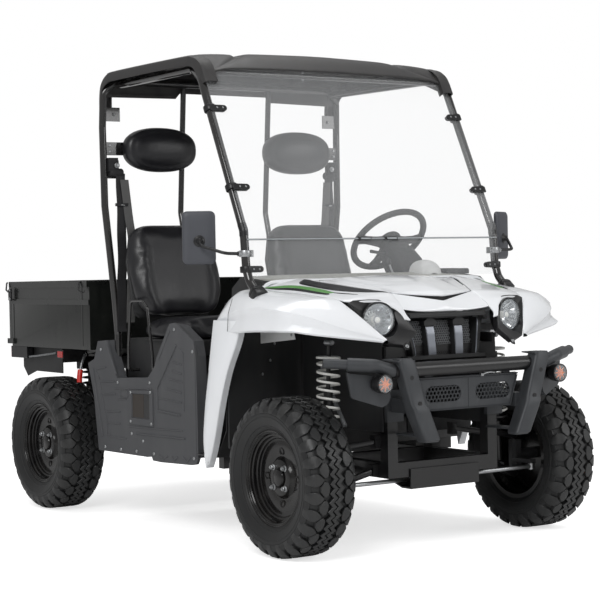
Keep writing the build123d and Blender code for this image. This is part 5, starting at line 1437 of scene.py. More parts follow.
def build_side_panels():
    """Moulded lower doors with raised ribs, a framed insert whose dark plates are painted recess
    shade, stand-offs and screws.
    """
    panel = Shape()
    panel.plate_x(PANEL_X - 13, PANEL_X, PANEL_LINE)
    # returns inboard along the front edge and down the rear notch
    for line in ([(-374, 340), (-374, 621), (-368, 773), (-352, 838), (-226, 904), (-155, 908)],
                 [(323, 653), (412, 824), (500, 818)],
                 [(-40, 760), (-17, 716), (12, 690), (43, 666), (323, 653)]):
        for (y0, z0), (y1, z1) in zip(line, line[1:]):
            along = Vector((0, y1 - y0, z1 - z0)).normalized()
            inward = Vector((0, along.z, -along.y))
            panel.prism([(PANEL_X - 52, y0, z0), (PANEL_X - 10, y0, z0), (PANEL_X - 10, y1, z1),
                         (PANEL_X - 52, y1, z1)],
                        inward * 5)
    for y0, z0, y1, z1, width, rise in PANEL_RIBS:
        rib(panel, (y0, z0), (y1, z1), width, rise)
    # framed insert: its brown and black plates are their own colour darkened as painted shade, so
    # that they read as a recess
    border = [(205, 452), (205, 604), (-4, 612), (-4, 450)]
    hole = [(186, 480), (182, 590), (26, 594), (28, 480)]
    rows = []
    for depth, ring in ((-1.0, border),
                        (5.0, [(y * 0.985 + 1.5, z * 0.99 + 5.3) for y, z in border]),
                        (5.0, [(y * 1.03 - 3, z) for y, z in hole]), (-1.0, hole)):
        rows.append([(PANEL_X + depth, y, z) for y, z in ring])
    panel.loft(rows + [rows[0]], ends=False)
    panel.plate_x(PANEL_X + 0.2, PANEL_X + 1.4, [(182, 484), (179, 587), (80, 590), (82, 484)], 1)
    panel.plate_x(PANEL_X + 0.2, PANEL_X + 1.0, [(78, 484), (76, 589), (30, 590), (32, 484)], 2)
    for y, z in ((-150, 780), (-150, 420), (210, 560), (320, 420)):
        panel.box(560.6, PANEL_X - 12, y - 15, y + 15, z - 20, z + 20, 2)
    panel.mirror()
    panel.piece("side_panels_finished", ["Panel mould", "Brown insert", "Glove mould"], "chassis",
                "panel_grey", ("side_panels",), edge=1.6, sharp=30)
    rows = [(side * (PANEL_X + 0.5), y, z, (side, 0, 0)) for side in SIDES for y, z in PANEL_SCREWS]
    rows += [(side * (PANEL_X + 4.5), y, z, (side, 0, 0)) for side in SIDES
             for y, z in ((192, 594), (16, 602), (196, 464), (10, 462))]
    fixings("panel_screws", rows, screw_head(), sizes().screw_head / MM / 10, "Zinc", "chassis")


# ---------------------------------------------------------------- bumper
FRONT = -1457.0
# columns: z, middle x, half width, front y, back y of a bumper post's sections
POST_ROWS = [(452, 232, 34, -1446, -1398), (462, 235, 39, -1456, -1395),
             (560, 279.5, 40, -1459, -1395), (590, 292, 40, -1459, -1395),
             (603, 297, 38, -1451, -1395), (690, 324, 38, -1451, -1395),
             (764, 347, 38, -1451, -1395), (783, 352, 33, -1443, -1395)]
TUBE_Y = FRONT + 56
TUBE_LINE = [(-640, FRONT + 165, 773), (-470, TUBE_Y + 6, 760), (-392, TUBE_Y, 737),
             (392, TUBE_Y, 737), (470, TUBE_Y + 6, 760), (640, FRONT + 165, 773)]
POST_FRONT = 13.0  # radius of a post's front corners
POST_BACK = 2.0  # radius of its back corners
POST_STEPS = 3


def ringed(half_x, y0, y1):
    """A post's section across X and Y, its front corners rounder than its back ones."""
    points = []
    for hand, y, r, start in ((1, y1 - POST_BACK, POST_BACK, 0),
                              (-1, y1 - POST_BACK, POST_BACK, 90),
                              (-1, y0 + POST_FRONT, POST_FRONT, 180),
                              (1, y0 + POST_FRONT, POST_FRONT, 270)):
        for step in range(POST_STEPS + 1):
            a = math.radians(start + 90 * step / POST_STEPS)
            points.append((hand * (half_x - r) + r * math.cos(a), y + r * math.sin(a)))
    return points


def build_bumper():
    """Folded posts with their stays, the tube with its padded middle, and a hook."""
    post = Shape()
    rows = []
    for z, x, half, y0, y1 in POST_ROWS:
        rows.append([(x + px, py, z) for px, py in ringed(half, y0, y1)])
    post.loft(rows)
    # cover over the tube at the post's head, and the stay back to the chassis
    post.prism([(310, -1444, 770), (394, -1444, 770), (402, -1352, 776), (318, -1352, 776)],
               (0, 0, 5))
    post.box(238, 282, -1400, -1248, 562, 618)
    post.box(218, 300, -1248, -1229, 522, 648)
    post.box(206, 262, -1430, -1250, 470, 478)
    for x, z in ((333, 708.5), (295.9, 606.6)):
        post.turned((x, -1450.5 if z > 650 else -1452, z), (0, -1, 0),
                    [(-3, 9.6), (0.8, 9.6), (1.6, 8.8), (0.8, 8.0), (0.6, 0)], 28, 1)
    post.mirror()
    post.piece("bumper_posts_finished", ["Bumper coat", "Glove mould"], "chassis", "bumper_grey",
               ("bumper_posts",), edge=1.8, sharp=34)
    bar = Shape()
    bar.tube(TUBE_LINE, 19, 50, 36, 0)
    bar.tube([(-388, TUBE_Y, 737), (388, TUBE_Y, 737)], 29, 0, 44, 1)
    for side in SIDES:
        # sleeves outboard of the posts, and open ends
        bar.tube([(side * 380, TUBE_Y, 736), (side * 400, TUBE_Y + 1, 739),
                  (side * 470, TUBE_Y + 6, 760), (side * 560, TUBE_Y + 61, 766.9)], 26, 40, 40, 0)
        end = Vector((side * 640, FRONT + 165, 773))
        run = (end - Vector((side * 470, TUBE_Y + 6, 760))).normalized()
        bar.turned(end, run, [(-1, 19.5), (1.2, 19.0), (1.2, 16.5), (-14, 16.2), (-14, 0)], 36, 2)
    bar.piece("bumper_tube_finished", ["Bumper coat", "Chassis coat", "Glove mould"], "chassis",
              "bumper_grey", ("bumper_tube",), sharp=30)
    hook = Shape()
    hook.tube([(60, -1400, 700), (76, -1408, 707), (100, -1408, 709), (125, -1404, 706),
               (136, -1398, 712)], 4.2, 6, 12)
    hook.box(56, 70, -1404, -1390, 694, 706)
    hook.piece("winch_hook", ["Zinc"], "chassis", "steel", edge=1.0)


# the windows in the bumper's plate: middle, half width, radius of their round ends, points
WINDOW_X = 128.0
WINDOW_Z = 633.0
WINDOW_HALF = 90.0
WINDOW_ROUND = 31.0
WINDOW_STEPS = 40


def window_line(side):
    """Outline of the round-ended window on one side, as (x, z)."""
    points = []
    reach = WINDOW_HALF - WINDOW_ROUND
    for k in range(WINDOW_STEPS):
        a = 2 * math.pi * (k + 0.5) / WINDOW_STEPS
        cx = side * WINDOW_X + (reach if math.cos(a) > 0 else -reach)
        points.append((cx + WINDOW_ROUND * math.cos(a), WINDOW_Z + WINDOW_ROUND * math.sin(a)))
    return points


def build_bumper_plate():
    """Folded plate with two round-ended windows, each filled with honeycomb."""
    y = FRONT + 66
    plate, cells = Shape(), Shape()
    for side in SIDES:
        hole = window_line(side)
        outer = []
        edge = [(2, 573), (215, 573), (253, 693), (2, 693)]
        if side < 0:
            edge = [(-x, z) for x, z in reversed(edge)]
        for hx, hz in hole:
            # the plate's edge straight out from each point of the window
            dx, dz = hx - side * WINDOW_X, (hz - WINDOW_Z) * 1.6
            best = None
            for (ax, az), (bx, bz) in zip(edge, edge[1:] + edge[:1]):
                ex, ez = bx - ax, bz - az
                det = dx * -ez + dz * ex
                if abs(det) < 1e-6:
                    continue
                qx, qz = ax - side * WINDOW_X, az - WINDOW_Z
                t = (qx * -ez + qz * ex) / det
                u = (dx * qz - dz * qx) / det
                if t > 0 and -1e-6 <= u <= 1 + 1e-6 and (best is None or t < best):
                    best = t
            outer.append((side * WINDOW_X + dx * best, WINDOW_Z + dz * best))
        lip = [(side * WINDOW_X + (a - side * WINDOW_X) * 1.04, WINDOW_Z + (b - WINDOW_Z) * 1.1)
               for a, b in hole]
        rows = [[(a, y, b) for a, b in outer], [(a, y, b) for a, b in lip],
                [(a, y + 2.5, b) for a, b in hole], [(a, y + 7, b) for a, b in hole],
                [(a, y + 5, b) for a, b in outer]]
        plate.loft(rows + [rows[0]], ends=False)
        size = sizes().mesh_cell / MM
        z, row = 606.0, 0
        while z < 664:
            x = -96 + (size / 2 if row % 2 else 0)
            while x < 98:
                reach = max(abs(x) - 59, 0)
                if reach * reach + (z - WINDOW_Z) ** 2 < 36 ** 2:
                    cells.turned((side * WINDOW_X + x, y + 6, z), (0, -1, 0),
                                 [(-2.5, size * 0.585), (-2.5, size * 0.43), (2.5, size * 0.43),
                                  (2.5, size * 0.585)], 6,
                                 ring=True, start=math.radians(90))
                x += size
            z += size * 0.866
            row += 1
    plate.box(-2.2, 2.2, y - 1.5, y + 5, 574, 692)
    # folded edges and the brackets up to the tube
    plate.prism([(-254, y - 9, 697), (254, y - 9, 697), (252, y + 3, 689), (-252, y + 3, 689)],
                (0, 2.5, 3))
    plate.prism([(-254, y - 9, 697), (254, y - 9, 697), (254, y - 9, 700), (-254, y - 9, 700)],
                (0, 20, 2))
    plate.prism([(-216, y - 8, 569), (216, y - 8, 569), (218, y + 3, 577), (-218, y + 3, 577)],
                (0, 2.5, 3))
    for side in SIDES:
        plate.box(side * 200 - 20, side * 200 + 20, y + 2, y + 9, 686, 716)
        plate.prism([(side * 213, y + 4, 574), (side * 251, y + 4, 691), (side * 256, y + 4, 691),
                     (side * 218, y + 4, 574)],
                    (0, -9, 0))
    plate.piece("bumper_plate_finished", ["Bumper coat"], "chassis", "plate_grey",
                ("bumper_plate",), edge=1.0, sharp=34)
    cells.piece("bumper_honeycomb", ["Bumper coat"], "chassis", "plate_grey", sharp=30)


LAMP_SCALE = 1.36  # the turn lamps' size against the sections below


def build_turn_lamps():
    """Rubber housings, each with an amber bulb under a clear dome, and their swept plates."""
    lamp, dome = Shape(), Shape()
    spot = Vector((452, -1433, 689))
    aim = Vector((0, -1, 0))
    k = LAMP_SCALE

    def grown(profile):
        """A section at the lamp's size; what lies behind the plate keeps its depth."""
        return [(along * (k if along > 0 else 1.0), r * k) for along, r in profile]

    lamp.turned(spot, aim,
                grown([(-62, 0), (-62, 17), (-54, 21), (-40, 22.0), (-34, 25.5), (-8, 26.5),
                       (0, 28), (4, 27.5), (5, 25.0), (1, 24.0), (1, 0)]), 44, 0)
    lamp.turned(spot, aim, grown([(1, 23.9), (-2, 20), (-8, 12), (-9, 0), (0.6, 0), (0.6, 23.9)]),
                44, 0)
    for j in range(8):
        a = math.pi * j / 4
        out = Vector((math.cos(a), 0, math.sin(a))) * k
        tangent = Vector((-math.sin(a), 0, math.cos(a))) * k
        foot = spot + aim * 2
        lamp.loft([[foot + out * 4 - tangent * 3, foot + out * 22 - tangent * 1.2,
                    foot + out * 22 + tangent * 1.2, foot + out * 4 + tangent * 3],
                   [foot + out * 4 - tangent * 2 + aim * 9, foot + out * 19 + aim * 3,
                    foot + out * 19 + aim * 3, foot + out * 4 + tangent * 2 + aim * 9]], 2)
    lamp.turned(spot, aim, grown([(0, 8.5), (8, 8.5), (12, 6), (13.5, 0)]), 24, 2)
    dome.turned(spot, aim,
                grown([(2, 24.2), (7, 23.4), (11, 19.5), (13.5, 12), (14.5, 0), (13.0, 0),
                       (12.2, 11.4), (9.6, 18.2), (6, 21.8), (2, 22.6)]), 44, ring=True)
    lamp.mirror()
    dome.mirror()
    lamp.piece("turn_lamps_finished", ["Glove mould", "Reflector chrome", "Amber lens"], "chassis",
               "lens_amber", ("turn_lamps",), sharp=34)
    dome.piece("turn_lamp_domes", ["Lens clear"], "chassis", "lens_clear", sharp=50)
    plate = Shape()
    sweep = math.radians(21.7)
    right = Vector((math.cos(sweep), math.sin(sweep), 0))
    back = Vector((-math.sin(sweep), math.cos(sweep), 0))
    base = Vector((394, FRONT + 65, 0))
    line = [(0, 640), (0, 712), (60, 718), (160, 731), (168, 735), (152, 640), (140, 634),
            (34, 600), (12, 612)]
    plate.prism([base + right * a + Vector((0, 0, b)) for a, b in line], back * 5)
    fold = [(0, 640), (12, 612), (34, 600), (140, 634), (152, 640), (168, 735)]
    for (a, b), (c, d) in zip(fold, fold[1:]):
        p, q = base + right * a + Vector((0, 0, b)), base + right * c + Vector((0, 0, d))
        run = (q - p).normalized()
        up = back.cross(run)
        plate.prism([p, q, q + up * 3.5, p + up * 3.5], back * 22)
    plate.mirror()
    plate.piece("lamp_plates_finished", ["Bumper coat"], "chassis", "bumper_grey", ("lamp_plates",),
                edge=0.9, sharp=32)


# ---------------------------------------------------------------- suspension
# columns: top, bottom, shares of the length where the coils start and end, coil radius,
# wire against the front spring's, finish of the coils
SHOCK_ROWS = [((432, FRONT_AXLE, 838), (452, FRONT_AXLE, 284), 0.12, 0.62, 44.0, 1.0, 0),
              ((400, REAR_AXLE + 90, 708), (420, REAR_AXLE + 48, 377.5), 0.07, 0.76, 33.0,
               5.0 / 5.2, 3)]
COIL_STEPS = 20  # points in a turn of wire


def build_shocks():
    """Wire coils over a damper, with seats, a rod, a collar and eyes."""
    s = sizes()
    shock = Shape()
    for top, low, start, end, radius, wire, coat in SHOCK_ROWS:
        top, low = Vector(top), Vector(low)
        span = low - top
        axis = span.normalized()
        long = span.length
        across = axis.orthogonal().normalized()
        other = axis.cross(across)
        turns = s.spring_turns + 1
        path = []
        for step in range(int(turns * COIL_STEPS) + 1):
            a = 2 * math.pi * step / COIL_STEPS
            share = step / (turns * COIL_STEPS)
            path.append(top + axis * (long * (start + (end - start) * share))
                        + across * (radius * math.cos(a))
                        + other * (radius * math.sin(a)))
        shock.tube(path, wire * s.spring_wire / MM / 2, 0, 10, coat)
        a0, a1 = long * start, long * end
        shock.turned(top, axis,
                     [(a0 - 14, 14), (a0 - 14, radius - 6), (a0 - 11, radius + 6),
                      (a0 - 3, radius + 6.5), (a0 - 2, radius - 6), (a0 - 2, 14)], 36, coat,
                     ring=True)
        shock.turned(top, axis,
                     [(a1 + 5, 14), (a1 + 5, radius - 4), (a1 + 3, radius + 5),
                      (a1 + 9, radius + 5), (a1 + 14, radius - 10), (a1 + 26, 24), (a1 + 26, 14)],
                     36, 1, ring=True)
        shock.turned(top, axis,
                     [(10, 0), (10, 9), (a0 + (a1 - a0) * 0.45, 9), (a0 + (a1 - a0) * 0.45, 19),
                      (a1 + 60, 20), (a1 + 64, 17), (long - 16, 15), (long - 14, 0)], 30, 1)
        shock.turned(top, axis,
                     [(a0 + 4, 9.2), (a0 + 4, 16), (a0 + 30, 17), (a0 + 34, 12), (a0 + 34, 9.2)],
                     24, 1, ring=True)
        for spot in (top, low):
            centre = spot + Vector((0, -20, 0.7 if spot is top else 0))
            shock.turned(centre, (0, 1, 0), [(0, 5), (0, 10.6), (40, 10.6), (40, 5)], 26, 2,
                         ring=True)
            shock.hexagon(centre, (0, -1, 0), 17, 8, 2)
    shock.mirror()
    shock.piece("shocks_finished", ["Spring coat", "Chassis coat", "Zinc", "Glove mould"],
                "chassis", "spring_white", ("shocks",), sharp=32)


# ---------------------------------------------------------------- cab tubes
# columns: x, y, z along each tube's middle on the driver's side
HOOP_LINE = [(599, 386, 851), (613, 383, 1010), (636, 382, 1238), (657, 381, 1440),
             (660, 382, 1800), (657, 374, 1962), (598, 350, 2008), (0, 350, 2010)]
POST_LINE = [(656, -878, 1036), (660, -824, 1086), (661, -802, 1140), (661, -789, 1290),
             (659, -484, 1938), (630, -372, 1990), (598, 332, 1990)]
KNEE_Y = -805.3
KNEE_Z = 1311.0
SCREEN_RAKE = 0.485
FOOT_RAKE = 0.0629
SCREEN_HALF = 666.0
SCREEN_SPLIT = 1259.0


def screen_slope(z):
    """Rake of the screen at a height: nearly upright at its foot, leaning back above the knee."""
    return SCREEN_RAKE if z > KNEE_Z else FOOT_RAKE


def screen_y(z):
    """Front face of the pane at a height."""
    return KNEE_Y + (z - KNEE_Z) * screen_slope(z)


def both_ways(half):
    """A path from one side to the other, from its driver's half that ends at the middle."""
    return half + [(-x, y, z) for x, y, z in reversed(half[:-1])]


def build_cab_tubes():
    """Rear hoop with its tabs and straps, inner posts, and front posts with rails and boots."""
    hoop = Shape()
    foot = (592, 398, at("rear_hoop", 0, 2))
    hoop.tube(both_ways([foot] + HOOP_LINE), 16.5, 45, 28)
    for side in SIDES:
        # ears for a net, with their holes, and the headrest's strap
        ear = [(side * 572, 1828), (side * 572, 1892), (side * 646, 1892), (side * 646, 1828)]
        hoop.plate_y(374, 379, ear)
        hoop.turned((side * 603, 373, 1860), (0, 1, 0), [(0, 5.5), (0, 9.5), (8, 9.5), (8, 5.5)],
                    20, ring=True)
        hoop.plate_y(370, 377,
                     [(side * 466, 1674), (side * 466, 1734), (side * 652, 1732),
                      (side * 652, 1672)])
        hoop.plate_y(372, 378,
                     [(side * 584, 1566), (side * 584, 1650), (side * 650, 1650),
                      (side * 650, 1566)])
    hoop.piece("rear_hoop_finished", ["Tube gloss"], "chassis", "frame_black", ("rear_hoop",),
               edge=1.0, sharp=50)
    bolts = []
    for side in SIDES:
        for x, z in ((486, 1690), (486, 1718), (632, 1690), (632, 1718), (603, 1860)):
            bolts.append((side * x, 369.5, z, (0, -1, 0)))
    fixings("hoop_bolts", bolts, bolt_head(), 1.3, "Zinc", "chassis")

    inner = Shape()
    inner.tube([(240, 372, at("inner_posts", 0, 2)), (240, 374, 1300), (240, 403, 1410),
                (240, 356, 1991)], 13, 60, 22)
    inner.mirror()
    inner.piece("inner_posts_finished", ["Tube gloss"], "chassis", "frame_black", ("inner_posts",),
                sharp=50)

    post = Shape()
    post.tube(POST_LINE, 17.5, 62, 28)
    post.mirror()
    post.tube([(-645, -462, 1972), (645, -462, 1972)], 12, 0, 18)
    post.piece("front_posts_finished", ["Tube gloss"], "chassis", "frame_black", ("front_posts",),
               sharp=50)
    boots = Shape()
    axis = Vector((-4, -54, -50)).normalized()
    across = Vector((1, 0, 0))
    over = axis.cross(across).normalized()
    start = Vector((656, -862, 1051))
    rows = []
    for along, wide, deep in ((-8, 23, 23), (0, 29, 27), (10, 31, 29), (13, 28, 26), (17, 31, 29),
                              (40, 33, 30)):
        rows.append([start + axis * along + across * (wide * squared(math.cos(a), 0.5))
                     + over * (deep * squared(math.sin(a), 0.5))
                     for a in [2 * math.pi * k / 24 for k in range(24)]])
    boots.loft(rows)
    # dark sleeves where the tube's coat ends below the knee
    boots.tube([(661.3, -775, 1322), (661, -788, 1296), (661, -789.5, 1272)], 18.6, 30, 24)
    boots.mirror()
    boots.piece("post_boots", ["Glove mould"], "chassis", "trim_black", edge=1.0, sharp=40)


PANE_THICK = 5.0
# heights between a pane's two edges at which its section is taken
PANE_LEVELS = (1180, SCREEN_SPLIT, 1300, KNEE_Z, 1322, 1420, 1540, 1660, 1780, 1900)
# columns: height of a clamp, x and y of the post there
CLAMPS = [(1138, 661, -802.0), (1473, 661, -703.0), (1808, 659.5, -545.0)]


def pane(shape, z0, z1, corner):
    """One pane with rounded corners, laid on the screen's rake."""
    levels = [z0] + [z for z in PANE_LEVELS if z0 + 5 < z < z1 - 5] + [z1]
    rows = []
    for z in levels:
        reach = SCREEN_HALF
        inside = max(z0 + corner - z, z - z1 + corner)
        if inside > 0:
            reach = SCREEN_HALF - corner + math.sqrt(max(0.0, corner ** 2 - inside ** 2))
        y = screen_y(z)
        rows.append([(-reach, y, z), (reach, y, z), (reach, y + PANE_THICK, z),
                     (-reach, y + PANE_THICK, z)])
    shape.loft(rows)


def build_screen():
    """Two panes, the rail between them, and six clamps with their bolts."""
    glass = Shape()
    pane(glass, 1098, SCREEN_SPLIT - 3, 10)
    pane(glass, SCREEN_SPLIT + 3, 1990, 8)
    glass.piece("windscreen_finished", ["Screen clear"], "chassis", "screen_clear", ("windscreen",),
                sharp=20)
    rail = Shape()
    y = screen_y(SCREEN_SPLIT)
    rail.box(-664, 664, y - 2.5, y + 7.5, SCREEN_SPLIT - 3.2, SCREEN_SPLIT + 3.2, 0)
    rail.tube([(-662, y - 5, SCREEN_SPLIT), (662, y - 5, SCREEN_SPLIT)], 2.6, 0, 12, 1)
    for x in (-70, 70):
        rail.box(x - 34, x + 34, y - 9, y + 11, SCREEN_SPLIT - 7, SCREEN_SPLIT + 7, 0)
        rail.tube([(x - 24, y - 13, SCREEN_SPLIT), (x + 24, y - 13, SCREEN_SPLIT)], 3.4, 0, 12, 1)
    rail.piece("screen_rail_finished", ["Glove mould", "Screen edge"], "chassis", "trim_black",
               ("screen_rail",), edge=0.6)
    clamps, bolts = Shape(), []
    for z, post_x, post_y in CLAMPS:
        slope = screen_slope(z)
        run = Vector((0, slope, 1)).normalized()
        face = Vector((0, -1, slope)).normalized()
        y = screen_y(z)
        for side in SIDES:
            clamps.turned(Vector((side * post_x, post_y, z)) - run * 13, run,
                          [(0, 18), (0, 24), (3, 25.5), (23, 25.5), (26, 24), (26, 18)], 32,
                          ring=True)
            outline = [(side * 672, -14), (side * 672, 14)]
            outline += [(side * (604 - 13 * math.sin(math.radians(a))),
                         13 * math.cos(math.radians(a)))
                        for a in range(0, 181, 20)]
            base = Vector((0, y, z)) + face * 1.0
            clamps.prism([base + Vector((px, 0, 0)) + run * pz for px, pz in outline], face * 9.0)
            back = Vector((0, y, z)) - face * 6.0
            clamps.prism([back + Vector((px, 0, 0)) + run * (pz * 0.9) for px, pz in outline],
                         face * -6.0)
            for x in (612, 640):
                spot = base + Vector((side * x, 0, 0)) + face * 9.0
                bolts.append((*spot, tuple(face)))
    clamps.piece("screen_clamps_finished", ["Glove mould"], "chassis", "trim_black",
                 ("screen_clamps",), edge=2.2, sharp=40)
    fixings("clamp_bolts", bolts, screw_head(), 0.9, "Zinc", "chassis")


# ---------------------------------------------------------------- roof
# columns: x and height of the crown, x and height of the front lip, x and height of the rear edge
ROOF_ACROSS = [
    (0, 2075, 0, 1999, 0, 2040), (60, 2075, 60, 1999, 60, 2040), (300, 2070, 330, 1996, 300, 2038),
    (368, 2066, 520, 1990, 372, 2036), (390, 2055, 575, 1982, 392, 2027),
    (424, 2053, 600, 1976, 424, 2025), (442, 2061, 612, 1974, 442, 2032),
    (505, 2061, 622, 1970, 505, 2030), (575, 2057, 630, 1966, 575, 2026),
    (620, 2052, 638, 1962, 620, 2019), (644, 2043, 642, 1957, 640, 2010),
]
# columns: y, share of the way from the lip to the crown
ROOF_ALONG = [(-503, -0.06), (-500, 0.0), (-484, 0.2), (-462, 0.46), (-438, 0.69), (-412, 0.87),
              (-384, 0.965), (-350, 1.0), (-200, 1.0), (0, 1.0), (180, 1.0), (300, 1.0)]
ROOF_BACK = [(335, 0.05), (365, 0.3), (388, 0.7), (397, 1.0)]
# columns: y, z of the side moulding's outer line, reach down its outside, reach down its inside
ROOF_EDGE = [(-534, 1926, 44, 40), (-521, 1953, 46, 38), (-507, 1980, 50, 30), (-486, 2008, 50, 18),
             (-452, 2031, 47, 8), (-405, 2044, 46, 5), (-350, 2048, 46, 4), (0, 2049, 46, 4),
             (285, 2047, 48, 4), (325, 2041, 50, 5), (360, 2024, 46, 10), (388, 1996, 40, 18),
             (401, 1962, 34, 22), (406, 1925, 30, 24), (407, 1890, 28, 24)]


def build_roof():
    """Moulded top with a raised middle, and side mouldings that wrap down over the tubes."""
    top = Shape()
    rows = []
    for y, share in ROOF_ALONG:
        half = [(lx + (cx - lx) * max(0.0, share), y, lz + (cz - lz) * share)
                for cx, cz, lx, lz, _, _ in ROOF_ACROSS]
        rows.append(half)
    for y, share in ROOF_BACK:
        rows.append([(cx + (rx - cx) * share, y, cz + (rz - cz) * share)
                     for cx, cz, _, _, rx, rz in ROOF_ACROSS])
    rows.append([(rx, 399, 1972 + (rz - 2010) * 0.15) for _, _, _, _, rx, rz in ROOF_ACROSS])
    net = []
    for half in rows:
        left = [(-x, y, z) for x, y, z in reversed(half[1:])]
        net.append(left + half)
    fine = smooth_net([[Vector(p) for p in row] for row in net], 2, 2)
    top.loft([[tuple(p) for p in row] + [(p.x * 0.998, p.y + (3.5 if p.y < -430 else 0), p.z - 5.0)
                                         for p in reversed(row)] for row in fine])
    # side mouldings over the tubes
    for side in SIDES:
        wrap = []
        path = smooth_line([Vector((0, y, z)) for y, z, _, _ in ROOF_EDGE], 4)
        reach = smooth_line([Vector((a, b, 0)) for _, _, a, b in ROOF_EDGE], 4)
        for i, (spot, depth) in enumerate(zip(path, reach)):
            ahead = path[min(i + 1, len(path) - 1)] - path[max(i - 1, 0)]
            run = Vector((0, ahead.y, ahead.z)).normalized()
            up = Vector((0, -run.z, run.y))
            section = [(608, -depth.y), (606, -3), (614, -0.5), (640, 0), (655, -1.5), (665, -7),
                       (670, -18), (671, -depth.x), (666.5, -depth.x), (665, -19), (661, -10),
                       (653, -6), (640, -4.5), (613, -5), (611, -7), (612, -depth.y)]
            wrap.append([spot + up * h + Vector((side * x, 0, 0)) for x, h in section])
        top.loft(wrap)
    # drooping panel behind the heads, and its ribs
    droop = [(-650, 1990), (-636, 1938), (-270, 1944), (-215, 2004), (215, 2004), (270, 1944),
             (636, 1938), (650, 1990), (620, 2014), (-620, 2014)]
    top.plate_y(378, 383, droop)
    for side in SIDES:
        top.plate_y(370, 378,
                    [(side * 612, 1952), (side * 604, 1946), (side * 300, 1952),
                     (side * 306, 1960)])
    top.piece("roof_finished", ["Roof mould"], "chassis", "roof_black", ("roof",), sharp=34)
    # stay plates and a small lamp under the roof
    under = Shape()
    for side in SIDES:
        under.box(side * 596 - 20, side * 596 + 20, -60, -10, 2004, 2034, 0)
        under.box(side * 596 - 20, side * 596 + 20, 180, 230, 2004, 2034, 0)
    under.tube([(-30, -330, 2052), (-30, -320, 2004), (-14, -300, 1976)], 6, 14, 14, 1)
    under.turned((-30, -330, 2062), (0, 0, -1), [(0, 0), (0, 26), (8, 24), (11, 10), (11, 0)], 28,
                 1)
    under.piece("roof_stays", ["Glove mould", "Zinc"], "chassis", "trim_black", edge=1.0)


# ---------------------------------------------------------------- seats
SEAT_X = 382.0
# columns: height, half width of the back; y of its front face, its thickness
BACK_ROWS = [(934, 150, 152, 96), (950, 186, 146, 108), (985, 214, 150, 114), (1030, 232, 158, 114),
             (1090, 240, 172, 110), (1150, 242, 188, 104), (1210, 238, 204, 98),
             (1262, 229, 219, 90), (1300, 214, 230, 82), (1328, 190, 241, 72), (1344, 152, 252, 54),
             (1349, 96, 262, 34)]


def bolster(edge, peak):
    """Rise of a pad's side bolster, 0 to 1, at a share of the way out; peak is where it tops."""
    return max(0.0, 1 - ((edge - peak) / 0.2) ** 2)


def seat_back_rings(swell):
    """Rings up one seat back; swell grows it outward."""
    rings = []
    for z, half, front, thick in BACK_LINE:
        ring = []
        half, thick = half + swell, thick + 2 * swell
        for k in range(40):
            a = 2 * math.pi * k / 40
            c, s = math.cos(a), math.sin(a)
            u = half * squared(c, 0.62)
            depth = squared(s, 0.62)
            y = front - swell + thick * (0.5 - 0.5 * depth)
            # bolsters stand forward of the middle
            edge = abs(u) / half
            if depth > 0:
                y -= 15.0 * bolster(edge, 0.82) * min(1.0, depth * 1.4)
                y += 4.0 * (1 - min(1.0, edge / 0.6) ** 2)
            ring.append((u, y, z))
        rings.append(ring)
    return rings


def line4(rows, steps):
    """A finer table through the rows of four numbers."""
    first = smooth_line([Vector(row[:3]) for row in rows], steps)
    last = smooth_line([Vector((row[3], 0, 0)) for row in rows], steps)
    return [(a.x, a.y, a.z, b.x) for a, b in zip(first, last)]


BACK_LINE = line4(BACK_ROWS, 2)
# columns: y, half width, top, thickness of the cushion
CUSHION_ROWS = [(-202, 128, 884, 34), (-198, 170, 900, 60), (-180, 196, 914, 78),
                (-130, 208, 922, 88), (-40, 212, 922, 90), (60, 212, 918, 88), (140, 208, 914, 84),
                (185, 196, 908, 74), (204, 160, 896, 50)]
CUSHION_LINE = line4(CUSHION_ROWS, 2)


def cushion_rings(swell):
    """Rings from front to back of one cushion; swell grows it outward."""
    rings = []
    for y, half, top, thick in CUSHION_LINE:
        half, thick = half + swell, thick + swell
        base = max(832.6, top + swell - thick)
        ring = []
        for k in range(40):
            a = 2 * math.pi * k / 40
            c, s = math.cos(a), math.sin(a)
            u = half * squared(c, 0.55)
            rise = squared(s, 0.6)
            z = base + (top + swell - base) * (0.5 + 0.5 * rise)
            edge = abs(u) / half
            if rise > 0:
                z += 5.0 * bolster(edge, 0.8) * min(1.0, rise * 1.4)
            ring.append((u, y, z))
        rings.append(ring)
    return rings


PAD_CELL = 0.008  # metres: the grid of the cloth
PAD_FRAMES = 20
PAD_SMOOTHING = 12  # passes that ease out the cloth's small folds
CLOTH = {
    "quality": 5, "mass": 0.4, "tension_stiffness": 26, "compression_stiffness": 26,
    "shear_stiffness": 14, "bending_stiffness": 3.0, "use_pressure": True,
    "uniform_pressure_force": 4.0,
}


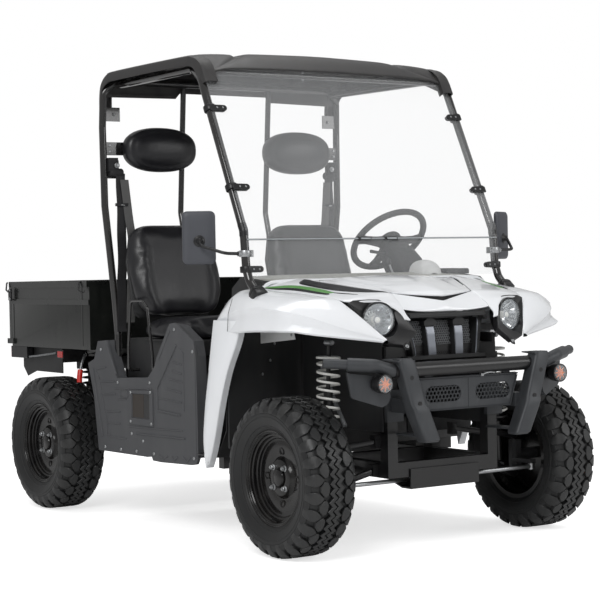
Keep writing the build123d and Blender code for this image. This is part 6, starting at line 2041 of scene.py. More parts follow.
def swollen(data, name, cap, pinned):
    """Inflates a pad with cloth pressure, holds its resting face, and caps how far it moves."""
    item = bpy.data.objects.new(name, data)
    bpy.context.scene.collection.objects.link(item)
    cut = item.modifiers.new("Even", "REMESH")
    cut.mode = "VOXEL"
    cut.voxel_size = PAD_CELL
    view = bpy.context.evaluated_depsgraph_get()
    mesh = bpy.data.meshes.new_from_object(item.evaluated_get(view))
    item.modifiers.clear()
    item.data = mesh
    start = [v.co.copy() for v in mesh.vertices]
    group = item.vertex_groups.new(name="Held")
    group.add([i for i, co in enumerate(start) if pinned(co / MM)], 1.0, "REPLACE")
    cloth = item.modifiers.new("Cloth", "CLOTH")
    for key, value in CLOTH.items():
        setattr(cloth.settings, key, value)
    cloth.settings.effector_weights.gravity = 0.0
    cloth.settings.vertex_group_mass = "Held"
    cloth.collision_settings.use_collision = False
    cloth.point_cache.frame_start = 1
    cloth.point_cache.frame_end = PAD_FRAMES
    for step in range(1, PAD_FRAMES + 1):
        bpy.context.scene.frame_set(step)
    view = bpy.context.evaluated_depsgraph_get()
    moved = bpy.data.meshes.new_from_object(item.evaluated_get(view))
    for v, co in zip(moved.vertices, start):
        shift = v.co - co
        if shift.length > cap:
            v.co = co + shift.normalized() * cap
    item.modifiers.clear()
    item.data = moved
    bpy.context.scene.frame_set(1)
    # the cloth's small folds are eased out
    work = bmesh.new()
    work.from_mesh(item.data)
    for _ in range(PAD_SMOOTHING):
        bmesh.ops.smooth_vert(work, verts=work.verts, factor=0.5, use_axis_x=True, use_axis_y=True,
                              use_axis_z=True)
    work.to_mesh(item.data)
    work.free()
    result = item.data
    bpy.data.objects.remove(item)
    return result


SHELL_FOOT = 928.0
SHELL_HALF = 205.0


def build_seats():
    """Two backs and two cushions in swollen vinyl, with their shells and trays."""
    s = sizes()
    for name, maker, cap, held in (
            ("seat_backs", seat_back_rings, s.pad_rise * 0.45, lambda p: p.y > 262),
            ("seat_cushions", cushion_rings, s.pad_rise * 0.7, lambda p: p.z < 842)):
        pad = Shape()
        pad.loft(maker(-4.0))
        ready = swollen(pad.mesh(name + "_pad", ["Seat vinyl"]), name + "_pad", cap, held)
        meshes = []
        for side in SIDES:
            copy = ready.copy()
            copy.transform(Matrix.Translation(Vector((side * SEAT_X, 0, 0)) * MM))
            meshes.append(copy)
        data = joined(meshes, name + "_finished", ["Seat vinyl"], 60)
        for poly in data.polygons:
            poly.material_index = 0
        item = settle(data, name + "_finished", "chassis", (name,))
        fine = item.modifiers.new("Fine", "SUBSURF")
        fine.levels = fine.render_levels = 1
    # plastic shell behind each back
    trim = Shape()
    low, half = SHELL_FOOT, SHELL_HALF
    for side in SIDES:
        middle = side * SEAT_X
        shell = [(-half, low + 20), (-half + 20, low), (half - 20, low), (half, low + 20),
                 (half + 16, 1180), (half - 12, 1300), (half - 70, 1330), (-half + 70, 1330),
                 (-half + 12, 1300), (-half - 16, 1180)]
        trim.loft([[(middle + x * narrow, 254 + (z - low) * 0.155 + back, z) for x, z in shell]
                   for narrow, back in ((0.97, -4), (1.0, 2), (0.98, 12), (0.9, 16))])
    trim.piece("seat_shells", ["Dark mould"], "chassis", "trim_black", edge=3.0, sharp=50)
    base = Shape()
    for side in SIDES:
        outline = [(side * SEAT_X - 190, -190), (side * SEAT_X + 190, -190),
                   (side * SEAT_X + 206, 60), (side * SEAT_X + 190, 196),
                   (side * SEAT_X - 190, 196), (side * SEAT_X - 206, 60)]
        base.plate_z(826, 834, outline)
    base.piece("seat_trays", ["Dark mould"], "chassis", "trim_black", edge=2.0)


def build_headrests():
    """Oval pads with a dished rim, on plates from the hoop."""
    pads = Shape()
    for side in SIDES:
        centre = Vector((side * 386, 330, 1699))
        rings = []
        for depth, wide, tall in ((44, 150, 78), (46, 166, 90), (40, 180, 98), (22, 186, 102),
                                  (0, 187, 102.5), (-14, 184, 100), (-24, 176, 93), (-29, 166, 84),
                                  (-30, 158, 77), (-36, 148, 70), (-44, 124, 56), (-49, 84, 36),
                                  (-51, 36, 14)):
            ring = []
            for k in range(56):
                a = 2 * math.pi * k / 56
                c, s = math.cos(a), math.sin(a)
                ring.append(centre + Vector((wide * squared(c, 0.86), depth,
                                             tall * squared(s, 0.8))))
            rings.append(ring)
        pads.loft(rings)
    item = pads.piece("headrests_finished", ["Seat vinyl"], "chassis", "seat_vinyl", ("headrests",),
                      sharp=48)


# ---------------------------------------------------------------- belts
def build_belts():
    """Retractors on the hoop, webbing down behind the seats, and buckles on their stalks."""
    belt = Shape()
    for side in SIDES:
        # retractor body and its bright bolt
        belt.box(side * 622 - 24, side * 622 + 24, 352, 378, 1598, 1660, 0)
        belt.turned((side * 606, 365, 1592), (1, 0, 0),
                    [(-34, 0), (-34, 17), (-28, 20), (28, 20), (34, 17), (34, 0)], 28, 0)
        belt.turned((side * 606, 351, 1625), (0, -1, 0), [(0, 0), (0, 13), (4, 13), (6, 9), (6, 0)],
                    20, 2)
        belt.turned((side * 606, 345, 1625), (0, -1, 0), [(0, 0), (0, 8), (7, 7), (7, 0)], 6, 2)
        # webbing down to the floor of the seat base
        drop = smooth_line([Vector(p)
                            for p in ((side * 588, 352, 1588), (side * 588, 350, 1400),
                                      (side * 588, 352, 1200), (side * 592, 356, 1020),
                                      (side * 598, 350, 862))], 6)
        rows = []
        for i, p in enumerate(drop):
            wave = 3.0 * math.sin(i * 0.9)
            rows.append([p + Vector((-23, 3 + wave, 0)), p + Vector((23, wave, 0)),
                         p + Vector((23, wave - 2.4, 0)), p + Vector((-23, wave + 0.6, 0))])
        belt.loft(rows, 0)
        # second run across to the buckle's tongue
        slant = smooth_line([Vector(p)
                             for p in ((side * 572, 346, 1560), (side * 556, 342, 1400),
                                       (side * 540, 338, 1250), (side * 556, 330, 1060),
                                       (side * 580, 300, 905))], 6)
        rows = []
        for p in slant:
            rows.append([p + Vector((-21, 2, 0)), p + Vector((21, 0, 0)), p + Vector((21, -2.2, 0)),
                         p + Vector((-21, -0.2, 0))])
        belt.loft(rows, 1)
        belt.box(side * 588 - 30, side * 588 + 30, 338, 354, 1438, 1452, 0)
        belt.tube([(side * 620, 350, 1448), (side * 588, 340, 1444), (side * 556, 346, 1440)], 4.5,
                  8, 12, 2)
        # buckle on its stalk beside the middle
        belt.tube([(side * 128, 190, 850), (side * 130, 176, 925)], 7, 0, 12, 0)
        belt.box(side * 130 - 17, side * 130 + 17, 160, 182, 918, 982, 0)
        belt.box(side * 130 - 12, side * 130 + 12, 158, 164, 962, 976, 3)
    belt.piece("seat_belts_finished", ["Belt web", "Belt edge", "Zinc", "Red grip"], "chassis",
               "belt_web", ("seat_belts",), edge=0.8, sharp=40)


# ---------------------------------------------------------------- mirrors
MIRROR = Vector((808.0, -682.0, 1270.0))


def build_mirrors():
    """Rounded shells with a ball joint, a curved arm and a bright two-bolt clamp on the post."""
    turn = math.radians(27)
    shells = Shape()
    for side in SIDES:
        ahead = Vector((side * math.sin(turn), -math.cos(turn), 0))
        across = Vector((math.cos(turn), side * math.sin(turn), 0))
        centre = Vector((side * MIRROR.x, MIRROR.y, MIRROR.z))

        def ring(depth, wide, tall, corner):
            """A rounded rectangle across the mirror's line of sight."""
            points = []
            for sx, sz, a0 in ((1, 1, 0), (-1, 1, 90), (-1, -1, 180), (1, -1, 270)):
                for k in range(6):
                    a = math.radians(a0 + 18 * k)
                    u = sx * (wide - corner) + corner * math.cos(a)
                    w = sz * (tall - corner) + corner * math.sin(a)
                    points.append(centre + across * u + Vector((0, 0, w)) + ahead * depth)
            return points

        shells.loft([ring(-9, 62, 102, 18), ring(-10, 66, 106, 20), ring(-6, 68, 108, 22),
                     ring(2, 67, 107, 22), ring(7, 62, 102, 20), ring(9.5, 52, 92, 16),
                     ring(10, 30, 60, 12)], 0)
        shells.loft([ring(-9.2, 60, 100, 17), ring(-10.4, 60, 100, 17), ring(-10.6, 59, 99, 16)], 1)
        joint = centre + ahead * 9 + Vector((0, 0, -14))
        shells.turned(joint, ahead, [(0, 0), (0, 24), (3, 23), (8, 14), (16, 12), (20, 8), (20, 0)],
                      28, 2)
        arm = [joint + ahead * 16, joint + ahead * 30 + Vector((side * -4, 0, -20)),
               Vector((side * 762, -806, 1204)), Vector((side * 676, -796, 1202))]
        shells.tube(arm, 6.5, 34, 16, 2)
        shells.turned((side * 684, -796, 1202), (side * -1, 0, 0),
                      [(-6, 0), (-6, 9), (10, 11), (10, 0)], 20, 3)
        shells.turned((side * 661, -795, 1189), (0, 0.04, 1),
                      [(0, 17.8), (0, 23), (3, 24.5), (23, 24.5), (26, 23), (26, 17.8)], 28, 3,
                      ring=True)
        shells.box(side * 640 - 12, side * 640 + 12, -808, -784, 1188, 1216, 3)
        for z in (1194, 1210):
            shells.turned((side * 640, -810, z), (0, -1, 0), [(-4, 0), (-4, 5), (5, 4.6), (5, 0)],
                          6, 3)
        shells.turned((side * 690, -797, 1202), (side, 0, 0), [(0, 0), (0, 11), (7, 10.4), (7, 0)],
                      6, 3)
    shells.piece("mirrors_finished", ["Mirror shell", "Mirror face", "Glove mould", "Zinc"],
                 "chassis", "trim_black", ("mirrors",), sharp=34)


# ---------------------------------------------------------------- hip hoops and steering
def build_hip_hoops():
    """Bent bars beside the seats, over the seat base."""
    hoops = Shape()
    path = [(560, 264, 690), (615, 266, 690), (615, 262, 800), (615, 238, 992), (615, 222, 1004),
            (615, 122, 1005), (615, 86, 976), (615, 46, 760), (615, 44, 690), (560, 44, 690)]
    hoops.tube(path, 6.5, 20, 18)
    hoops.mirror()
    hoops.piece("hip_hoops_finished", ["Tube gloss"], "chassis", "frame_black", ("hip_hoops",),
                sharp=50)


HELM = Vector((370.0, -408.0, 1260.0))
HELM_AXIS = Vector((0.0, 0.692, 0.722))
RIM_STEPS = 160


def build_helm():
    """Padded rim with finger grips, three spokes and a hub cap."""
    wheel = Shape()
    right = Vector((1, 0, 0))
    up = HELM_AXIS.cross(right).normalized()
    if up.z < 0:
        up = -up
    rows = []
    for i in range(RIM_STEPS):
        angle = 2 * math.pi * i / RIM_STEPS
        out = right * math.cos(angle) + up * math.sin(angle)
        share = abs(math.cos(angle))
        grip = (1.0 + 0.13 * math.cos(angle * 46)) if share > 0.25 else 1.0
        spot = HELM + out * 176
        ring = []
        for j in range(14):
            a = 2 * math.pi * j / 14
            r = 14.5 * (grip if math.cos(a) < 0.3 else 1.0)
            ring.append(spot + out * (r * math.cos(a)) + HELM_AXIS * (14.0 * math.sin(a)))
        rows.append(ring)
    rows.append(rows[0])
    wheel.loft(rows, 0, True, False)
    for angle in (2, 178, 270):
        a = math.radians(angle)
        out = right * math.cos(a) + up * math.sin(a)
        side = HELM_AXIS.cross(out).normalized()
        spoke = []
        for reach, half, drop, thick in ((30, 34, -14, 9), (80, 25, -10, 8), (130, 20, -4, 8),
                                         (166, 26, 0, 9)):
            c = HELM + out * reach + HELM_AXIS * drop
            spoke.append([c - side * half - HELM_AXIS * thick,
                          c - side * (half - 5) + HELM_AXIS * thick,
                          c + side * (half - 5) + HELM_AXIS * thick,
                          c + side * half - HELM_AXIS * thick])
        wheel.loft(spoke, 1)
    wheel.turned(HELM, HELM_AXIS,
                 [(-40, 0), (-40, 38), (-20, 52), (-8, 56), (2, 52), (6, 40), (8, 0)], 40, 1)
    wheel.turned(HELM, HELM_AXIS, [(6, 0), (6, 30), (9, 27), (10, 0)], 32, 1)
    wheel.piece("steering_wheel_finished", ["Grip foam", "Dark mould"], "helm", "grip_black",
                ("steering_wheel",), sharp=38)
    column = Shape()
    rows = []
    for along, half, tall in ((-46, 44, 40), (-58, 62, 50), (-120, 74, 60), (-170, 78, 66),
                              (-240, 70, 58), (-318, 52, 46)):
        c = HELM + HELM_AXIS * along
        rows.append([c + right * (half * squared(math.cos(a), 0.45))
                     + up * (tall * squared(math.sin(a), 0.45) - 6)
                     for a in [2 * math.pi * k / 32 for k in range(32)]])
    column.loft(rows, 0)
    # stalk and key switch
    column.tube([HELM + HELM_AXIS * -90 + right * -60,
                 HELM + HELM_AXIS * -84 + right * -110 + up * 4,
                 HELM + HELM_AXIS * -80 + right * -150 + up * 8], 5.5, 20, 14, 0, tip=8.0)
    column.turned(HELM + HELM_AXIS * -150 + right * 74, (1, 0, 0),
                  [(-4, 0), (-4, 15), (6, 14), (8, 10), (8, 0)], 24, 1)
    column.piece("steering_column_finished", ["Dark mould", "Zinc"], "chassis", "trim_black",
                 ("steering_column",), edge=1.0, sharp=36)


# ---------------------------------------------------------------- dashboard
# columns: y, z of the cowl's line over the dashboard
COWL_LINE = [(-786, 1076), (-776, 1092), (-740, 1098), (-690, 1104), (-645, 1109.5), (-612, 1098),
             (-580, 1070), (-568, 1040), (-562, 1000)]
POD_X = 366.0


def build_dashboard():
    """Pale cowl over the dashboard, domed pod ahead of the wheel, its controls and the grab bar."""
    cowl = Shape()
    rows = []
    for y, z in COWL_LINE:
        row = []
        for share in (-1.0, -0.985, -0.94, -0.8, -0.5, 0.0, 0.5, 0.8, 0.94, 0.985, 1.0):
            drop = 26.0 * max(0.0, (abs(share) - 0.9) / 0.1) ** 2
            row.append((583 * share, y, z - drop + 3.0 * (1 - share * share)))
        rows.append(row)
    net = smooth_net(rows, 3, 2)
    cowl.loft(walled(net, 0.995, 0.5, 3.0))
    # domed pod, open toward the driver
    shell = []
    for y, half, top in ((-736, 18, 1106), (-731, 42, 1134), (-716, 56, 1152), (-692, 62, 1163),
                         (-660, 64, 1165), (-636, 63, 1162)):
        ring = []
        for k in range(17):
            a = math.pi * k / 16
            ring.append((POD_X + half * math.cos(a), y, 1098 + (top - 1098) * math.sin(a) ** 0.8))
        inner = [(POD_X + (x - POD_X) * 0.93, y + 1.0, 1098 + (z - 1098) * 0.93 - 0.5)
                 for x, _, z in reversed(ring)]
        shell.append(ring + inner)
    cowl.loft([[tuple(p) for p in row] for row in smooth_net(shell, 3, 1)], 1)
    cowl.piece("dashboard_cowl", ["Cowl mould", "White mould"], "chassis", "cowl_grey", edge=1.0,
               sharp=40)

    kit = Shape()
    # gauge inside the pod, its bezel and a shift housing beside it
    face = Vector((POD_X, -668, 1128))
    aim = Vector((0, 1, 0.18)).normalized()
    kit.turned(face, aim, [(-24, 0), (-24, 25), (0, 27), (4, 26), (4, 23), (-2, 22), (-2, 0)], 40,
               0)
    kit.turned(face, aim, [(3, 26.5), (6, 25.5), (6, 23.5), (3, 23.0)], 40, 1, ring=True)
    kit.turned(face, aim, [(-1.5, 0), (-1.5, 21.5), (0.5, 21.0), (0.5, 0)], 40, 2)
    kit.loft([[(452, y, 1104), (452, y, 1120), (458, y, 1126), (572, y, 1124), (578, y, 1117),
               (578, y, 1100)]
              for y in (-722, -716, -668, -660)])
    for x, r in ((474, 9.0), (503, 9.0), (534, 11.0), (560, 8.0)):
        kit.turned((x, -664, 1113), (0, 1, 0.1),
                   [(-4, r + 2), (4, r + 1.5), (5, r), (16, r * 0.82), (18, r * 0.6), (18, 0)], 24,
                   0)
    # shift lever
    kit.tube([(250, -606, 1090), (252, -580, 1118), (254, -560, 1150)], 5.0, 10, 14, 1)
    kit.turned((254, -560, 1148), (0.03, 0.5, 0.8),
               [(-4, 0), (-4, 7), (4, 12), (18, 15), (30, 12), (36, 5), (37, 0)], 28)
    kit.turned((249, -614, 1088), (0, 0.5, 0.85),
               [(-6, 20), (2, 18), (10, 9), (12, 5.2), (-6, 5.2)], 24, ring=True)
    # grab bar on the passenger's side
    kit.tube([(-520, -590, 1060), (-520, -548, 1092), (-500, -540, 1098), (-270, -540, 1098),
              (-250, -548, 1092), (-250, -590, 1060)], 11.0, 20, 22)
    for x in (-520, -250):
        kit.turned((x, -588, 1058), (0, 0.72, 0.7), [(-8, 20), (0, 20), (3, 16), (3, 0), (-8, 0)],
                   24)
    kit.piece("dashboard_controls", ["Glove mould", "Zinc", "White mould"], "chassis", "trim_black",
              edge=0.8, sharp=34)
    lid = Shape()
    # glove box lid with its latch, and vents
    lid.prism([(-530, -571, 900), (-250, -571, 900), (-246, -565, 1020), (-534, -565, 1020)],
              (0, 5, 0))
    lid.box(-405, -375, -568, -557, 998, 1010, 1)
    for x in (-180, 180):
        lid.box(x - 52, x + 52, -570, -562, 962, 1014, 0)
        for k in range(5):
            lid.box(x - 46, x + 46, -563, -558, 968 + 9 * k, 971 + 9 * k, 0)
    lid.piece("dashboard_lids", ["Dark mould", "Glove mould"], "chassis", "trim_black", edge=1.2,
              sharp=34)


# ---------------------------------------------------------------- bed
def build_bed_trim():
    """Seams, tie-down hooks, latches, reflectors and the lever that frees the bed."""
    trim = Shape()
    trim.box(636.0, 637.8, 661, 668, 790, 984)
    trim.box(636.0, 637.8, 1398, 1404, 790, 984)
    trim.box(636.0, 637.8, 661, 668, 1011, 1068)
    for y in (606, 1386):
        trim.tube([(651, y, 1050), (659, y + 4, 1046), (664, y + 16, 1046), (664, y + 40, 1056),
                   (656, y + 48, 1090), (651, y + 46, 1094)], 4.0, 8, 12, 1)
    trim.prism([(650, 1388, 1000), (650, 1420, 1004), (650, 1422, 1058), (650, 1388, 1062)],
               (6, 0, 0), 1)
    for y, z in ((1397, 1012), (1397, 1050)):
        trim.hexagon((656, y, z), (1, 0, 0), 12, 6, 2)
    # side reflector under the floor's edge
    trim.box(628, 637, 866, 928, 724, 764, 1)
    trim.prism([(637, 871, 729), (637, 923, 729), (637, 923, 759), (637, 871, 759)], (3, 0, 0), 3)
    # red lens behind each lamp's housing
    trim.box(602, 634, 1438, 1445, 718, 770, 3)
    # light rod along the floor's edge
    trim.tube([(622, 1262, 722), (622, 1180, 728), (622, 1010, 744), (612, 990, 748)], 5.0, 20, 12,
              4)
    trim.mirror()
    trim.piece("bed_trim", ["Bed coat", "Glove mould", "Zinc", "Red lens", "Underside grey"], "bed",
               "frame_black", edge=0.7, sharp=34)
    lever = Shape()
    lever.tube([(-560, 790, 745), (-584, 780, 700), (-596, 772, 668)], 6.0, 20, 14, 1)
    lever.tube([(-596, 772, 672), (-603, 768, 640), (-606, 764, 612)], 13.0, 10, 20, 0)
    lever.tube([(-560, 790, 745), (-560, 830, 690), (-556, 850, 640), (-540, 870, 600)], 4.2, 40,
               12, 2)
    lever.piece("bed_lever", ["Red grip", "Zinc", "Glove mould"], "chassis", "trim_black", sharp=40)


# ---------------------------------------------------------------- front wells
# columns: finish, radius, points along a bar or hose inside a front well
WELL_BARS = [
    ("Underside grey", 9.0, [(340, -868, 730), (350, -960, 600), (356, -1040, 500)]),
    ("Glove mould", 4.5, [(330, -880, 690), (346, -905, 600), (352, -965, 520), (340, -1010, 470)]),
]
WELL_SCREWS = [(-640, 700), (-700, 760), (-735, 830), (-860, 868), (-960, 876)]


def build_wells():
    """Pale panel, bar, brake hose and screws inside the front wells."""
    well = Shape()
    coats = ["Underside grey", "Zinc", "Glove mould", "White mould"]
    for coat, radius, line in WELL_BARS:
        well.tube(line, radius, 60, 16, coats.index(coat))
    well.prism([(482, -600, 876), (482, -872, 884), (482, -884, 850), (482, -572, 822)], (4, 0, 0),
               3)
    for y, z in WELL_SCREWS:
        well.turned((486, y, z), (1, 0, 0), [(-2, 6.5), (1.5, 6.0), (2.6, 3.5), (2.8, 0)], 12, 1)
    well.mirror()
    well.piece("front_well_fittings", coats, "chassis", "trim_black", edge=0.6, sharp=36)


# ---------------------------------------------------------------- plain carried-over pieces
# columns: node, body, slot, finish, edge
DRESSED = [
    ("chassis_frame", "chassis", "chassis_black", "Chassis coat", 3.0),
    ("floor_pan", "chassis", "chassis_black", "Chassis coat", 1.5),
    ("seat_base", "chassis", "trim_black", "Dark mould", 4.0),
    ("battery_pack", "chassis", "trim_black", "Dark mould", 3.0),
    ("wheel_liners", "chassis", "trim_black", "Dark mould", 2.0),
    ("skid_plate", "chassis", "plate_grey", "Chassis coat", 1.5),
    ("dashboard", "chassis", "trim_black", "Dark mould", 5.0),
    ("front_arms", "chassis", "axle_black", "Chassis coat", 1.0),
    ("knuckle_right", "right_knuckle", "axle_black", "Cast alloy", 3.0),
    ("knuckle_left", "left_knuckle", "axle_black", "Cast alloy", 3.0),
    ("tie_rods", "rack", "steel", "Zinc", 1.0),
    ("rear_axle", "chassis", "axle_black", "Chassis coat", 2.0),
    ("drive_unit", "chassis", "axle_black", "Cast alloy", 5.0),
    ("bed_tub", "bed", "frame_black", "Bed coat", 2.0),
    ("tailgate", "gate", "frame_black", "Bed coat", 2.0),
    ("tail_lamps", "bed", "lens_red", "Glove mould", 2.0),
    ("rear_guards", "bed", "trim_black", "Dark mould", 1.5),
]


def build_dressed():
    """Pieces whose CAD shape is already right: softened edges and their own finish."""
    for piece, body, slot, coat, edge in DRESSED:
        dress(piece, body, coat, edge)


# ---------------------------------------------------------------- the add-on
class UTV_OT_finishes(bpy.types.Operator):
    """Builds the shader groups and every finish"""

    bl_idname = "utv.finishes"
    bl_label = "Finishes"
    bl_options = {"REGISTER", "UNDO"}

    def execute(self, context):
        build_groups()
        build_finishes()
        return {"FINISHED"}


class UTV_OT_stage(bpy.types.Operator):
    """Sets up the floor, lamps and camera"""

    bl_idname = "utv.stage"
    bl_label = "Stage"
    bl_options = {"REGISTER", "UNDO"}

    def execute(self, context):
        build_stage()
        return {"FINISHED"}


class UTV_OT_tyres(bpy.types.Operator):
    """Builds the four tyres with their tread"""

    bl_idname = "utv.tyres"
    bl_label = "Tyres"
    bl_options = {"REGISTER", "UNDO"}

    def execute(self, context):
        build_tyres()
        return {"FINISHED"}


class UTV_OT_rims(bpy.types.Operator):
    """Builds the four rims with hub caps and nuts"""

    bl_idname = "utv.rims"
    bl_label = "Rims"
    bl_options = {"REGISTER", "UNDO"}

    def execute(self, context):
        build_rims()
        return {"FINISHED"}


class UTV_OT_fenders(bpy.types.Operator):
    """Builds the front fenders and their legs"""

    bl_idname = "utv.fenders"
    bl_label = "Fenders"
    bl_options = {"REGISTER", "UNDO"}

    def execute(self, context):
        build_fenders()
        return {"FINISHED"}


class UTV_OT_hood(bpy.types.Operator):
    """Builds the hood lid and its hinges"""

    bl_idname = "utv.hood"
    bl_label = "Hood"
    bl_options = {"REGISTER", "UNDO"}

    def execute(self, context):
        build_hood()
        return {"FINISHED"}


class UTV_OT_cover(bpy.types.Operator):
    """Builds the nose panels, the slit, the stripes and the dark strip painted as the gap's shadow
    """

    bl_idname = "utv.cover"
    bl_label = "Front cover"
    bl_options = {"REGISTER", "UNDO"}

    def execute(self, context):
        build_front_cover()
        return {"FINISHED"}


class UTV_OT_lamps(bpy.types.Operator):
    """Builds the lenses, bowls and bulbs"""

    bl_idname = "utv.lamps"
    bl_label = "Headlights"
    bl_options = {"REGISTER", "UNDO"}

    def execute(self, context):
        build_lamps()
        return {"FINISHED"}


class UTV_OT_bezels(bpy.types.Operator):
    """Builds the dark surrounds and their bolts"""

    bl_idname = "utv.bezels"
    bl_label = "Headlight surrounds"
    bl_options = {"REGISTER", "UNDO"}

    def execute(self, context):
        build_bezels()
        return {"FINISHED"}


class UTV_OT_grille(bpy.types.Operator):
    """Builds the blades, satin bars and honeycomb"""

    bl_idname = "utv.grille"
    bl_label = "Grille"
    bl_options = {"REGISTER", "UNDO"}

    def execute(self, context):
        build_grille()
        return {"FINISHED"}


class UTV_OT_panels(bpy.types.Operator):
    """Builds the moulded lower doors"""

    bl_idname = "utv.panels"
    bl_label = "Side panels"
    bl_options = {"REGISTER", "UNDO"}

    def execute(self, context):
        build_side_panels()
        return {"FINISHED"}


class UTV_OT_bumper(bpy.types.Operator):
    """Builds the posts, the tube and its hook"""

    bl_idname = "utv.bumper"
    bl_label = "Bumper"
    bl_options = {"REGISTER", "UNDO"}

    def execute(self, context):
        build_bumper()
        return {"FINISHED"}


class UTV_OT_plate(bpy.types.Operator):
    """Builds the windowed plate and its honeycomb"""

    bl_idname = "utv.plate"
    bl_label = "Bumper plate"
    bl_options = {"REGISTER", "UNDO"}

    def execute(self, context):
        build_bumper_plate()
        return {"FINISHED"}


class UTV_OT_signals(bpy.types.Operator):
    """Builds the turn lamps and their plates"""

    bl_idname = "utv.signals"
    bl_label = "Turn lamps"
    bl_options = {"REGISTER", "UNDO"}

    def execute(self, context):
        build_turn_lamps()
        return {"FINISHED"}


class UTV_OT_shocks(bpy.types.Operator):
    """Builds the springs and dampers"""

    bl_idname = "utv.shocks"
    bl_label = "Shocks"
    bl_options = {"REGISTER", "UNDO"}

    def execute(self, context):
        build_shocks()
        return {"FINISHED"}


class UTV_OT_tubes(bpy.types.Operator):
    """Builds the hoop, the inner posts and the front posts"""

    bl_idname = "utv.tubes"
    bl_label = "Cab tubes"
    bl_options = {"REGISTER", "UNDO"}

    def execute(self, context):
        build_cab_tubes()
        return {"FINISHED"}


class UTV_OT_screen(bpy.types.Operator):
    """Builds the two panes, the rail and the clamps"""

    bl_idname = "utv.screen"
    bl_label = "Windscreen"
    bl_options = {"REGISTER", "UNDO"}

    def execute(self, context):
        build_screen()
        return {"FINISHED"}


class UTV_OT_roof(bpy.types.Operator):
    """Builds the moulded roof and its side mouldings"""

    bl_idname = "utv.roof"
    bl_label = "Roof"
    bl_options = {"REGISTER", "UNDO"}

    def execute(self, context):
        build_roof()
        return {"FINISHED"}


class UTV_OT_seats(bpy.types.Operator):
    """Builds the padded backs and cushions"""

    bl_idname = "utv.seats"
    bl_label = "Seats"
    bl_options = {"REGISTER", "UNDO"}

    def execute(self, context):
        build_seats()
        return {"FINISHED"}


class UTV_OT_headrests(bpy.types.Operator):
    """Builds the oval headrests"""

    bl_idname = "utv.headrests"
    bl_label = "Headrests"
    bl_options = {"REGISTER", "UNDO"}

    def execute(self, context):
        build_headrests()
        return {"FINISHED"}


class UTV_OT_belts(bpy.types.Operator):
    """Builds the retractors, the webbing and the buckles"""

    bl_idname = "utv.belts"
    bl_label = "Seat belts"
    bl_options = {"REGISTER", "UNDO"}

    def execute(self, context):
        build_belts()
        return {"FINISHED"}


class UTV_OT_mirrors(bpy.types.Operator):
    """Builds the mirrors, their arms and clamps"""

    bl_idname = "utv.mirrors"
    bl_label = "Mirrors"
    bl_options = {"REGISTER", "UNDO"}

    def execute(self, context):
        build_mirrors()
        return {"FINISHED"}


class UTV_OT_hoops(bpy.types.Operator):
    """Builds the bent bars beside the seats"""

    bl_idname = "utv.hoops"
    bl_label = "Hip hoops"
    bl_options = {"REGISTER", "UNDO"}

    def execute(self, context):
        build_hip_hoops()
        return {"FINISHED"}


class UTV_OT_helm(bpy.types.Operator):
    """Builds the wheel and its column"""

    bl_idname = "utv.helm"
    bl_label = "Steering"
    bl_options = {"REGISTER", "UNDO"}

    def execute(self, context):
        build_helm()
        return {"FINISHED"}


class UTV_OT_dashboard(bpy.types.Operator):
    """Builds the cowl, the pod and the controls"""

    bl_idname = "utv.dashboard"
    bl_label = "Dashboard"
    bl_options = {"REGISTER", "UNDO"}

    def execute(self, context):
        build_dashboard()
        return {"FINISHED"}


class UTV_OT_bed(bpy.types.Operator):
    """Builds the bed's seams, hooks, reflectors and lever"""

    bl_idname = "utv.bed"
    bl_label = "Bed fittings"
    bl_options = {"REGISTER", "UNDO"}

    def execute(self, context):
        build_bed_trim()
        return {"FINISHED"}


class UTV_OT_wells(bpy.types.Operator):
    """Builds the panels, bars, hoses and screws inside the front wells"""

    bl_idname = "utv.wells"
    bl_label = "Front wells"
    bl_options = {"REGISTER", "UNDO"}

    def execute(self, context):
        build_wells()
        return {"FINISHED"}


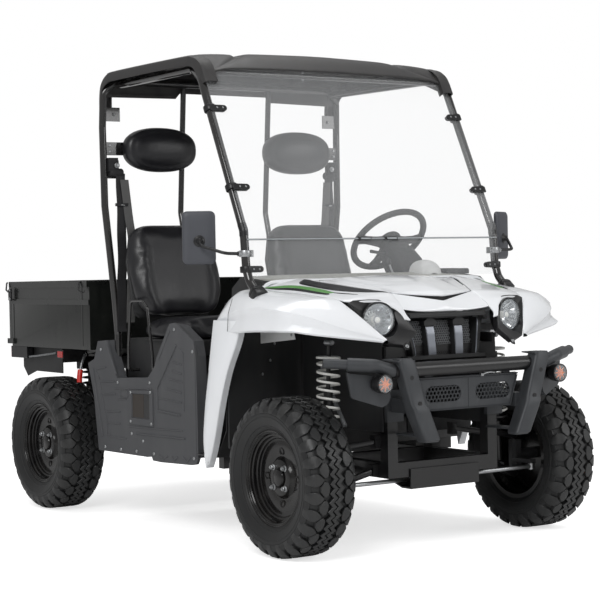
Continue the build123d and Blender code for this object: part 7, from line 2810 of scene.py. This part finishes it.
class UTV_OT_dressed(bpy.types.Operator):
    """Softens and finishes the pieces kept from CAD"""

    bl_idname = "utv.dressed"
    bl_label = "Carried-over pieces"
    bl_options = {"REGISTER", "UNDO"}

    def execute(self, context):
        build_dressed()
        return {"FINISHED"}


# in building order
OPERATORS = [
    UTV_OT_finishes, UTV_OT_stage, UTV_OT_tyres, UTV_OT_rims, UTV_OT_fenders, UTV_OT_hood,
    UTV_OT_cover, UTV_OT_lamps, UTV_OT_bezels, UTV_OT_grille, UTV_OT_panels, UTV_OT_bumper,
    UTV_OT_plate, UTV_OT_signals, UTV_OT_shocks, UTV_OT_tubes, UTV_OT_screen, UTV_OT_roof,
    UTV_OT_seats, UTV_OT_headrests, UTV_OT_belts, UTV_OT_mirrors, UTV_OT_hoops, UTV_OT_helm,
    UTV_OT_dashboard, UTV_OT_bed, UTV_OT_wells, UTV_OT_dressed,
]


class UTV_PT_build(bpy.types.Panel):
    """Every piece of the vehicle, in building order."""

    bl_label = "Utility Vehicle"
    bl_idname = "UTV_PT_build"
    bl_space_type = "VIEW_3D"
    bl_region_type = "UI"
    bl_category = "Utility Vehicle"

    def draw(self, context):
        """Every colour and size, then a button for each operator."""
        scene = context.scene
        for group in (scene.utv_colours, scene.utv_sizes):
            box = self.layout.box()
            for key in group.__class__.__annotations__:
                box.prop(group, key)
        column = self.layout.column()
        for item in OPERATORS:
            column.operator(item.bl_idname)


CLASSES = [UtvColours, UtvSizes] + OPERATORS + [UTV_PT_build]


def register():
    """Adds the classes, and the settings on the scene."""
    for item in CLASSES:
        bpy.utils.register_class(item)
    bpy.types.Scene.utv_colours = bpy.props.PointerProperty(type=UtvColours)
    bpy.types.Scene.utv_sizes = bpy.props.PointerProperty(type=UtvSizes)


def unregister():
    """Takes away what register added."""
    del bpy.types.Scene.utv_sizes
    del bpy.types.Scene.utv_colours
    for item in reversed(CLASSES):
        bpy.utils.unregister_class(item)


def main():
    """Builds everything in order."""
    register()
    for item in OPERATORS:
        getattr(bpy.ops.utv, item.bl_idname.partition(".")[2])()


if __name__ == "__main__":
    main()
